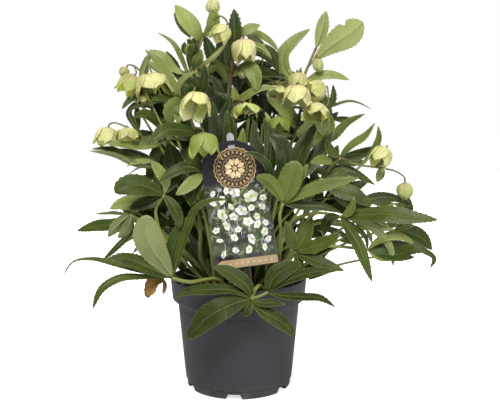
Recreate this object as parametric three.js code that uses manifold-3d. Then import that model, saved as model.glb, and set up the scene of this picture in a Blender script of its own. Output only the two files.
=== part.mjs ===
// Hellebore plant in its nursery pot, in millimetres, +Z up.
// Origin: the centre of the pot's flat base. -Y is the front, the side that the label faces.
// Pieces: pot, soil, label stake and card, compound leaves (a petiole with its leaflets), flowering
// stems (with their bracts and pedicels), and the flowers and buds.
import * as THREE from 'three';
import { mergeVertices } from 'three/addons/utils/BufferGeometryUtils.js';
import Module from 'manifold-3d';

// ---- driving dimensions ----
const RIM_RADIUS = 85;        // outer radius of the pot at its rim
const POT_HEIGHT = 137;
const FOOT_RADIUS = 65.4;     // outer radius of the body at its foot
const BODY_TOP_RADIUS = 75.8; // outer radius of the body under the rim band
const BODY_TOP_Z = 104.8;
const WALL = 1.4;
const POT_SIDES = 24;
const NOTCHES = 6;            // drainage notches round the foot
const NOTCH_HEIGHT = 6.2;
const NOTCH_TOP_WIDTH = 14;
const NOTCH_FOOT_WIDTH = 21;
const NOTCH_TURN = -4.3;      // degrees from the front
const PAD_RADIUS = 22;        // flat centre pad of the underside
const SOIL_TOP = 124;
const CARD_THICK = 0.9;
const STAKE_WIDTH = 8.4;
const STAKE_THICK = 1.1;
const LEAF_THICK = 1.0;       // thickness of a leaflet
const GAP = 0.4;              // clearance between neighbouring pieces
const SIMPLIFY = 0.15;        // edges shorter than this are merged

const wasm = await Module();
wasm.setup();
const { Manifold, Mesh: MMesh } = wasm;

// ---- helpers ----
const V = (a) => new THREE.Vector3(a[0], a[1], a[2]);
function solid(geometry) {
  let g = geometry.index ? geometry.toNonIndexed() : geometry.clone();
  for (const k of Object.keys(g.attributes)) if (k !== 'position') g.deleteAttribute(k);
  g = mergeVertices(g, 1e-4);
  const a = g.attributes.position.array, tri = Array.from(g.index.array);
  let vol = 0; // signed volume: the faces are turned outward where it is negative
  const ok = [];
  for (let i = 0; i < tri.length; i += 3) {
    const [p, q, r] = [tri[i], tri[i + 1], tri[i + 2]];
    if (p === q || q === r || p === r) continue;
    ok.push(p, q, r);
    const [x0, y0, z0, x1, y1, z1, x2, y2, z2] = [p, q, r].flatMap((k) => [a[3 * k], a[3 * k + 1], a[3 * k + 2]]);
    vol += x0 * (y1 * z2 - z1 * y2) + y0 * (z1 * x2 - x1 * z2) + z0 * (x1 * y2 - y1 * x2);
  }
  if (vol < 0) for (let i = 0; i < ok.length; i += 3) [ok[i + 1], ok[i + 2]] = [ok[i + 2], ok[i + 1]];
  return new Manifold(new MMesh({ numProp: 3, vertProperties: new Float32Array(a), triVerts: new Uint32Array(ok) }));
}
function fromIndexed(pos, idx) {
  const g = new THREE.BufferGeometry();
  g.setAttribute('position', new THREE.Float32BufferAttribute(pos, 3));
  g.setIndex(idx);
  return solid(g);
}
// a smooth curve through points, by the share t of the way along (Catmull-Rom by chord length)
function along(p, t) {
  const n = p.length - 1, k = [0];
  for (let i = 1; i <= n; i++) k.push(k[i - 1] + Math.max(1e-3, p[i].distanceTo(p[i - 1])));
  const x = Math.min(Math.max(t, 0), 1) * k[n];
  let i = 0;
  while (i < n - 1 && x > k[i + 1]) i++;
  const slope = (j) => p[j + 1].clone().sub(p[j]).divideScalar(k[j + 1] - k[j]);
  const inner = (j) => slope(j).add(slope(j - 1)).sub(p[j + 1].clone().sub(p[j - 1]).divideScalar(k[j + 1] - k[j - 1]));
  const m = (j) => {
    if (n === 1) return slope(0);
    if (j === 0) return slope(0).multiplyScalar(1.5).addScaledVector(inner(1), -0.5);
    if (j === n) return slope(n - 1).multiplyScalar(1.5).addScaledVector(inner(n - 1), -0.5);
    return inner(j);
  };
  const h = k[i + 1] - k[i], u = (x - k[i]) / h, v = u * u, w = v * u;
  return p[i].clone().multiplyScalar(2 * w - 3 * v + 1).addScaledVector(m(i), h * (w - 2 * v + u))
    .addScaledVector(p[i + 1], -2 * w + 3 * v).addScaledVector(m(i + 1), h * (w - v));
}
function tangent(p, t) {
  const e = 0.02;
  return along(p, Math.min(1, t + e)).sub(along(p, Math.max(0, t - e))).normalize();
}
// a round stalk along a curve, closed at both ends
function stalk(points, r0, r1, grow, sides) {
  const p = points.map(V);
  let len = 0;
  for (let i = 1; i < p.length; i++) len += p[i].distanceTo(p[i - 1]);
  const n = Math.max(1, Math.min(5, Math.round(len / 42)));
  const pos = [], idx = [];
  let ref = new THREE.Vector3(0.31, 0.95, 0.05), before = null;
  for (let i = 0; i <= n; i++) {
    const t = i / n, c = along(p, t), d = tangent(p, t);
    if (before) ref.applyQuaternion(new THREE.Quaternion().setFromUnitVectors(before, d));
    before = d.clone();
    const s = ref.clone().sub(d.clone().multiplyScalar(ref.dot(d))).normalize();
    ref = s.clone();
    const q = new THREE.Vector3().crossVectors(d, s);
    const r = r0 + (r1 - r0) * t + grow;
    if (i === 0) c.addScaledVector(d, -grow);
    if (i === n) c.addScaledVector(d, grow);
    for (let k = 0; k < sides; k++) {
      const a = (k / sides) * 2 * Math.PI;
      pos.push(c.x + r * (Math.cos(a) * s.x + Math.sin(a) * q.x), c.y + r * (Math.cos(a) * s.y + Math.sin(a) * q.y),
        c.z + r * (Math.cos(a) * s.z + Math.sin(a) * q.z));
    }
  }
  for (let i = 0; i < n; i++) for (let k = 0; k < sides; k++) {
    const a = i * sides + k, b = i * sides + (k + 1) % sides, c = a + sides, d = b + sides;
    idx.push(a, b, d, a, d, c);
  }
  for (let k = 1; k < sides - 1; k++) { idx.push(0, k + 1, k); idx.push(n * sides, n * sides + k, n * sides + k + 1); }
  return fromIndexed(pos, idx);
}
// a leaf blade: a thin solid along a curve, widest at the share m
function blade(points, width, m, foldDeg, normal, thick, grow = 0) {
  const p = points.map(V), N = V(normal);
  let len = 0;
  for (let i = 1; i < p.length; i++) len += p[i].distanceTo(p[i - 1]);
  const n = len > 48 ? 3 : 2;
  const k = Math.log(0.5) / Math.log(m), flat = Math.cos((foldDeg * Math.PI) / 180);
  const pos = [], idx = [];
  let side0 = null;
  for (let i = 0; i <= n; i++) {
    const t = i / n, c = along(p, t), d = tangent(p, t);
    const s = new THREE.Vector3().crossVectors(d, N).normalize();
    if (side0 && s.dot(side0) < 0) s.negate();
    side0 = s.clone();
    const u = new THREE.Vector3().crossVectors(s, d).normalize();
    if (i === 0) c.addScaledVector(d, -grow);
    if (i === n) c.addScaledVector(d, grow);
    const w = flat * Math.max(i === 0 ? 1.3 : 0.6, 0.5 * width * Math.pow(Math.sin(Math.PI * Math.pow(t, k)), 0.8));
    const lift = w * 0.5 * Math.sin((foldDeg * Math.PI) / 180);
    for (const top of [1, -1]) for (const q of [-1, 1]) {
      const x = q * w, z = lift + (top * thick) / 2;
      pos.push(c.x + s.x * x + u.x * z, c.y + s.y * x + u.y * z, c.z + s.z * x + u.z * z);
    }
  }
  const quad = (a, b, c, d) => idx.push(a, b, c, a, c, d);
  for (let i = 0; i < n; i++) {
    const a = i * 4, b = a + 4;
    quad(a, a + 1, b + 1, b);
    quad(a + 2, b + 2, b + 3, a + 3);
    quad(a, b, b + 2, a + 2);
    quad(a + 1, a + 3, b + 3, b + 1);
  }
  quad(0, 2, 3, 1);
  const e = n * 4;
  quad(e, e + 1, e + 3, e + 2);
  return fromIndexed(pos, idx);
}
// a bell of revolution (an open cup) or a closed bud, from its base along its axis
function bloom(base, axis, length, radius, open, kind, grow) {
  const R = radius + grow, L = length, w = 1.3 + 2 * grow;
  let prof;
  if (kind === 'bud') {
    prof = [[0, -grow], [0.62 * R, 0.12 * L], [R, 0.42 * L], [0.75 * R, 0.8 * L], [0, L + grow]];
  } else {
    const rim = R * (0.84 + 0.3 * open);
    prof = [[0, -grow], [0.6 * R, 0.04 * L], [R, 0.5 * L], [rim, L + grow], [rim - w, L + grow],
      [R - w, 0.5 * L], [0, 0.14 * L + grow]];
  }
  const g = new THREE.LatheGeometry(prof.map((q) => new THREE.Vector2(Math.max(0, q[0]), q[1])), kind === 'bud' ? 6 : 8);
  const q = new THREE.Quaternion().setFromUnitVectors(new THREE.Vector3(0, 1, 0), V(axis).normalize());
  g.applyQuaternion(q);
  g.translate(base[0], base[1], base[2]);
  return solid(g);
}
function lathe(profile, sides) {
  const g = new THREE.LatheGeometry(profile.map((q) => new THREE.Vector2(q[0], q[1])), sides);
  g.rotateX(Math.PI / 2);
  return solid(g);
}
const sum = (list) => Manifold.union(list);
function largest(m) {
  let best = null;
  for (const q of m.decompose()) if (!best || q.volume() > best.volume()) best = q;
  return best;
}
function box(x, y, z, cx, cy, cz, turn = null) {
  const g = new THREE.BoxGeometry(x, y, z);
  g.translate(cx, cy, cz);
  if (turn) g.applyMatrix4(turn);
  return solid(g);
}

// ---- the label card: its lower left corner, directions and outline ----
const CARD_ORIGIN = [-26.4073, -60.8967, 155.9508];
const CARD_UP = [-0.1278, 0.0347, 0.9912];
const CARD_RIGHT = [0.9918, 0.0045, 0.1277];
const CARD_OUTLINE = [[0.0, 0.0], [76.0, 1.0], [71.9, 124.2], [69.9, 129.7], [65.4, 135.6], [57.0, 143.1], [48.3, 148.0], [36.9, 150.3], [25.0, 148.6], [14.9, 143.2], [8.3, 137.7], [2.7, 130.2], [0.0, 125.3]];
const SLOT = [37.6, 142.1];
const STAKE_TOP = 159.1;
const STAKE_LEAN = 0.0;
const STAKE_FOOT = -62.0;
const CARD_MID = 36;

// ---- stalks: piece, kind, radius at the root and at the tip, points of the curve ----
const STALKS = [
  ['leaf_front','P',2.6,2.2,[[32.8,-32.4,110],[25.9,-66,139.7],[22.3,-82,142.4],[18.8,-91,139.9],[15.3,-97,132]]],
  ['leaf_front','P',2.0,1.6,[[15.3,-97,132],[25.6,-94,134.8],[34.8,-90,138.5]]],
  ['leaf_low_right','P',2.8,1.7,[[27,-16.9,110],[56.7,-30,160.9],[74,-42,182.9],[108.9,-52,184.8],[152.7,-60,181.5]]],
  ['leaf_far_right','P',2.6,1.6,[[35,5.1,110],[64.6,10.3,180.7],[101.7,5.1,204.5],[149.3,-12.9,199.9],[190,-25.9,199.6]]],
  ['leaf_right','P',2.8,1.8,[[26.6,4.6,110],[48.7,-12,187.2],[68.6,-28,213.4],[97.5,-42,222.8],[121,-55,219.9]]],
  ['leaf_small_right','P',2.2,1.6,[[13.7,-23.3,110],[54.7,-50,157.8],[67.5,-72,181.5]]],
  ['leaf_label_right','P',2.4,1.8,[[8.8,-19.1,110],[45.3,-44,171.1],[50.4,-62,203.3],[48.6,-76,226.6],[51.8,-82,240.1]]],
  ['leaf_upper_right','P',2.4,1.6,[[56.2,1,110],[55.1,-34,193.6],[76.9,-46,234.1],[98.6,-50,265.4]]],
  ['leaf_low_left','P',2.8,2.3,[[-6.4,-21.1,110],[-27.7,-46,143.5],[-39,-58,145.1],[-56,-68,145],[-76.6,-72,150.7]]],
  ['withered_leaf','W',1.3,1.0,[[-56.2,-16.8,110],[-73.3,-44,145.5],[-80.9,-52,151],[-88.6,-58,146.3]]],
  ['leaf_mid_left','P',2.4,1.8,[[-19.3,-6.4,110],[-64.7,-30,160.9],[-94.3,-52,209.9],[-95.7,-58,229.8],[-85.7,-62,246.8]]],
  ['leaf_far_left','P',2.6,1.7,[[-26.4,5.5,110],[-54.6,0,154.6],[-90.9,-7.9,190.3],[-131.3,-23.5,217.6]]],
  ['leaf_upper_left','P',2.4,1.6,[[-23.1,15.7,110],[-42.8,17.8,192.2],[-72.7,3.9,244.9],[-97.7,-12.2,278.6]]],
  ['leaf_label_left','P',2.2,1.6,[[-4.8,-8.7,110],[-12.4,-30,188],[-26.2,-42,238.4],[-39.7,-50,272.5]]],
  ['leaf_centre_right','P',2.2,1.7,[[16.4,-0.3,110],[28.7,-28,199.9],[35.6,-40,256]]],
  ['leaf_centre_right','P',1.3,1.2,[[35.6,-40,256],[38.9,-50,256],[37.5,-58,259.2]]],
  ['leaf_centre_left','P',2.2,1.6,[[6.9,-11.8,110],[-7.6,-28,199.9],[-16.7,-36,285.4]]],
  ['stem_left','S',3.0,1.7,[[-11.3,3.5,110],[-45.3,-10.1,156.7],[-47.3,-10.9,208.2],[-65.4,7.3,257],[-91.9,29.1,302.9],[-111,45.7,342.8],[-113.8,50.4,358]]],
  ['stem_left','S',1.3,1.0,[[-92.5,29.6,304],[-109.2,4.7,299.5],[-118.2,-10.2,305.3],[-129.3,-16.1,318.9],[-139.7,-17.7,326.1],[-151.8,-17.3,328.5],[-156,-15.8,326],[-156.3,-16.5,323.4]]],
  ['stem_left','S',1.0,1.0,[[-129,-16,318.6],[-135.1,-15.9,324.9],[-134.8,-16.8,322.3]]],
  ['stem_left','S',1.2,1.0,[[-113.8,50.4,358],[-115.4,44.3,375.7],[-122.4,41.3,389.4],[-132.1,40.2,398.1],[-128.8,36.2,388.9],[-130.3,35.6,386.7]]],
  ['stem_left','S',1.0,1.0,[[-122.4,41.3,389.4],[-114.4,39.2,393.1],[-117.1,45.5,386.1],[-116,43.8,384.2]]],
  ['stem_left','S',0.9,0.9,[[-132.1,40.2,398.1],[-140.1,40.7,399],[-141.4,40.1,396.6]]],
  ['stem_left','S',1.0,1.0,[[-113.8,50.4,358],[-122.1,38.7,365.3],[-121.8,37.6,362.7]]],
  ['stem_left_centre','S',3.05,1.6,[[-1,9.4,110],[-20.7,0,188.9],[-37,-12.1,259.1],[-48.6,-33,313.7],[-57.4,-39.6,342.2],[-55.9,-39.2,373.5],[-49.7,-40.9,402.3],[-40.2,-41.8,428.5]]],
  ['stem_left_centre','S',1.3,1.1,[[-49.3,-33.6,316],[-46.1,-53.7,324],[-39.5,-62.7,321.7],[-39.3,-63.3,319]]],
  ['stem_left_centre','S',1.2,1.0,[[-56.4,-39.2,369.7],[-49,-56.3,370],[-49.7,-63.1,365.4],[-47.1,-54.6,364.1],[-47.2,-56.3,361.9]]],
  ['stem_left_centre','S',1.2,1.0,[[-40.2,-41.8,428.5],[-34.2,-44.4,443],[-28.9,-44.8,451.6],[-28.7,-44.7,454.4]]],
  ['stem_left_centre','S',1.1,1.0,[[-35.3,-44.4,440.8],[-27,-49.6,448.2],[-18.8,-54.8,451.1],[-11.4,-55,441.8],[-12.8,-56,439.6]]],
  ['stem_left_centre','S',1.0,0.9,[[-49.7,-40.9,402.3],[-54.7,-51.7,404.1],[-56.2,-55.2,403.5],[-56,-55.1,406.3]]],
  ['stem_centre','S',3.4,2.0,[[7.5,-2,110],[-3.2,-2.3,195.6],[-12.9,0.6,282.5],[-15.2,4.6,343.6],[-11.5,6.4,370.4],[-7.8,8.1,394.6],[-9,9.2,416.4],[-2.9,9.2,430.8]]],
  ['stem_centre','S',1.4,1.2,[[-2.9,9.2,430.8],[4.6,-3.6,434.6],[6.1,-8.3,430.6],[6.3,-9,427.9]]],
  ['stem_centre','S',1.1,1.0,[[-8.8,8.7,405.2],[-2.8,-1.2,396.7],[3.3,-4.7,389.5]]],
  ['stem_centre','S',1.2,1.0,[[-15.4,4.4,340.9],[-0.2,-15.3,356],[9.4,-21.2,352.1],[9.4,-23.4,350.3]]],
  ['stem_right','S',3.4,1.6,[[18.4,6.5,110],[29.4,16.7,192.4],[52.2,27.4,267.6],[72.3,31.1,318],[79.6,32.2,355.6],[80.8,33.6,380.5],[88.2,34.1,400.4],[96.9,36,420.2]]],
  ['stem_right','S',1.2,1.0,[[80.8,33.6,380.5],[73.7,20.7,390.1],[72,14.5,391.6],[72.2,13.6,389]]],
  ['stem_right','S',1.1,1.0,[[79.4,32.1,353.4],[70.9,12.6,375.3],[72.4,4.5,376.6],[72.2,3.6,374]]],
  ['stem_right','S',1.1,1.0,[[88.2,34.1,400.4],[96.3,26.4,407.5],[96.1,21.7,409.9],[96.6,21.1,407.2]]],
  ['stem_right','S',1.3,1.0,[[77.8,31.8,342.7],[99.5,26.8,340.7],[111.8,25.7,350.7],[111.9,28.2,365.6],[110.2,27.6,372.7],[107.6,26.7,371.8]]],
  ['stem_right','S',1.1,1.0,[[99.5,26.8,340.7],[98.4,14.6,350.8],[100,14.2,350.8],[99.2,12.5,348.7]]],
  ['stem_right','S',1.1,1.0,[[71.8,31,316.4],[56,6.5,333.8],[47.2,-3.4,336.9],[47.4,-4.5,334.3]]],
  ['stem_right','S',1.0,0.9,[[78.8,31.4,354.7],[58.5,13,377.7],[49.5,9.4,374.3],[48.9,7.7,372.1]]],
  ['stem_far_right','S',2.6,1.8,[[31.9,-7.2,110],[74,1,192.5],[89.7,-32,246.7],[105.8,-47.6,274.6],[118.9,-55,290.5]]],
  ['stem_far_right','S',1.3,1.0,[[118.9,-55,290.5],[136,-58.1,282.6],[159,-59.8,279.2],[171.9,-59.3,276.9],[182.5,-58.9,274.5],[190.5,-60.3,270],[195.4,-53.2,263.7],[195.3,-54,261]]],
  ['stem_far_right','S',1.1,1.0,[[159.7,-59.8,279.1],[168.5,-64.1,290],[170.5,-65.4,297],[172.7,-57.4,303.6],[171.3,-58.6,301.4]]],
  ['leaf_back_left_low','P',2.5,1.8,[[-22.2,23.2,110],[-54.8,51.6,160.2],[-85,78,175]]],
  ['leaf_back_low','P',2.5,1.8,[[1.1,30.5,110],[-3.6,72.4,163],[-8,112,179]]],
  ['leaf_back_right_low','P',2.5,1.8,[[36.8,28.3,110],[60.9,54.7,165.9],[84,80,183]]],
  ['leaf_back_left','P',2.5,1.8,[[-12.1,24.1,110],[-39.8,42.2,225],[-70,62,265]]],
  ['leaf_back_centre','P',2.5,1.8,[[10.3,32.6,110],[7.3,57,232.2],[4,84,275]]],
  ['leaf_back_right','P',2.5,1.8,[[25.2,20.1,110],[51.4,38.2,222.1],[80,58,261]]],
  ['leaf_back_upper_left','P',2.5,1.8,[[-11.1,35.6,110],[-23.7,41.4,284.7],[-38,48,348]]],
  ['leaf_back_upper_right','P',2.5,1.8,[[20.1,33.5,110],[32.2,41.2,279.7],[46,50,341]]],
  ['stem_back','S',3.2,1.8,[[4.6,20.3,110],[-2,38,233],[-6,66,333],[-20,70,391]]],
  ['stem_back','S',1.4,1.0,[[-6.4,66.3,335.1],[22,76,375],[44,86,395],[51.1,96.5,388.8],[51.8,98,386.6]]],
  ['stem_back','S',1.2,1.0,[[-20,70,391],[-34,82,407],[-39.3,92.3,400.7],[-39.9,94,398.5]]],
];

// ---- blades: piece, kind, width, share of the length where widest, fold, face direction, midrib points ----
const BLADES = [
  ['leaf_front','T',16.5,0.55,10,[-0.15, -0.6, 0.78],[[15.3,-97,132],[-8.4,-101,143.5],[-31.1,-99,143],[-54.5,-90,139.6],[-75,-80,128.9]]],
  ['leaf_front','T',28.8,0.5,14,[-0.26, -0.85, 0.46],[[15.3,-97,132],[-4.9,-106,128.6],[-19.5,-110,122.7],[-34.2,-108,112.9],[-47,-104,99],[-58.8,-100,87.2]]],
  ['leaf_front','T',12.7,0.5,10,[-0.03, -0.5, 0.87],[[15.3,-97,132],[27.7,-104,129.2],[41.2,-106,129.7],[53.7,-104,128]]],
  ['leaf_front','T',17.4,0.55,10,[0.33, -0.81, 0.49],[[15.3,-97,132],[27.7,-106,120.5],[42.4,-108,112.9],[54.9,-106,103.1],[65.4,-102,89]]],
  ['leaf_front','T',18.1,0.5,12,[0.23, -0.85, 0.47],[[15.8,-96.3,133.2],[10.8,-100,147.9],[-1.6,-98,157.8],[-15.3,-94,165],[-28,-90,167.6]]],
  ['leaf_front','T',14.4,0.5,10,[-0.43, -0.64, 0.64],[[34.8,-90,138.5],[59.5,-98,155.5],[81.4,-106,164.2],[96.7,-110,167.4],[111,-112,167.8]]],
  ['leaf_front','T',22.4,0.5,22,[-0.26, -0.9, 0.36],[[34.8,-90,138.5],[40.4,-92,154.1],[52.9,-92,164.6],[72.4,-88,170.7]]],
  ['leaf_front','T',13.5,0.5,8,[-0.02, -0.5, 0.87],[[33.6,-90.6,138],[53.9,-98,135.8],[76.1,-106,136.7],[92.6,-110,136.5],[109.4,-112,126.7]]],
  ['leaf_low_right','B',12.7,0.5,10,[-0.37, -0.64, 0.67],[[152.7,-60,181.5],[163.6,-64,193],[176.5,-70,199.9],[189.6,-74,199.5],[202.9,-78,192]]],
  ['leaf_low_right','T',17.8,0.5,12,[-0.42, -0.7, 0.58],[[152.7,-60,181.5],[171.4,-68,178.3],[187,-78,180.3],[199.1,-86,186.5],[213.9,-92,185.4]]],
  ['leaf_low_right','D',12.4,0.5,8,[0.09, -0.61, 0.78],[[152.7,-60,181.5],[173.4,-55,185.3],[191.6,-52,187.2],[209.1,-48,182.8]]],
  ['leaf_far_right','T',11.8,0.45,12,[0.26, -0.63, 0.73],[[190,-25.9,199.6],[203.9,-37.4,188.1],[218.6,-48.5,179.3],[231.7,-55.2,169.8],[226.7,-57.6,159.4]]],
  ['leaf_far_right','D',22.5,0.5,10,[0.53, -0.83, 0.15],[[190,-25.9,199.6],[210.8,-13.4,193.7],[229.2,-3.4,184.4],[241.9,1.7,169.6]]],
  ['leaf_far_right','D',12.7,0.5,10,[-0.5, -0.64, 0.58],[[190,-25.9,199.6],[201.9,-19.7,209.6],[208.9,-13.1,223.5],[208.8,-5.1,238.5]]],
  ['leaf_far_right','U',12.7,0.5,10,[0.61, 0.77, 0.18],[[186.6,-24.8,199.6],[173.2,-16.8,205.5],[159.7,-7.3,213.9]]],
  ['leaf_right','T',15.4,0.5,8,[-0.03, -0.66, 0.75],[[121,-55,219.9],[146.1,-50,235.8],[167.8,-46,242.5],[189.1,-46,240.1],[207.9,-48,230.8]]],
  ['leaf_right','T',21.0,0.5,10,[-0.34, -0.79, 0.5],[[121,-55,219.9],[144.4,-64,223.6],[168.8,-78,226.9],[195.1,-90,225.2],[225,-98,223.1]]],
  ['leaf_right','T',16.0,0.45,12,[0.28, -0.82, 0.5],[[121,-55,219.9],[129.6,-64,206],[138.1,-72,192.1],[145.4,-80,173.7],[154.2,-86,149.2]]],
  ['leaf_right','D',8.3,0.5,8,[0.5, -0.7, 0.51],[[121,-55,219.9],[138.5,-58,207.3],[150.1,-60,195.8],[151.6,-60,180.3]]],
  ['leaf_right','U',11.4,0.5,8,[0.5, 0.84, 0.2],[[121,-55,219.9],[145.1,-60,214.8],[163.1,-66,204],[176.4,-72,187.4],[179.7,-76,164.6]]],
  ['leaf_right','D',13.6,0.5,10,[-0.16, -0.8, 0.58],[[121,-55,219.9],[107.4,-62,219.8],[100.3,-66,199.2]]],
  ['leaf_small_right','T',14.7,0.5,12,[0.33, -0.94, 0.1],[[67.5,-72,181.5],[60.4,-74,198.3],[55.7,-72,217.8]]],
  ['leaf_small_right','T',16.0,0.5,12,[-0.43, -0.89, 0.18],[[67.5,-72,181.5],[77.7,-74,200.6],[85.7,-72,222.5]]],
  ['leaf_small_right','T',17.1,0.5,12,[-0.57, -0.75, 0.33],[[67.5,-72,181.5],[88.7,-82,190.4],[102.7,-90,197.7],[116.7,-96,206.8]]],
  ['leaf_small_right','T',15.0,0.5,10,[-0.25, -0.71, 0.66],[[66.9,-70.8,180.3],[86.4,-84,174.5],[102.8,-93,170.6],[120.2,-100,165.2]]],
  ['leaf_label_right','B',27.9,0.55,16,[-0.35, -0.94, -0.01],[[51.8,-82,240.1],[57.1,-88,258],[61.4,-90,272.9],[67,-88,288.5]]],
  ['leaf_label_right','B',12.5,0.55,12,[-0.41, -0.86, 0.31],[[51.8,-82,240.1],[68.6,-82,266.5],[79.9,-80,284.5]]],
  ['leaf_label_right','U',15.5,0.5,12,[0.0, 0.92, 0.39],[[51.8,-82,240.1],[43.5,-88,255.7],[34.4,-92,266.4],[20.9,-94,271.1]]],
  ['leaf_label_right','B',15.4,0.45,12,[-0.37, -0.81, 0.44],[[51.8,-82,240.1],[76.1,-90,253.7],[103.4,-98,263.7],[134.8,-104,271]]],
  ['leaf_label_right','D',12.4,0.45,10,[-0.02, -0.73, 0.68],[[51.8,-82,240.1],[74.3,-86,237.2],[95.5,-90,236.7],[116.8,-92,230.1]]],
  ['leaf_upper_right','T',13.5,0.4,10,[-0.03, -0.82, 0.58],[[98.6,-50,265.4],[119.8,-48,275.8],[137.9,-54,270.5],[159.7,-58,258.1]]],
  ['leaf_upper_right','T',21.1,0.5,10,[0.06, -0.91, 0.41],[[98.6,-50,265.4],[117.6,-50,252.4],[134.6,-56,247.3],[155.3,-60,233.7]]],
  ['leaf_upper_right','D',15.1,0.5,10,[-0.27, -0.84, 0.47],[[98.6,-50,265.4],[111.1,-40,285.8],[118.4,-36,303.2]]],
  ['leaf_upper_right','T',14.3,0.5,10,[-0.4, -0.84, 0.36],[[98.6,-50,265.4],[87.1,-50,251.3],[78.7,-54,235.2]]],
  ['leaf_low_left','U',33.8,0.55,10,[-0.07, 0.96, 0.28],[[-76.6,-72,150.7],[-86,-80,169],[-96.3,-88,186.9],[-102.2,-93,205.1],[-101.4,-96,228.4]]],
  ['leaf_low_left','T',18.8,0.5,10,[0.47, -0.73, 0.5],[[-76.6,-72,150.7],[-103.1,-82,165.9],[-117.9,-90,174.6],[-131.8,-95,179.1],[-147.1,-98,178.5]]],
  ['leaf_low_left','T',10.2,0.4,8,[-0.05, -0.39, 0.92],[[-76.6,-72,150.7],[-107.9,-72,157.8],[-143,-70,166.9],[-170.4,-66,172],[-193.6,-62,167.6],[-206.3,-60,149.1]]],
  ['leaf_low_left','T',11.9,0.6,12,[-0.07, -0.63, 0.78],[[-76.6,-72,150.7],[-107,-80,153.7],[-136.5,-90,153.6],[-152.8,-96,144.6],[-164.4,-98,120.6]]],
  ['leaf_low_left','T',12.5,0.4,20,[-0.53, -0.8, 0.29],[[-76.6,-72,150.7],[-66.4,-78,182.6],[-56.6,-82,211.3],[-46,-84,234.7],[-28.9,-84,243.8],[-10.8,-82,243.6]]],
  ['leaf_low_left','D',19.9,0.5,12,[-0.25, -0.94, 0.24],[[-76.6,-72,150.7],[-76.9,-66,175.5],[-69.9,-62,199.7],[-58.4,-58,220.4]]],
  ['withered_leaf','W',13.6,0.5,20,[-0.23, -0.78, 0.58],[[-88.6,-58,146.3],[-95.2,-63,145],[-102,-66,137.3],[-106.6,-68,125.8]]],
  ['leaf_mid_left','T',25.0,0.55,10,[0.51, -0.77, 0.38],[[-85.7,-62,246.8],[-100.3,-74,256.4],[-116,-84,261],[-128.7,-90,259.4],[-137.3,-93,252.9]]],
  ['leaf_mid_left','D',15.4,0.5,10,[-0.09, -0.86, 0.5],[[-85.7,-62,246.8],[-105.3,-64,238.9],[-124.8,-66,232.1]]],
  ['leaf_mid_left','B',18.6,0.55,14,[0.08, -0.88, 0.46],[[-93.9,-59.3,234.7],[-102.9,-55,240.1],[-120.1,-58,236.9],[-134.6,-62,236.3],[-148.4,-64,230.7]]],
  ['leaf_mid_left','B',14.7,0.55,14,[0.49, -0.86, 0.1],[[-85.7,-62,246.8],[-83.4,-60,259.5],[-90.8,-64,275],[-99.6,-66,286.7]]],
  ['leaf_mid_left','D',27.1,0.55,8,[-0.22, -0.96, 0.17],[[-85.7,-62,246.8],[-74.8,-50,280.7],[-81.8,-46,306.2]]],
  ['leaf_mid_left','T',15.4,0.5,12,[0.45, -0.83, 0.34],[[-85.7,-62,246.8],[-71.6,-66,227.5],[-67,-68,209]]],
  ['leaf_far_left','U',15.9,0.5,10,[-0.53, 0.84, 0.07],[[-131.3,-23.5,217.6],[-140.9,-32.7,210.5],[-156.1,-37.9,193.1]]],
  ['leaf_far_left','U',15.9,0.5,10,[-0.59, 0.8, -0.07],[[-129.2,-22.6,216.3],[-131.4,-32.9,205.6],[-144.1,-37.9,191.9]]],
  ['leaf_far_left','T',15.6,0.5,10,[-0.38, -0.82, 0.42],[[-131.3,-23.5,217.6],[-154.4,-17.7,205.6],[-176.9,-9.3,201.8],[-200.5,-3.3,194.5]]],
  ['leaf_far_left','D',9.5,0.5,8,[-0.3, -0.79, 0.53],[[-129.2,-22.6,216.3],[-129.4,-31.1,199.2],[-143.9,-40.4,182.6],[-162.6,-45.3,165.3]]],
  ['leaf_far_left','D',16.2,0.5,10,[-0.03, -0.8, 0.59],[[-129.2,-22.6,216.3],[-120.2,-13.5,234.6],[-109.1,-3.9,243.3]]],
  ['leaf_upper_left','T',10.2,0.5,8,[0.25, -0.63, 0.74],[[-97.7,-12.2,278.6],[-130.9,-17,288.8],[-154.6,-18.6,297.3],[-175.9,-21,297.5]]],
  ['leaf_upper_left','U',9.3,0.5,8,[0.08, 0.78, 0.62],[[-94,-9.7,273.9],[-124.6,-20.3,279.3],[-147.9,-24,290.5],[-177.4,-25.9,295.4]]],
  ['leaf_upper_left','D',10.5,0.5,8,[0.03, -0.72, 0.69],[[-97.7,-12.2,278.6],[-120.4,-5.2,289.1],[-148.4,2.6,295.9]]],
  ['leaf_upper_left','D',18.1,0.5,8,[-0.2, -0.93, 0.31],[[-95.9,-11,276.3],[-95,-17.7,257.2],[-104.5,-21.5,240.6]]],
  ['leaf_label_left','T',14.6,0.5,10,[0.18, -0.77, 0.62],[[-39.7,-50,272.5],[-59.9,-60,279.3],[-75.7,-66,272.9],[-90.4,-70,262.9]]],
  ['leaf_label_left','B',16.0,0.5,14,[0.04, -0.85, 0.52],[[-39.7,-50,272.5],[-54.2,-62,259.7],[-71.2,-68,247.6]]],
  ['leaf_label_left','D',14.9,0.5,10,[-0.2, -0.91, 0.36],[[-38.6,-49.4,269.9],[-48.9,-56,252],[-55.7,-60,233.7]]],
  ['leaf_label_left','T',15.5,0.5,10,[0.35, -0.86, 0.38],[[-39.7,-50,272.5],[-55.9,-50,288.9],[-67.7,-48,298.1]]],
  ['leaf_centre_right','D',15.0,0.5,12,[0.34, -0.94, 0.08],[[35.6,-40,256],[28.3,-44,286.1],[20.1,-44,309.6],[18.9,-40,332.8]]],
  ['leaf_centre_right','D',16.3,0.5,12,[0.32, -0.95, 0.07],[[35.6,-40,256],[37.7,-44,283.7],[37.7,-42,309.5],[30.7,-36,335.1]]],
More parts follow.
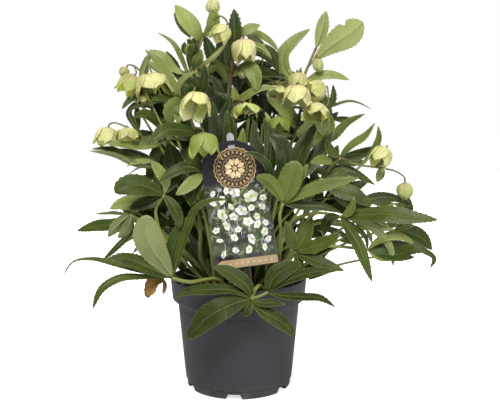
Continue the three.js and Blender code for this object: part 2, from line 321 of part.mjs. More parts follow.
  ['leaf_centre_right','D',23.4,0.55,12,[0.27, -0.96, 0.01],[[35.6,-40,256],[55.3,-46,280.4],[52.9,-46,300.3],[34.2,-40,315.3]]],
  ['leaf_centre_right','D',22.2,0.5,12,[-0.31, -0.92, 0.24],[[35.9,-40.6,255.9],[63.6,-46,276.8],[77.5,-46,302.7],[92.9,-40,331.7]]],
  ['leaf_centre_right','D',21.4,0.5,12,[-0.23, -0.89, 0.38],[[36.2,-41.2,255.9],[73.2,-44,271.9],[96.8,-40,295.2],[112.6,-32,320.8]]],
  ['leaf_centre_right','D',9.5,0.5,12,[0.47, -0.87, 0.13],[[37.5,-58,259.2],[37.2,-66,274],[26.8,-70,290.5],[8.5,-68,297.2]]],
  ['leaf_centre_left','D',16.3,0.5,12,[0.38, -0.92, 0.1],[[-16.7,-36,285.4],[-24.8,-38,309.3],[-28.2,-38,332.8],[-29.4,-34,353.8]]],
  ['leaf_centre_left','T',16.2,0.5,14,[-0.32, -0.95, -0.02],[[-16.7,-36,285.4],[-9.3,-42,307.1],[-9.3,-42,325.9],[-12.8,-38,344.5]]],
  ['leaf_centre_left','B',13.7,0.5,16,[-0.38, -0.92, 0.06],[[-16.7,-36,285.4],[2.5,-44,302.6],[6,-42,323.6]]],
  ['leaf_centre_left','D',16.4,0.5,12,[0.2, -0.9, 0.39],[[-16.7,-36,285.4],[-45.1,-34,299.6],[-57.3,-28,320.6]]],
  ['leaf_centre_left','D',11.9,0.5,12,[0.41, -0.87, 0.28],[[-16.7,-36,285.4],[-19.2,-24,332.3],[-10.9,-18,356],[-29,-14,365.5]]],
  ['stem_left','T',9.0,0.4,10,[-0.42, -0.69, 0.59],[[-111.4,46.3,344.5],[-128.7,36.5,351.8],[-137.9,28.6,340.6],[-131,23,325.8],[-116.8,16,303.7]]],
  ['stem_left','T',15.0,0.5,12,[0.63, -0.73, 0.27],[[-99,34.8,315.7],[-104.5,21.2,330.9],[-117.2,14.4,338.5],[-130,8.1,333.8]]],
  ['stem_left','T',12.9,0.5,12,[0.51, -0.74, 0.43],[[-105.3,40,327.6],[-79.3,34.1,340.5],[-90.9,25.8,354.4],[-101.5,20.6,356.9],[-111.1,16,347.1]]],
  ['stem_left','B',11.0,0.5,12,[0.54, -0.64, 0.55],[[-96.3,24.1,302.1],[-113.4,-10.9,300.5],[-135.3,-26.4,302.6],[-164.4,-36.3,308]]],
  ['stem_left','B',18.7,0.5,12,[0.38, -0.91, 0.17],[[-113.8,48.6,362.9],[-82.2,41.1,360.6],[-89.1,36.6,380.6],[-100,35,401.6],[-117.5,37,417.8]]],
  ['stem_left_centre','B',9.1,0.5,12,[0.55, -0.73, 0.39],[[-55.7,-39.2,375.2],[-63.3,-45.8,399.8],[-76.1,-41.8,422.8],[-92.7,-36.6,433.4]]],
  ['stem_left_centre','D',11.7,0.5,12,[0.32, -0.86, 0.39],[[-56.4,-39.2,369.7],[-70.8,-28.4,386.5],[-76.8,-25.1,400.6],[-85,-23.6,413.5]]],
  ['stem_left_centre','D',13.5,0.5,12,[-0.41, -0.86, -0.3],[[-57.6,-39.7,358.5],[-39.9,-54.2,372.2],[-38.2,-59.8,398.2]]],
  ['stem_left_centre','D',14.8,0.5,12,[0.44, -0.88, -0.17],[[-57.9,-39.9,352.9],[-51.8,-49,371.2],[-59.8,-48.6,384.9]]],
  ['stem_left_centre','B',20.6,0.55,12,[0.18, -0.84, 0.52],[[-57.8,-39.9,347.4],[-66.7,-53.3,351.7],[-75.6,-57.1,344.9],[-77,-56.7,327.6]]],
  ['stem_left_centre','B',14.6,0.55,12,[0.29, -0.64, 0.71],[[-57.4,-39.6,341.9],[-66.7,-54.3,342.5],[-68.7,-59.3,328.9]]],
  ['stem_left_centre','Y',10.4,0.55,12,[0.21, -0.89, 0.4],[[-53.7,-39.8,386.2],[-72.8,-31.6,391.1],[-86.7,-31.2,407.3],[-104.5,-28.8,414.4]]],
  ['stem_left_centre','B',20.7,0.5,10,[0.31, -0.94, 0.17],[[-42.3,-41.7,423.3],[-48.8,-49.6,435.9],[-59,-49.6,448.2],[-71.7,-47,464.2]]],
  ['stem_left_centre','T',18.5,0.5,12,[0.56, -0.68, 0.48],[[-49.2,-39.4,319.2],[-62.5,-65.3,322.2],[-80.3,-82.1,323],[-100.8,-90.6,306.7]]],
  ['stem_centre','B',13.3,0.55,14,[-0.26, -0.93, 0.26],[[-2.2,8.1,431.5],[10.6,2.8,439.8],[26.3,6,446]]],
  ['stem_centre','B',10.5,0.5,12,[0.25, -0.85, 0.46],[[-2.9,9.2,430.8],[20.3,15.6,437.2],[36.4,18.8,429],[50,18.8,414.4]]],
  ['stem_centre','U',11.3,0.5,12,[0.27, 0.83, 0.48],[[-5.4,9.2,425.9],[2,12.4,421.3],[24,9.2,420],[41.1,8.9,405.5]]],
  ['stem_centre','D',9.1,0.5,12,[0.43, -0.82, 0.38],[[-9.1,9.2,415.9],[1.9,15.6,414.3],[26.6,25.2,412.3],[50.4,29.4,389.1]]],
  ['stem_centre','U',10.4,0.5,10,[-0.06, 0.76, 0.64],[[-11.1,6.6,373],[-27,-1.3,394.3],[-42.6,-5,383.5]]],
  ['stem_centre','D',10.7,0.5,12,[0.49, -0.87, 0.01],[[-14.9,4.8,346.3],[-22.2,-2.9,365.5],[-32.9,-4.9,385.9]]],
  ['stem_centre','Y',11.6,0.55,14,[-0.38, -0.9, -0.21],[[-14.5,2.8,342.7],[-3.9,-9.4,355.9],[-6.3,-8.6,372.7]]],
  ['stem_centre','B',18.5,0.6,12,[-0.3, -0.8, 0.52],[[-8.3,7.7,388.9],[14.2,-13.8,393.9],[21.3,-20.5,379.6],[20.2,-21,365.5]]],
  ['stem_centre','D',12.1,0.55,10,[-0.08, -0.91, 0.41],[[-8.3,7.7,388.9],[11.8,7.8,389.8],[25.2,12,405.6]]],
  ['stem_centre','B',11.6,0.5,14,[-0.5, -0.77, 0.4],[[-15.4,4.4,340.9],[5.8,-12.2,358.3],[28.5,-20.8,370.2],[46.4,-20.8,370.2]]],
  ['stem_centre','D',11.1,0.5,16,[-0.6, -0.73, 0.34],[[-15.8,3.7,330.2],[5.8,-19,334.6],[29.6,-27.4,345.4]]],
  ['stem_centre','T',15.4,0.5,12,[0.61, -0.6, 0.53],[[-15.7,4.1,335.6],[-31.6,-12.7,346.4],[-38.3,-24.8,330]]],
  ['bract_toothed','T',17.7,0.55,10,[-0.29, -0.96, -0.03],[[-9,5.6,404.2],[-5.1,-0.4,425.4],[-3.9,-0.4,444.3],[-5.1,2.8,464.7]]],
  ['stem_right','B',12.9,0.5,12,[-0.25, -0.85, 0.47],[[80,33.3,375],[98.7,22.8,385.3],[117,20.1,386.4],[136.8,19.2,380.3]]],
  ['stem_right','D',10.1,0.5,10,[-0.45, -0.81, 0.39],[[99.5,26.8,340.7],[115.6,25.7,350.7],[118.5,32.6,374.3]]],
  ['stem_right','B',25.5,0.6,14,[-0.78, -0.6, 0.17],[[75.8,31.6,332.1],[99.6,-5,309.8],[111.1,-11.4,322.3],[107.4,-8.8,342.7]]],
  ['stem_right','U',15.2,0.5,10,[-0.09, 0.94, 0.34],[[70.2,30.8,311.3],[90,28.9,305.5],[114.4,21.4,308.4],[136.8,22,328.4],[158.1,23.7,338.3]]],
  ['stem_right','T',6.3,0.5,8,[-0.03, -0.48, 0.88],[[91.7,28.3,339.7],[117.1,28.1,348.1],[140.1,32,354.3],[167.2,35.8,344.3]]],
  ['stem_right','B',19.5,0.5,14,[0.54, -0.84, -0.01],[[73.3,31.3,321.6],[63.4,6.9,336.2],[50.8,0.3,348.6],[34.9,-1.3,357.1]]],
  ['stem_right','U',13.5,0.5,12,[-0.08, 0.78, 0.62],[[70.2,30.8,311.3],[46,-1.3,317],[32.5,-3.4,341.4]]],
  ['stem_right','D',16.7,0.5,12,[0.23, -0.91, 0.35],[[70.8,29.2,317.9],[51.9,30,343.1],[26.8,32.2,355.6]]],
  ['stem_right','D',16.8,0.5,10,[0.12, -0.85, 0.51],[[75.8,31.6,332.1],[105.7,37.8,325.3],[126.7,46.1,340.3]]],
  ['stem_right','T',18.2,0.5,12,[0.16, -0.64, 0.75],[[74.6,31.4,326.8],[82.7,-2.7,307.3],[79.8,-13,288.4]]],
  ['stem_right','B',18.1,0.5,12,[-0.43, -0.88, 0.21],[[80,33.3,375],[58.4,41.6,393.2],[56,45,412],[67.2,45,426.9],[90,48,444.5]]],
  ['stem_right','U',17.4,0.55,12,[-0.32, 0.94, -0.1],[[96.9,36,420.2],[103.7,45,438.1],[110,48,466.8]]],
  ['bract_right_broad','U',34.3,0.58,10,[-0.04, 0.96, 0.28],[[88,30.7,397.8],[102,21,412.1],[119.7,15,426.3],[136.7,15,437.2],[152.8,18,450.6]]],
  ['stem_far_right','B',11.2,0.45,16,[-0.64, -0.7, 0.32],[[118.9,-55,290.5],[131.4,-64.6,305],[144.4,-68.7,314.4],[156.2,-71.9,330.5]]],
  ['stem_far_right','B',9.3,0.55,14,[-0.63, -0.76, 0.14],[[141.9,-58.8,281.2],[157.3,-61.1,299],[162.4,-63.7,313],[160.5,-66.4,326.9]]],
  ['stem_far_right','D',14.8,0.5,12,[-0.19, -0.8, 0.56],[[118.9,-55,290.5],[137.4,-55.2,291.7],[157,-54.7,302.1]]],
  ['stem_far_right','B',12.7,0.5,12,[0.46, -0.76, 0.46],[[112.2,-51.5,282.7],[97.2,-63.6,287.7],[83.1,-67.6,284.6]]],
  ['leaf_back_left_low','T',15.3,0.52,12,[0.08, 0.1, 0.99],[[-85,78,175],[-72.6,93.1,177.9],[-60.2,108.2,175.5],[-47.4,123.8,167.5]]],
  ['leaf_back_left_low','T',18.1,0.52,12,[-0.05, 0.35, 0.94],[[-85,78,175],[-85.1,100,175],[-85.1,122,167.1],[-85.2,144.6,150.4]]],
  ['leaf_back_left_low','T',21.4,0.52,8,[-0.37, 0.01, 0.93],[[-85,78,175],[-98.5,100.5,179.3],[-112.1,123,173.7],[-126,146.2,157.6]]],
  ['leaf_back_left_low','T',24.8,0.52,12,[-0.3, -0.21, 0.93],[[-85,78,175],[-111.8,90.4,178.1],[-138.7,102.7,172.5],[-166.3,115.5,157.4]]],
  ['leaf_back_left_low','T',20.6,0.52,16,[-0.22, 0.29, 0.93],[[-85,78,175],[-111.7,76.9,178.5],[-138.4,75.9,172.6],[-165.9,74.7,156.7]]],
  ['leaf_back_left_low','D',19.0,0.52,16,[-0.1, -0.26, 0.96],[[-85,78,175],[-102.2,64.3,177.4],[-119.5,50.7,172.1],[-137.2,36.6,158.7]]],
  ['leaf_back_left_low','D',16.0,0.52,12,[0.06, -0.37, 0.93],[[-85,78,175],[-93.4,60,176],[-101.8,42,169.6],[-110.4,23.4,155.1]]],
  ['leaf_back_low','D',15.2,0.52,8,[0.2, -0.22, 0.95],[[-8,112,179],[12.4,112.9,180],[32.9,113.8,176],[53.9,114.7,166.7]]],
  ['leaf_back_low','D',20.1,0.52,12,[0.15, 0.2, 0.97],[[-8,112,179],[12.4,126.9,180.5],[32.7,141.9,174.5],[53.7,157.3,160.3]]],
  ['leaf_back_low','T',24.2,0.52,16,[0.3, -0.0, 0.95],[[-8,112,179],[1.1,141.9,185.4],[10.3,171.8,182.7],[19.7,202.6,170.5]]],
  ['leaf_back_low','D',24.9,0.52,16,[-0.25, 0.07, 0.96],[[-8,112,179],[-16.2,139,182.3],[-24.5,166,178.3],[-33,193.8,166.6]]],
  ['leaf_back_low','D',22.5,0.52,12,[-0.16, 0.11, 0.98],[[-8,112,179],[-31.1,125.5,181.9],[-54.1,138.9,176.8],[-77.9,152.8,163.3]]],
  ['leaf_back_low','T',16.5,0.52,8,[-0.32, -0.1, 0.94],[[-8,112,179],[-28.1,110.1,179.8],[-48.3,108.2,172.8],[-69,106.3,157.5]]],
  ['leaf_back_right_low','T',15.6,0.52,12,[0.06, -0.27, 0.96],[[84,80,183],[93.6,63.2,184.1],[103.3,46.4,178.8],[113.2,29.1,166.8]]],
  ['leaf_back_right_low','T',17.8,0.52,8,[-0.0, -0.26, 0.97],[[84,80,183],[104.4,69,187.3],[124.8,58.1,184.6],[145.9,46.8,174.3]]],
  ['leaf_back_right_low','T',19.4,0.52,16,[0.07, 0.33, 0.94],[[84,80,183],[110.8,81.5,188.4],[137.6,82.9,186],[165.2,84.4,175.3]]],
  ['leaf_back_right_low','T',26.7,0.52,12,[0.09, -0.02, 1.0],[[84,80,183],[111.2,97.3,190],[138.4,114.7,188.1],[166.5,132.6,177]]],
  ['leaf_back_right_low','T',20.6,0.52,12,[0.34, 0.17, 0.92],[[84,80,183],[94.8,107.3,185.4],[105.6,134.7,176.5],[116.8,162.9,155.6]]],
  ['leaf_back_right_low','T',20.6,0.52,16,[-0.17, 0.22, 0.96],[[84,80,183],[80.5,105.4,185.2],[76.9,130.8,178.8],[73.3,157,163.4]]],
  ['leaf_back_right_low','D',17.1,0.52,16,[0.07, 0.34, 0.94],[[84,80,183],[70.5,94,185.6],[56.9,108,181.6],[43,122.4,170.6]]],
  ['leaf_back_left','T',14.0,0.52,12,[-0.12, 0.28, 0.95],[[-70,62,265],[-56.9,73.7,267.8],[-43.8,85.5,266.2],[-30.3,97.5,259.8]]],
  ['leaf_back_left','T',21.3,0.52,12,[-0.14, 0.19, 0.97],[[-70,62,265],[-68.5,87,268.3],[-67,112.1,263.7],[-65.5,137.9,250.6]]],
  ['leaf_back_left','T',22.0,0.52,12,[0.12, 0.21, 0.97],[[-70,62,265],[-84.1,88.9,272.2],[-98.1,115.9,268.5],[-112.6,143.6,253.2]]],
  ['leaf_back_left','D',24.3,0.52,16,[-0.22, -0.22, 0.95],[[-70,62,265],[-97.9,71.9,272],[-125.8,81.7,267.9],[-154.5,91.9,252.2]]],
  ['leaf_back_left','D',16.2,0.52,12,[-0.31, 0.15, 0.94],[[-70,62,265],[-92.6,56.4,267.5],[-115.2,50.7,261.1],[-138.6,44.9,245.1]]],
  ['leaf_back_left','D',15.2,0.52,8,[-0.01, -0.13, 0.99],[[-70,62,265],[-81,45.7,269],[-92,29.5,266.9],[-103.4,12.7,258.3]]],
  ['leaf_back_centre','T',17.1,0.52,8,[0.19, -0.2, 0.96],[[4,84,275],[23.8,80.3,278.2],[43.5,76.7,273.7],[63.9,72.9,261.1]]],
  ['leaf_back_centre','T',21.4,0.52,8,[0.07, 0.24, 0.97],[[4,84,275],[27.1,97.2,278.2],[50.3,110.5,273.3],[74.1,124.1,259.6]]],
  ['leaf_back_centre','T',21.2,0.52,16,[0.01, 0.25, 0.97],[[4,84,275],[13.7,111.9,278.8],[23.4,139.7,271.7],[33.4,168.4,252.9]]],
  ['leaf_back_centre','T',24.3,0.52,12,[0.21, -0.03, 0.98],[[4,84,275],[-4.4,111.1,284.2],[-12.9,138.1,286.9],[-21.6,166,282.9]]],
  ['leaf_back_centre','T',21.2,0.52,12,[-0.21, -0.12, 0.97],[[4,84,275],[-16,97.6,280.5],[-35.9,111.2,278.1],[-56.5,125.2,267.2]]],
  ['leaf_back_centre','D',16.2,0.52,16,[-0.1, -0.3, 0.95],[[4,84,275],[-15,82.1,277.4],[-33.9,80.3,274.9],[-53.5,78.4,267.4]]],
  ['leaf_back_right','T',16.7,0.52,16,[0.32, 0.13, 0.94],[[80,58,261],[91.9,43.1,264.2],[103.7,28.2,262.2],[116,12.8,254.7]]],
  ['leaf_back_right','T',21.3,0.52,16,[0.17, -0.23, 0.96],[[80,58,261],[103.3,50.2,263.9],[126.6,42.4,258],[150.6,34.4,242.6]]],
  ['leaf_back_right','T',22.9,0.52,12,[0.09, 0.21, 0.97],[[80,58,261],[104.6,68.6,266.2],[129.3,79.1,261.7],[154.7,90,247]]],
  ['leaf_back_right','T',22.7,0.52,12,[0.15, -0.01, 0.99],[[80,58,261],[91.7,82.9,266.9],[103.3,107.8,265.4],[115.3,133.4,256.2]]],
  ['leaf_back_right','T',19.2,0.52,8,[0.27, 0.16, 0.95],[[80,58,261],[79.2,80.1,265.8],[78.3,102.2,262.5],[77.5,125,250.8]]],
  ['leaf_back_right','T',15.1,0.52,8,[0.08, 0.36, 0.93],[[80,58,261],[66.8,71.1,263.9],[53.6,84.2,260.1],[40,97.7,249.2]]],
  ['leaf_back_upper_left','D',12.1,0.52,16,[0.01, -0.02, 1.0],[[-38,48,348],[-23.4,51.3,351.6],[-8.7,54.7,351.6],[6.4,58.1,347.8]]],
  ['leaf_back_upper_left','T',16.4,0.52,8,[0.06, 0.02, 1.0],[[-38,48,348],[-26.5,63.5,352.3],[-15.1,79.1,351.4],[-3.3,95.1,345.1]]],
  ['leaf_back_upper_left','T',21.7,0.52,8,[0.07, -0.04, 1.0],[[-38,48,348],[-44.1,72,355.3],[-50.3,95.9,356.8],[-56.6,120.6,352.1]]],
  ['leaf_back_upper_left','T',16.4,0.52,16,[-0.04, 0.09, 0.99],[[-38,48,348],[-56.1,62.3,353.3],[-74.1,76.6,351.4],[-92.7,91.3,341.7]]],
  ['leaf_back_upper_left','T',15.8,0.52,16,[0.04, -0.29, 0.96],[[-38,48,348],[-58.1,46.4,353.2],[-78.1,44.7,353.6],[-98.8,43,348.9]]],
  ['leaf_back_upper_left','T',12.7,0.52,8,[0.02, -0.17, 0.98],[[-38,48,348],[-49,37.3,351.1],[-60.1,26.6,349.4],[-71.5,15.5,342.9]]],
  ['leaf_back_upper_right','T',14.3,0.52,16,[0.36, 0.03, 0.93],[[46,50,341],[57.6,37.8,342.8],[69.3,25.7,338.7],[81.3,13.1,328.5]]],
  ['leaf_back_upper_right','T',18.0,0.52,12,[0.1, -0.0, 1.0],[[46,50,341],[66.8,48.4,345.4],[87.7,46.7,343.5],[109.2,45,334.9]]],
  ['leaf_back_upper_right','T',19.4,0.52,16,[0.03, 0.1, 0.99],[[46,50,341],[64.9,63.8,345.4],[83.8,77.5,343.5],[103.3,91.7,334.9]]],
  ['leaf_back_upper_right','T',19.7,0.52,16,[-0.06, 0.18, 0.98],[[46,50,341],[50.5,75.6,345.4],[54.9,101.2,341.2],[59.5,127.5,327.9]]],
  ['leaf_back_upper_right','T',17.2,0.52,8,[0.17, 0.13, 0.98],[[46,50,341],[35.2,68.8,346.2],[24.3,87.5,345.8],[13.1,106.8,339.3]]],
  ['leaf_back_upper_right','T',11.3,0.52,12,[-0.04, 0.17, 0.98],[[46,50,341],[31.3,53.4,344.7],[16.6,56.9,343.5],[1.4,60.4,337.2]]],
  ['stem_back','B',14,0.55,14,[-0.3, -0.9, 0.3],[[-20,70,391],[-30,76,405],[-38,74,423]]],
  ['stem_back','B',15,0.55,14,[0.0, -0.29, 0.96],[[-20,70,391],[-6,84,401],[8,98,399]]],
  ['stem_back','B',20,0.5,12,[-0.19, -0.19, 0.96],[[-6.4,66.3,335.1],[-40,84,353],[-72,98,349]]],
  ['stem_back','D',22,0.5,12,[0.19, 0.19, 0.96],[[-4.9,64.8,325.8],[24,84,339],[56,104,335],[80,118,315]]],
  ['stem_back','T',22,0.5,12,[-0.1, 0.29, 0.95],[[-2.9,59.1,302.7],[-20,92,325],[-34,124,319],[-40,148,299]]],
  ['stem_back','B',14,0.5,12,[0.1, -0.2, 0.98],[[22.5,76.2,375.6],[34,92,393],[40,112,391]]],
];

// ---- blooms: piece, kind, radius, length, opening, base point, direction ----
const BLOOMS = [
  ['flower_left_outer','bell',11.3,26.0,0.35,[-130.7,35.5,386.1],[-0.547, -0.207, -0.811]],
  ['flower_left_large','bell',21.4,26.8,0.75,[-115.7,43.4,383.7],[0.388, -0.6, -0.699]],
  ['flower_left_small','bell',7.6,14.4,0.4,[-121.7,37.3,362.1],[0.128, -0.393, -0.911]],
  ['bud_left','bud',6.3,12.6,0,[-141.7,40,396],[-0.466, -0.207, -0.86]],
  ['flower_far_left','bell',12.6,22.7,0.45,[-156.4,-16.7,322.7],[-0.121, -0.269, -0.956]],
  ['flower_far_left_inner','bell',12.0,15.6,0.45,[-134.7,-17,321.6],[0.124, -0.314, -0.941]],
  ['flower_centre_left','bell',19.4,29.1,0.7,[-47.2,-56.7,361.3],[-0.017, -0.589, -0.808]],
  ['flower_label_top','bell',15.5,29.4,0.5,[-39.3,-63.5,318.3],[0.055, -0.226, -0.973]],
  ['bud_top','bud',7.8,16.4,0,[-28.7,-44.7,455.1],[0.055, 0.031, 0.998]],
  ['flower_top','bell',11.3,21.6,0.3,[-13.2,-56.2,439.1],[-0.506, -0.357, -0.785]],
  ['bud_centre','bud',14.9,29.9,0,[6.3,-9.2,427.2],[0.049, -0.269, -0.962]],
  ['bud_small_left','bud',6.4,16.6,0,[-56,-55.1,407],[0.058, 0.03, 0.998]],
  ['flower_middle','bell',15.4,16.9,0.8,[9.4,-23.9,349.8],[0.003, -0.758, -0.652]],
  ['flower_right_top','bell',11.1,19.9,0.35,[72.3,13.4,388.3],[0.084, -0.313, -0.946]],
  ['flower_right_middle','bell',15.2,26.6,0.45,[72.2,3.4,373.3],[-0.059, -0.315, -0.947]],
  ['flower_right_side','bell',13.1,23.5,0.4,[107,26.5,371.6],[-0.902, -0.303, -0.307]],
  ['flower_right_lower','bell',14.1,25.4,0.55,[99,12.1,348.2],[-0.294, -0.603, -0.741]],
  ['bud_right_top','bud',7.8,16.3,0,[96.7,20.9,406.5],[0.185, -0.221, -0.958]],
  ['bud_middle_right','bell',9.1,17.3,0.3,[47.5,-4.8,333.7],[0.084, -0.4, -0.913]],
  ['flower_middle_right','bell',9.8,15.6,0.6,[48.8,7.3,371.6],[-0.212, -0.591, -0.778]],
  ['flower_far_right','bell',13.2,25.2,0.5,[171,-58.9,300.9],[-0.476, -0.428, -0.768]],
  ['bud_far_right','bud',9.3,19.6,0,[195.3,-54.2,260.3],[-0.028, -0.272, -0.962]],
  ['flower_back_right','bell',17,24,0.6,[52,98.4,386],[0.249, 0.549, -0.798]],
  ['flower_back_left','bell',15,24,0.45,[-40,94.4,398],[-0.204, 0.612, -0.764]],
];

// ---- pot ----
function potSolid(grow) {
  const r = FOOT_RADIUS, W = WALL;
  const prof = [
    [0, 0], [PAD_RADIUS, 0], [PAD_RADIUS + 2, 7.4], [r - 11, 7.4], [r - 6, 0], [r - 1.4, 0], [r - 0.4, 1.2], [r + 0.1, 9.2], [r + 1.6 + grow, 10.4],
    [BODY_TOP_RADIUS + grow, BODY_TOP_Z - grow], [82.8 + grow, 112], [RIM_RADIUS + grow, POT_HEIGHT - 1.5], [RIM_RADIUS - 0.6 + grow, POT_HEIGHT + grow],
    [RIM_RADIUS - WALL - 0.9 - grow, POT_HEIGHT + grow], [81.2 - grow, 113], [BODY_TOP_RADIUS - WALL - grow, 105.8], [r + 1.7 - WALL - grow, 12 + grow], [r - 3, 10 + grow], [0, 10 + grow],
  ];
  return lathe(prof, POT_SIDES);
}
let pot = potSolid(0);
for (let k = 0; k < NOTCHES; k++) {
  const turn = new THREE.Matrix4().makeRotationZ(((NOTCH_TURN + (360 / NOTCHES) * k) * Math.PI) / 180);
  const s = new THREE.Shape();
  s.moveTo(-NOTCH_FOOT_WIDTH / 2 - 1, -1.2); s.lineTo(NOTCH_FOOT_WIDTH / 2 + 1, -1.2);
  s.lineTo(NOTCH_TOP_WIDTH / 2, NOTCH_HEIGHT); s.lineTo(-NOTCH_TOP_WIDTH / 2, NOTCH_HEIGHT); s.closePath();
  const g = new THREE.ExtrudeGeometry(s, { depth: 26, bevelEnabled: false });
  g.rotateX(Math.PI / 2);           // the outline now stands in X and Z
  g.translate(0, -FOOT_RADIUS + 18.5, 0); // runs outward through the foot ring
  g.applyMatrix4(turn);
  pot = pot.subtract(solid(g));
  const h = new THREE.CylinderGeometry(4, 4, 12, 8);
  h.rotateX(Math.PI / 2);
  h.translate(0, -38, 6);
  h.applyMatrix4(turn);
  pot = pot.subtract(solid(h));
}
const potClear = potSolid(GAP);

// ---- label ----
const cardUp = V(CARD_UP).normalize(), cardRight = V(CARD_RIGHT).normalize();
const cardOut = new THREE.Vector3().crossVectors(cardRight, cardUp).normalize(); // towards the front
const cardAt = (x, y, z) => V(CARD_ORIGIN).addScaledVector(cardRight, x).addScaledVector(cardUp, y).addScaledVector(cardOut, z);
const cardFrame = new THREE.Matrix4().makeBasis(cardRight, cardUp, cardOut).setPosition(V(CARD_ORIGIN));
function cardSolid(grow) {
  const s = new THREE.Shape(CARD_OUTLINE.map((q) => new THREE.Vector2(q[0] + Math.sign(q[0] - CARD_MID) * grow, q[1] + Math.sign(q[1] - 60) * grow)));
  const g = new THREE.ExtrudeGeometry(s, { depth: CARD_THICK + 2 * grow, bevelEnabled: false });
  g.translate(0, 0, -grow);
  g.applyMatrix4(cardFrame);
  return solid(g);
}
const slot = box(9.2, 6.4, 8, SLOT[0], SLOT[1], 0, cardFrame);
const card = cardSolid(0).subtract(slot);
function stakeSolid(grow) {
  const g = grow, w = STAKE_WIDTH + 2 * g, t = STAKE_THICK + 2 * g;
  const s = new THREE.Shape();
  const x = SLOT[0], top = STAKE_TOP + g, foot = STAKE_FOOT;
  s.moveTo(x + STAKE_LEAN * (foot - SLOT[1]), foot - g);
  s.lineTo(x + w / 2 + STAKE_LEAN * (foot + 14 - SLOT[1]), foot + 14);
  s.lineTo(x + w / 2, top - 3); s.lineTo(x + w / 2 - 2.4, top); s.lineTo(x - w / 2 + 2.4, top); s.lineTo(x - w / 2, top - 3);
  s.lineTo(x - w / 2 + STAKE_LEAN * (foot + 14 - SLOT[1]), foot + 14);
  s.closePath();
  const e = new THREE.ExtrudeGeometry(s, { depth: t, bevelEnabled: false });
  e.translate(0, 0, -STAKE_THICK - 0.4 - g);
  e.applyMatrix4(cardFrame);
  const strip = solid(e);
  return strip.add(box(6.6 + 2 * g, 3.6 + 2 * g, 2.6, SLOT[0], SLOT[1], 0.4, cardFrame));
}
const stake = stakeSolid(0);

// ---- leaves, stems and flowers ----
const names = [];
const part = {};
const get = (name) => {
  if (!part[name]) { part[name] = { tubes: [], tubesClear: [], blades: [], bladesClear: [], bloom: null, kind: '' }; names.push(name); }
  return part[name];
};
for (const [name, kind, r0, r1, pts] of STALKS) {
  const q = get(name), sides = r0 >= 2 ? 5 : 4;
  q.tubes.push(stalk(pts, r0, r1, 0, sides));
  q.tubesClear.push(stalk(pts, r0, r1, 0.6, sides));
  (q.sockets = q.sockets || []).push(stalk(pts, r0, r1, 1.2, sides));
}
for (const [name, kind, width, m, fold, normal, pts] of BLADES) {
  const q = get(name);
  q.blades.push(blade(pts, width, m, fold, normal, LEAF_THICK));
  q.bladesClear.push(blade(pts, width + 2 * GAP, m, fold, normal, LEAF_THICK + 2 * GAP + 0.1, GAP));
}
for (const [name, kind, radius, length, open, base, axis] of BLOOMS) {
  const q = get(name);
  q.bloom = bloom(base, axis, length, radius, open, kind, 0);
  q.bloomClear = bloom(base, axis, length, radius, open, kind, GAP);
  q.kind = kind;
}
for (const n of names) {
  const q = part[n];
  if (q.tubes.length) { q.T = sum(q.tubes); q.TC = sum(q.tubesClear); }
  if (q.blades.length) { q.B = sum(q.blades); q.BC = sum(q.bladesClear); }
}
const soilTopClear = lathe([[0, 93], [77, 93], [82, 111], [81.6, SOIL_TOP - 4 + GAP], [50, SOIL_TOP - 0.8 + GAP], [0, SOIL_TOP + 0.4 + GAP]], 20);
const cardClear = cardSolid(GAP), stakeClear = stakeSolid(GAP);
const allStalks = names.filter((n) => part[n].T);
const plants = names.filter((n) => part[n].T || part[n].B);
const result = {};
// stalks first: each keeps clear of the ones before it, of the flowers, the pot and the label
for (let i = 0; i < allStalks.length; i++) {
  const n = allStalks[i];
  let m = part[n].T;
  const cut = [potClear, cardClear, stakeClear];
  for (let j = 0; j < i; j++) cut.push(part[allStalks[j]].TC);
  for (const f of names) if (part[f].bloom) cut.push(part[f].bloomClear);
  part[n].TX = m.subtract(sum(cut));
}
const blooms = names.filter((n) => part[n].bloom);
for (let i = 0; i < blooms.length; i++) {
  let m = part[blooms[i]].bloom;
  const cut = [potClear, cardClear, stakeClear];
  for (let j = 0; j < i; j++) cut.push(part[blooms[j]].bloomClear);
  result[blooms[i]] = largest(m.subtract(sum(cut)));
}
for (let i = 0; i < plants.length; i++) {
  const n = plants[i], q = part[n];
  let m = q.TX;
  if (q.B) {
    const cut = [potClear, cardClear, stakeClear, soilTopClear];
    for (let j = 0; j < plants.length; j++) {
      if (j === i) continue;
      if (part[plants[j]].TC) cut.push(part[plants[j]].TC);
      if (j < i && part[plants[j]].BC) cut.push(part[plants[j]].BC);
    }
    for (const f of blooms) cut.push(part[f].bloomClear);
    const blades = q.B.subtract(sum(cut));
    m = m ? m.add(blades) : blades;
  }
  result[n] = largest(m);
}

// ---- soil, with a socket for each stalk and for the stake ----
let soil = lathe([[0, 10.5], [60.5, 10.5], [64.6, 13], [BODY_TOP_RADIUS - WALL - 0.8, 105.8], [80, 113.2], [80.8, SOIL_TOP - 4], [50, SOIL_TOP - 0.8], [0, SOIL_TOP + 0.4]], 20);
soil = soil.subtract(sum([stakeClear, ...allStalks.map((n) => sum(part[n].sockets))]));
soil = largest(soil);

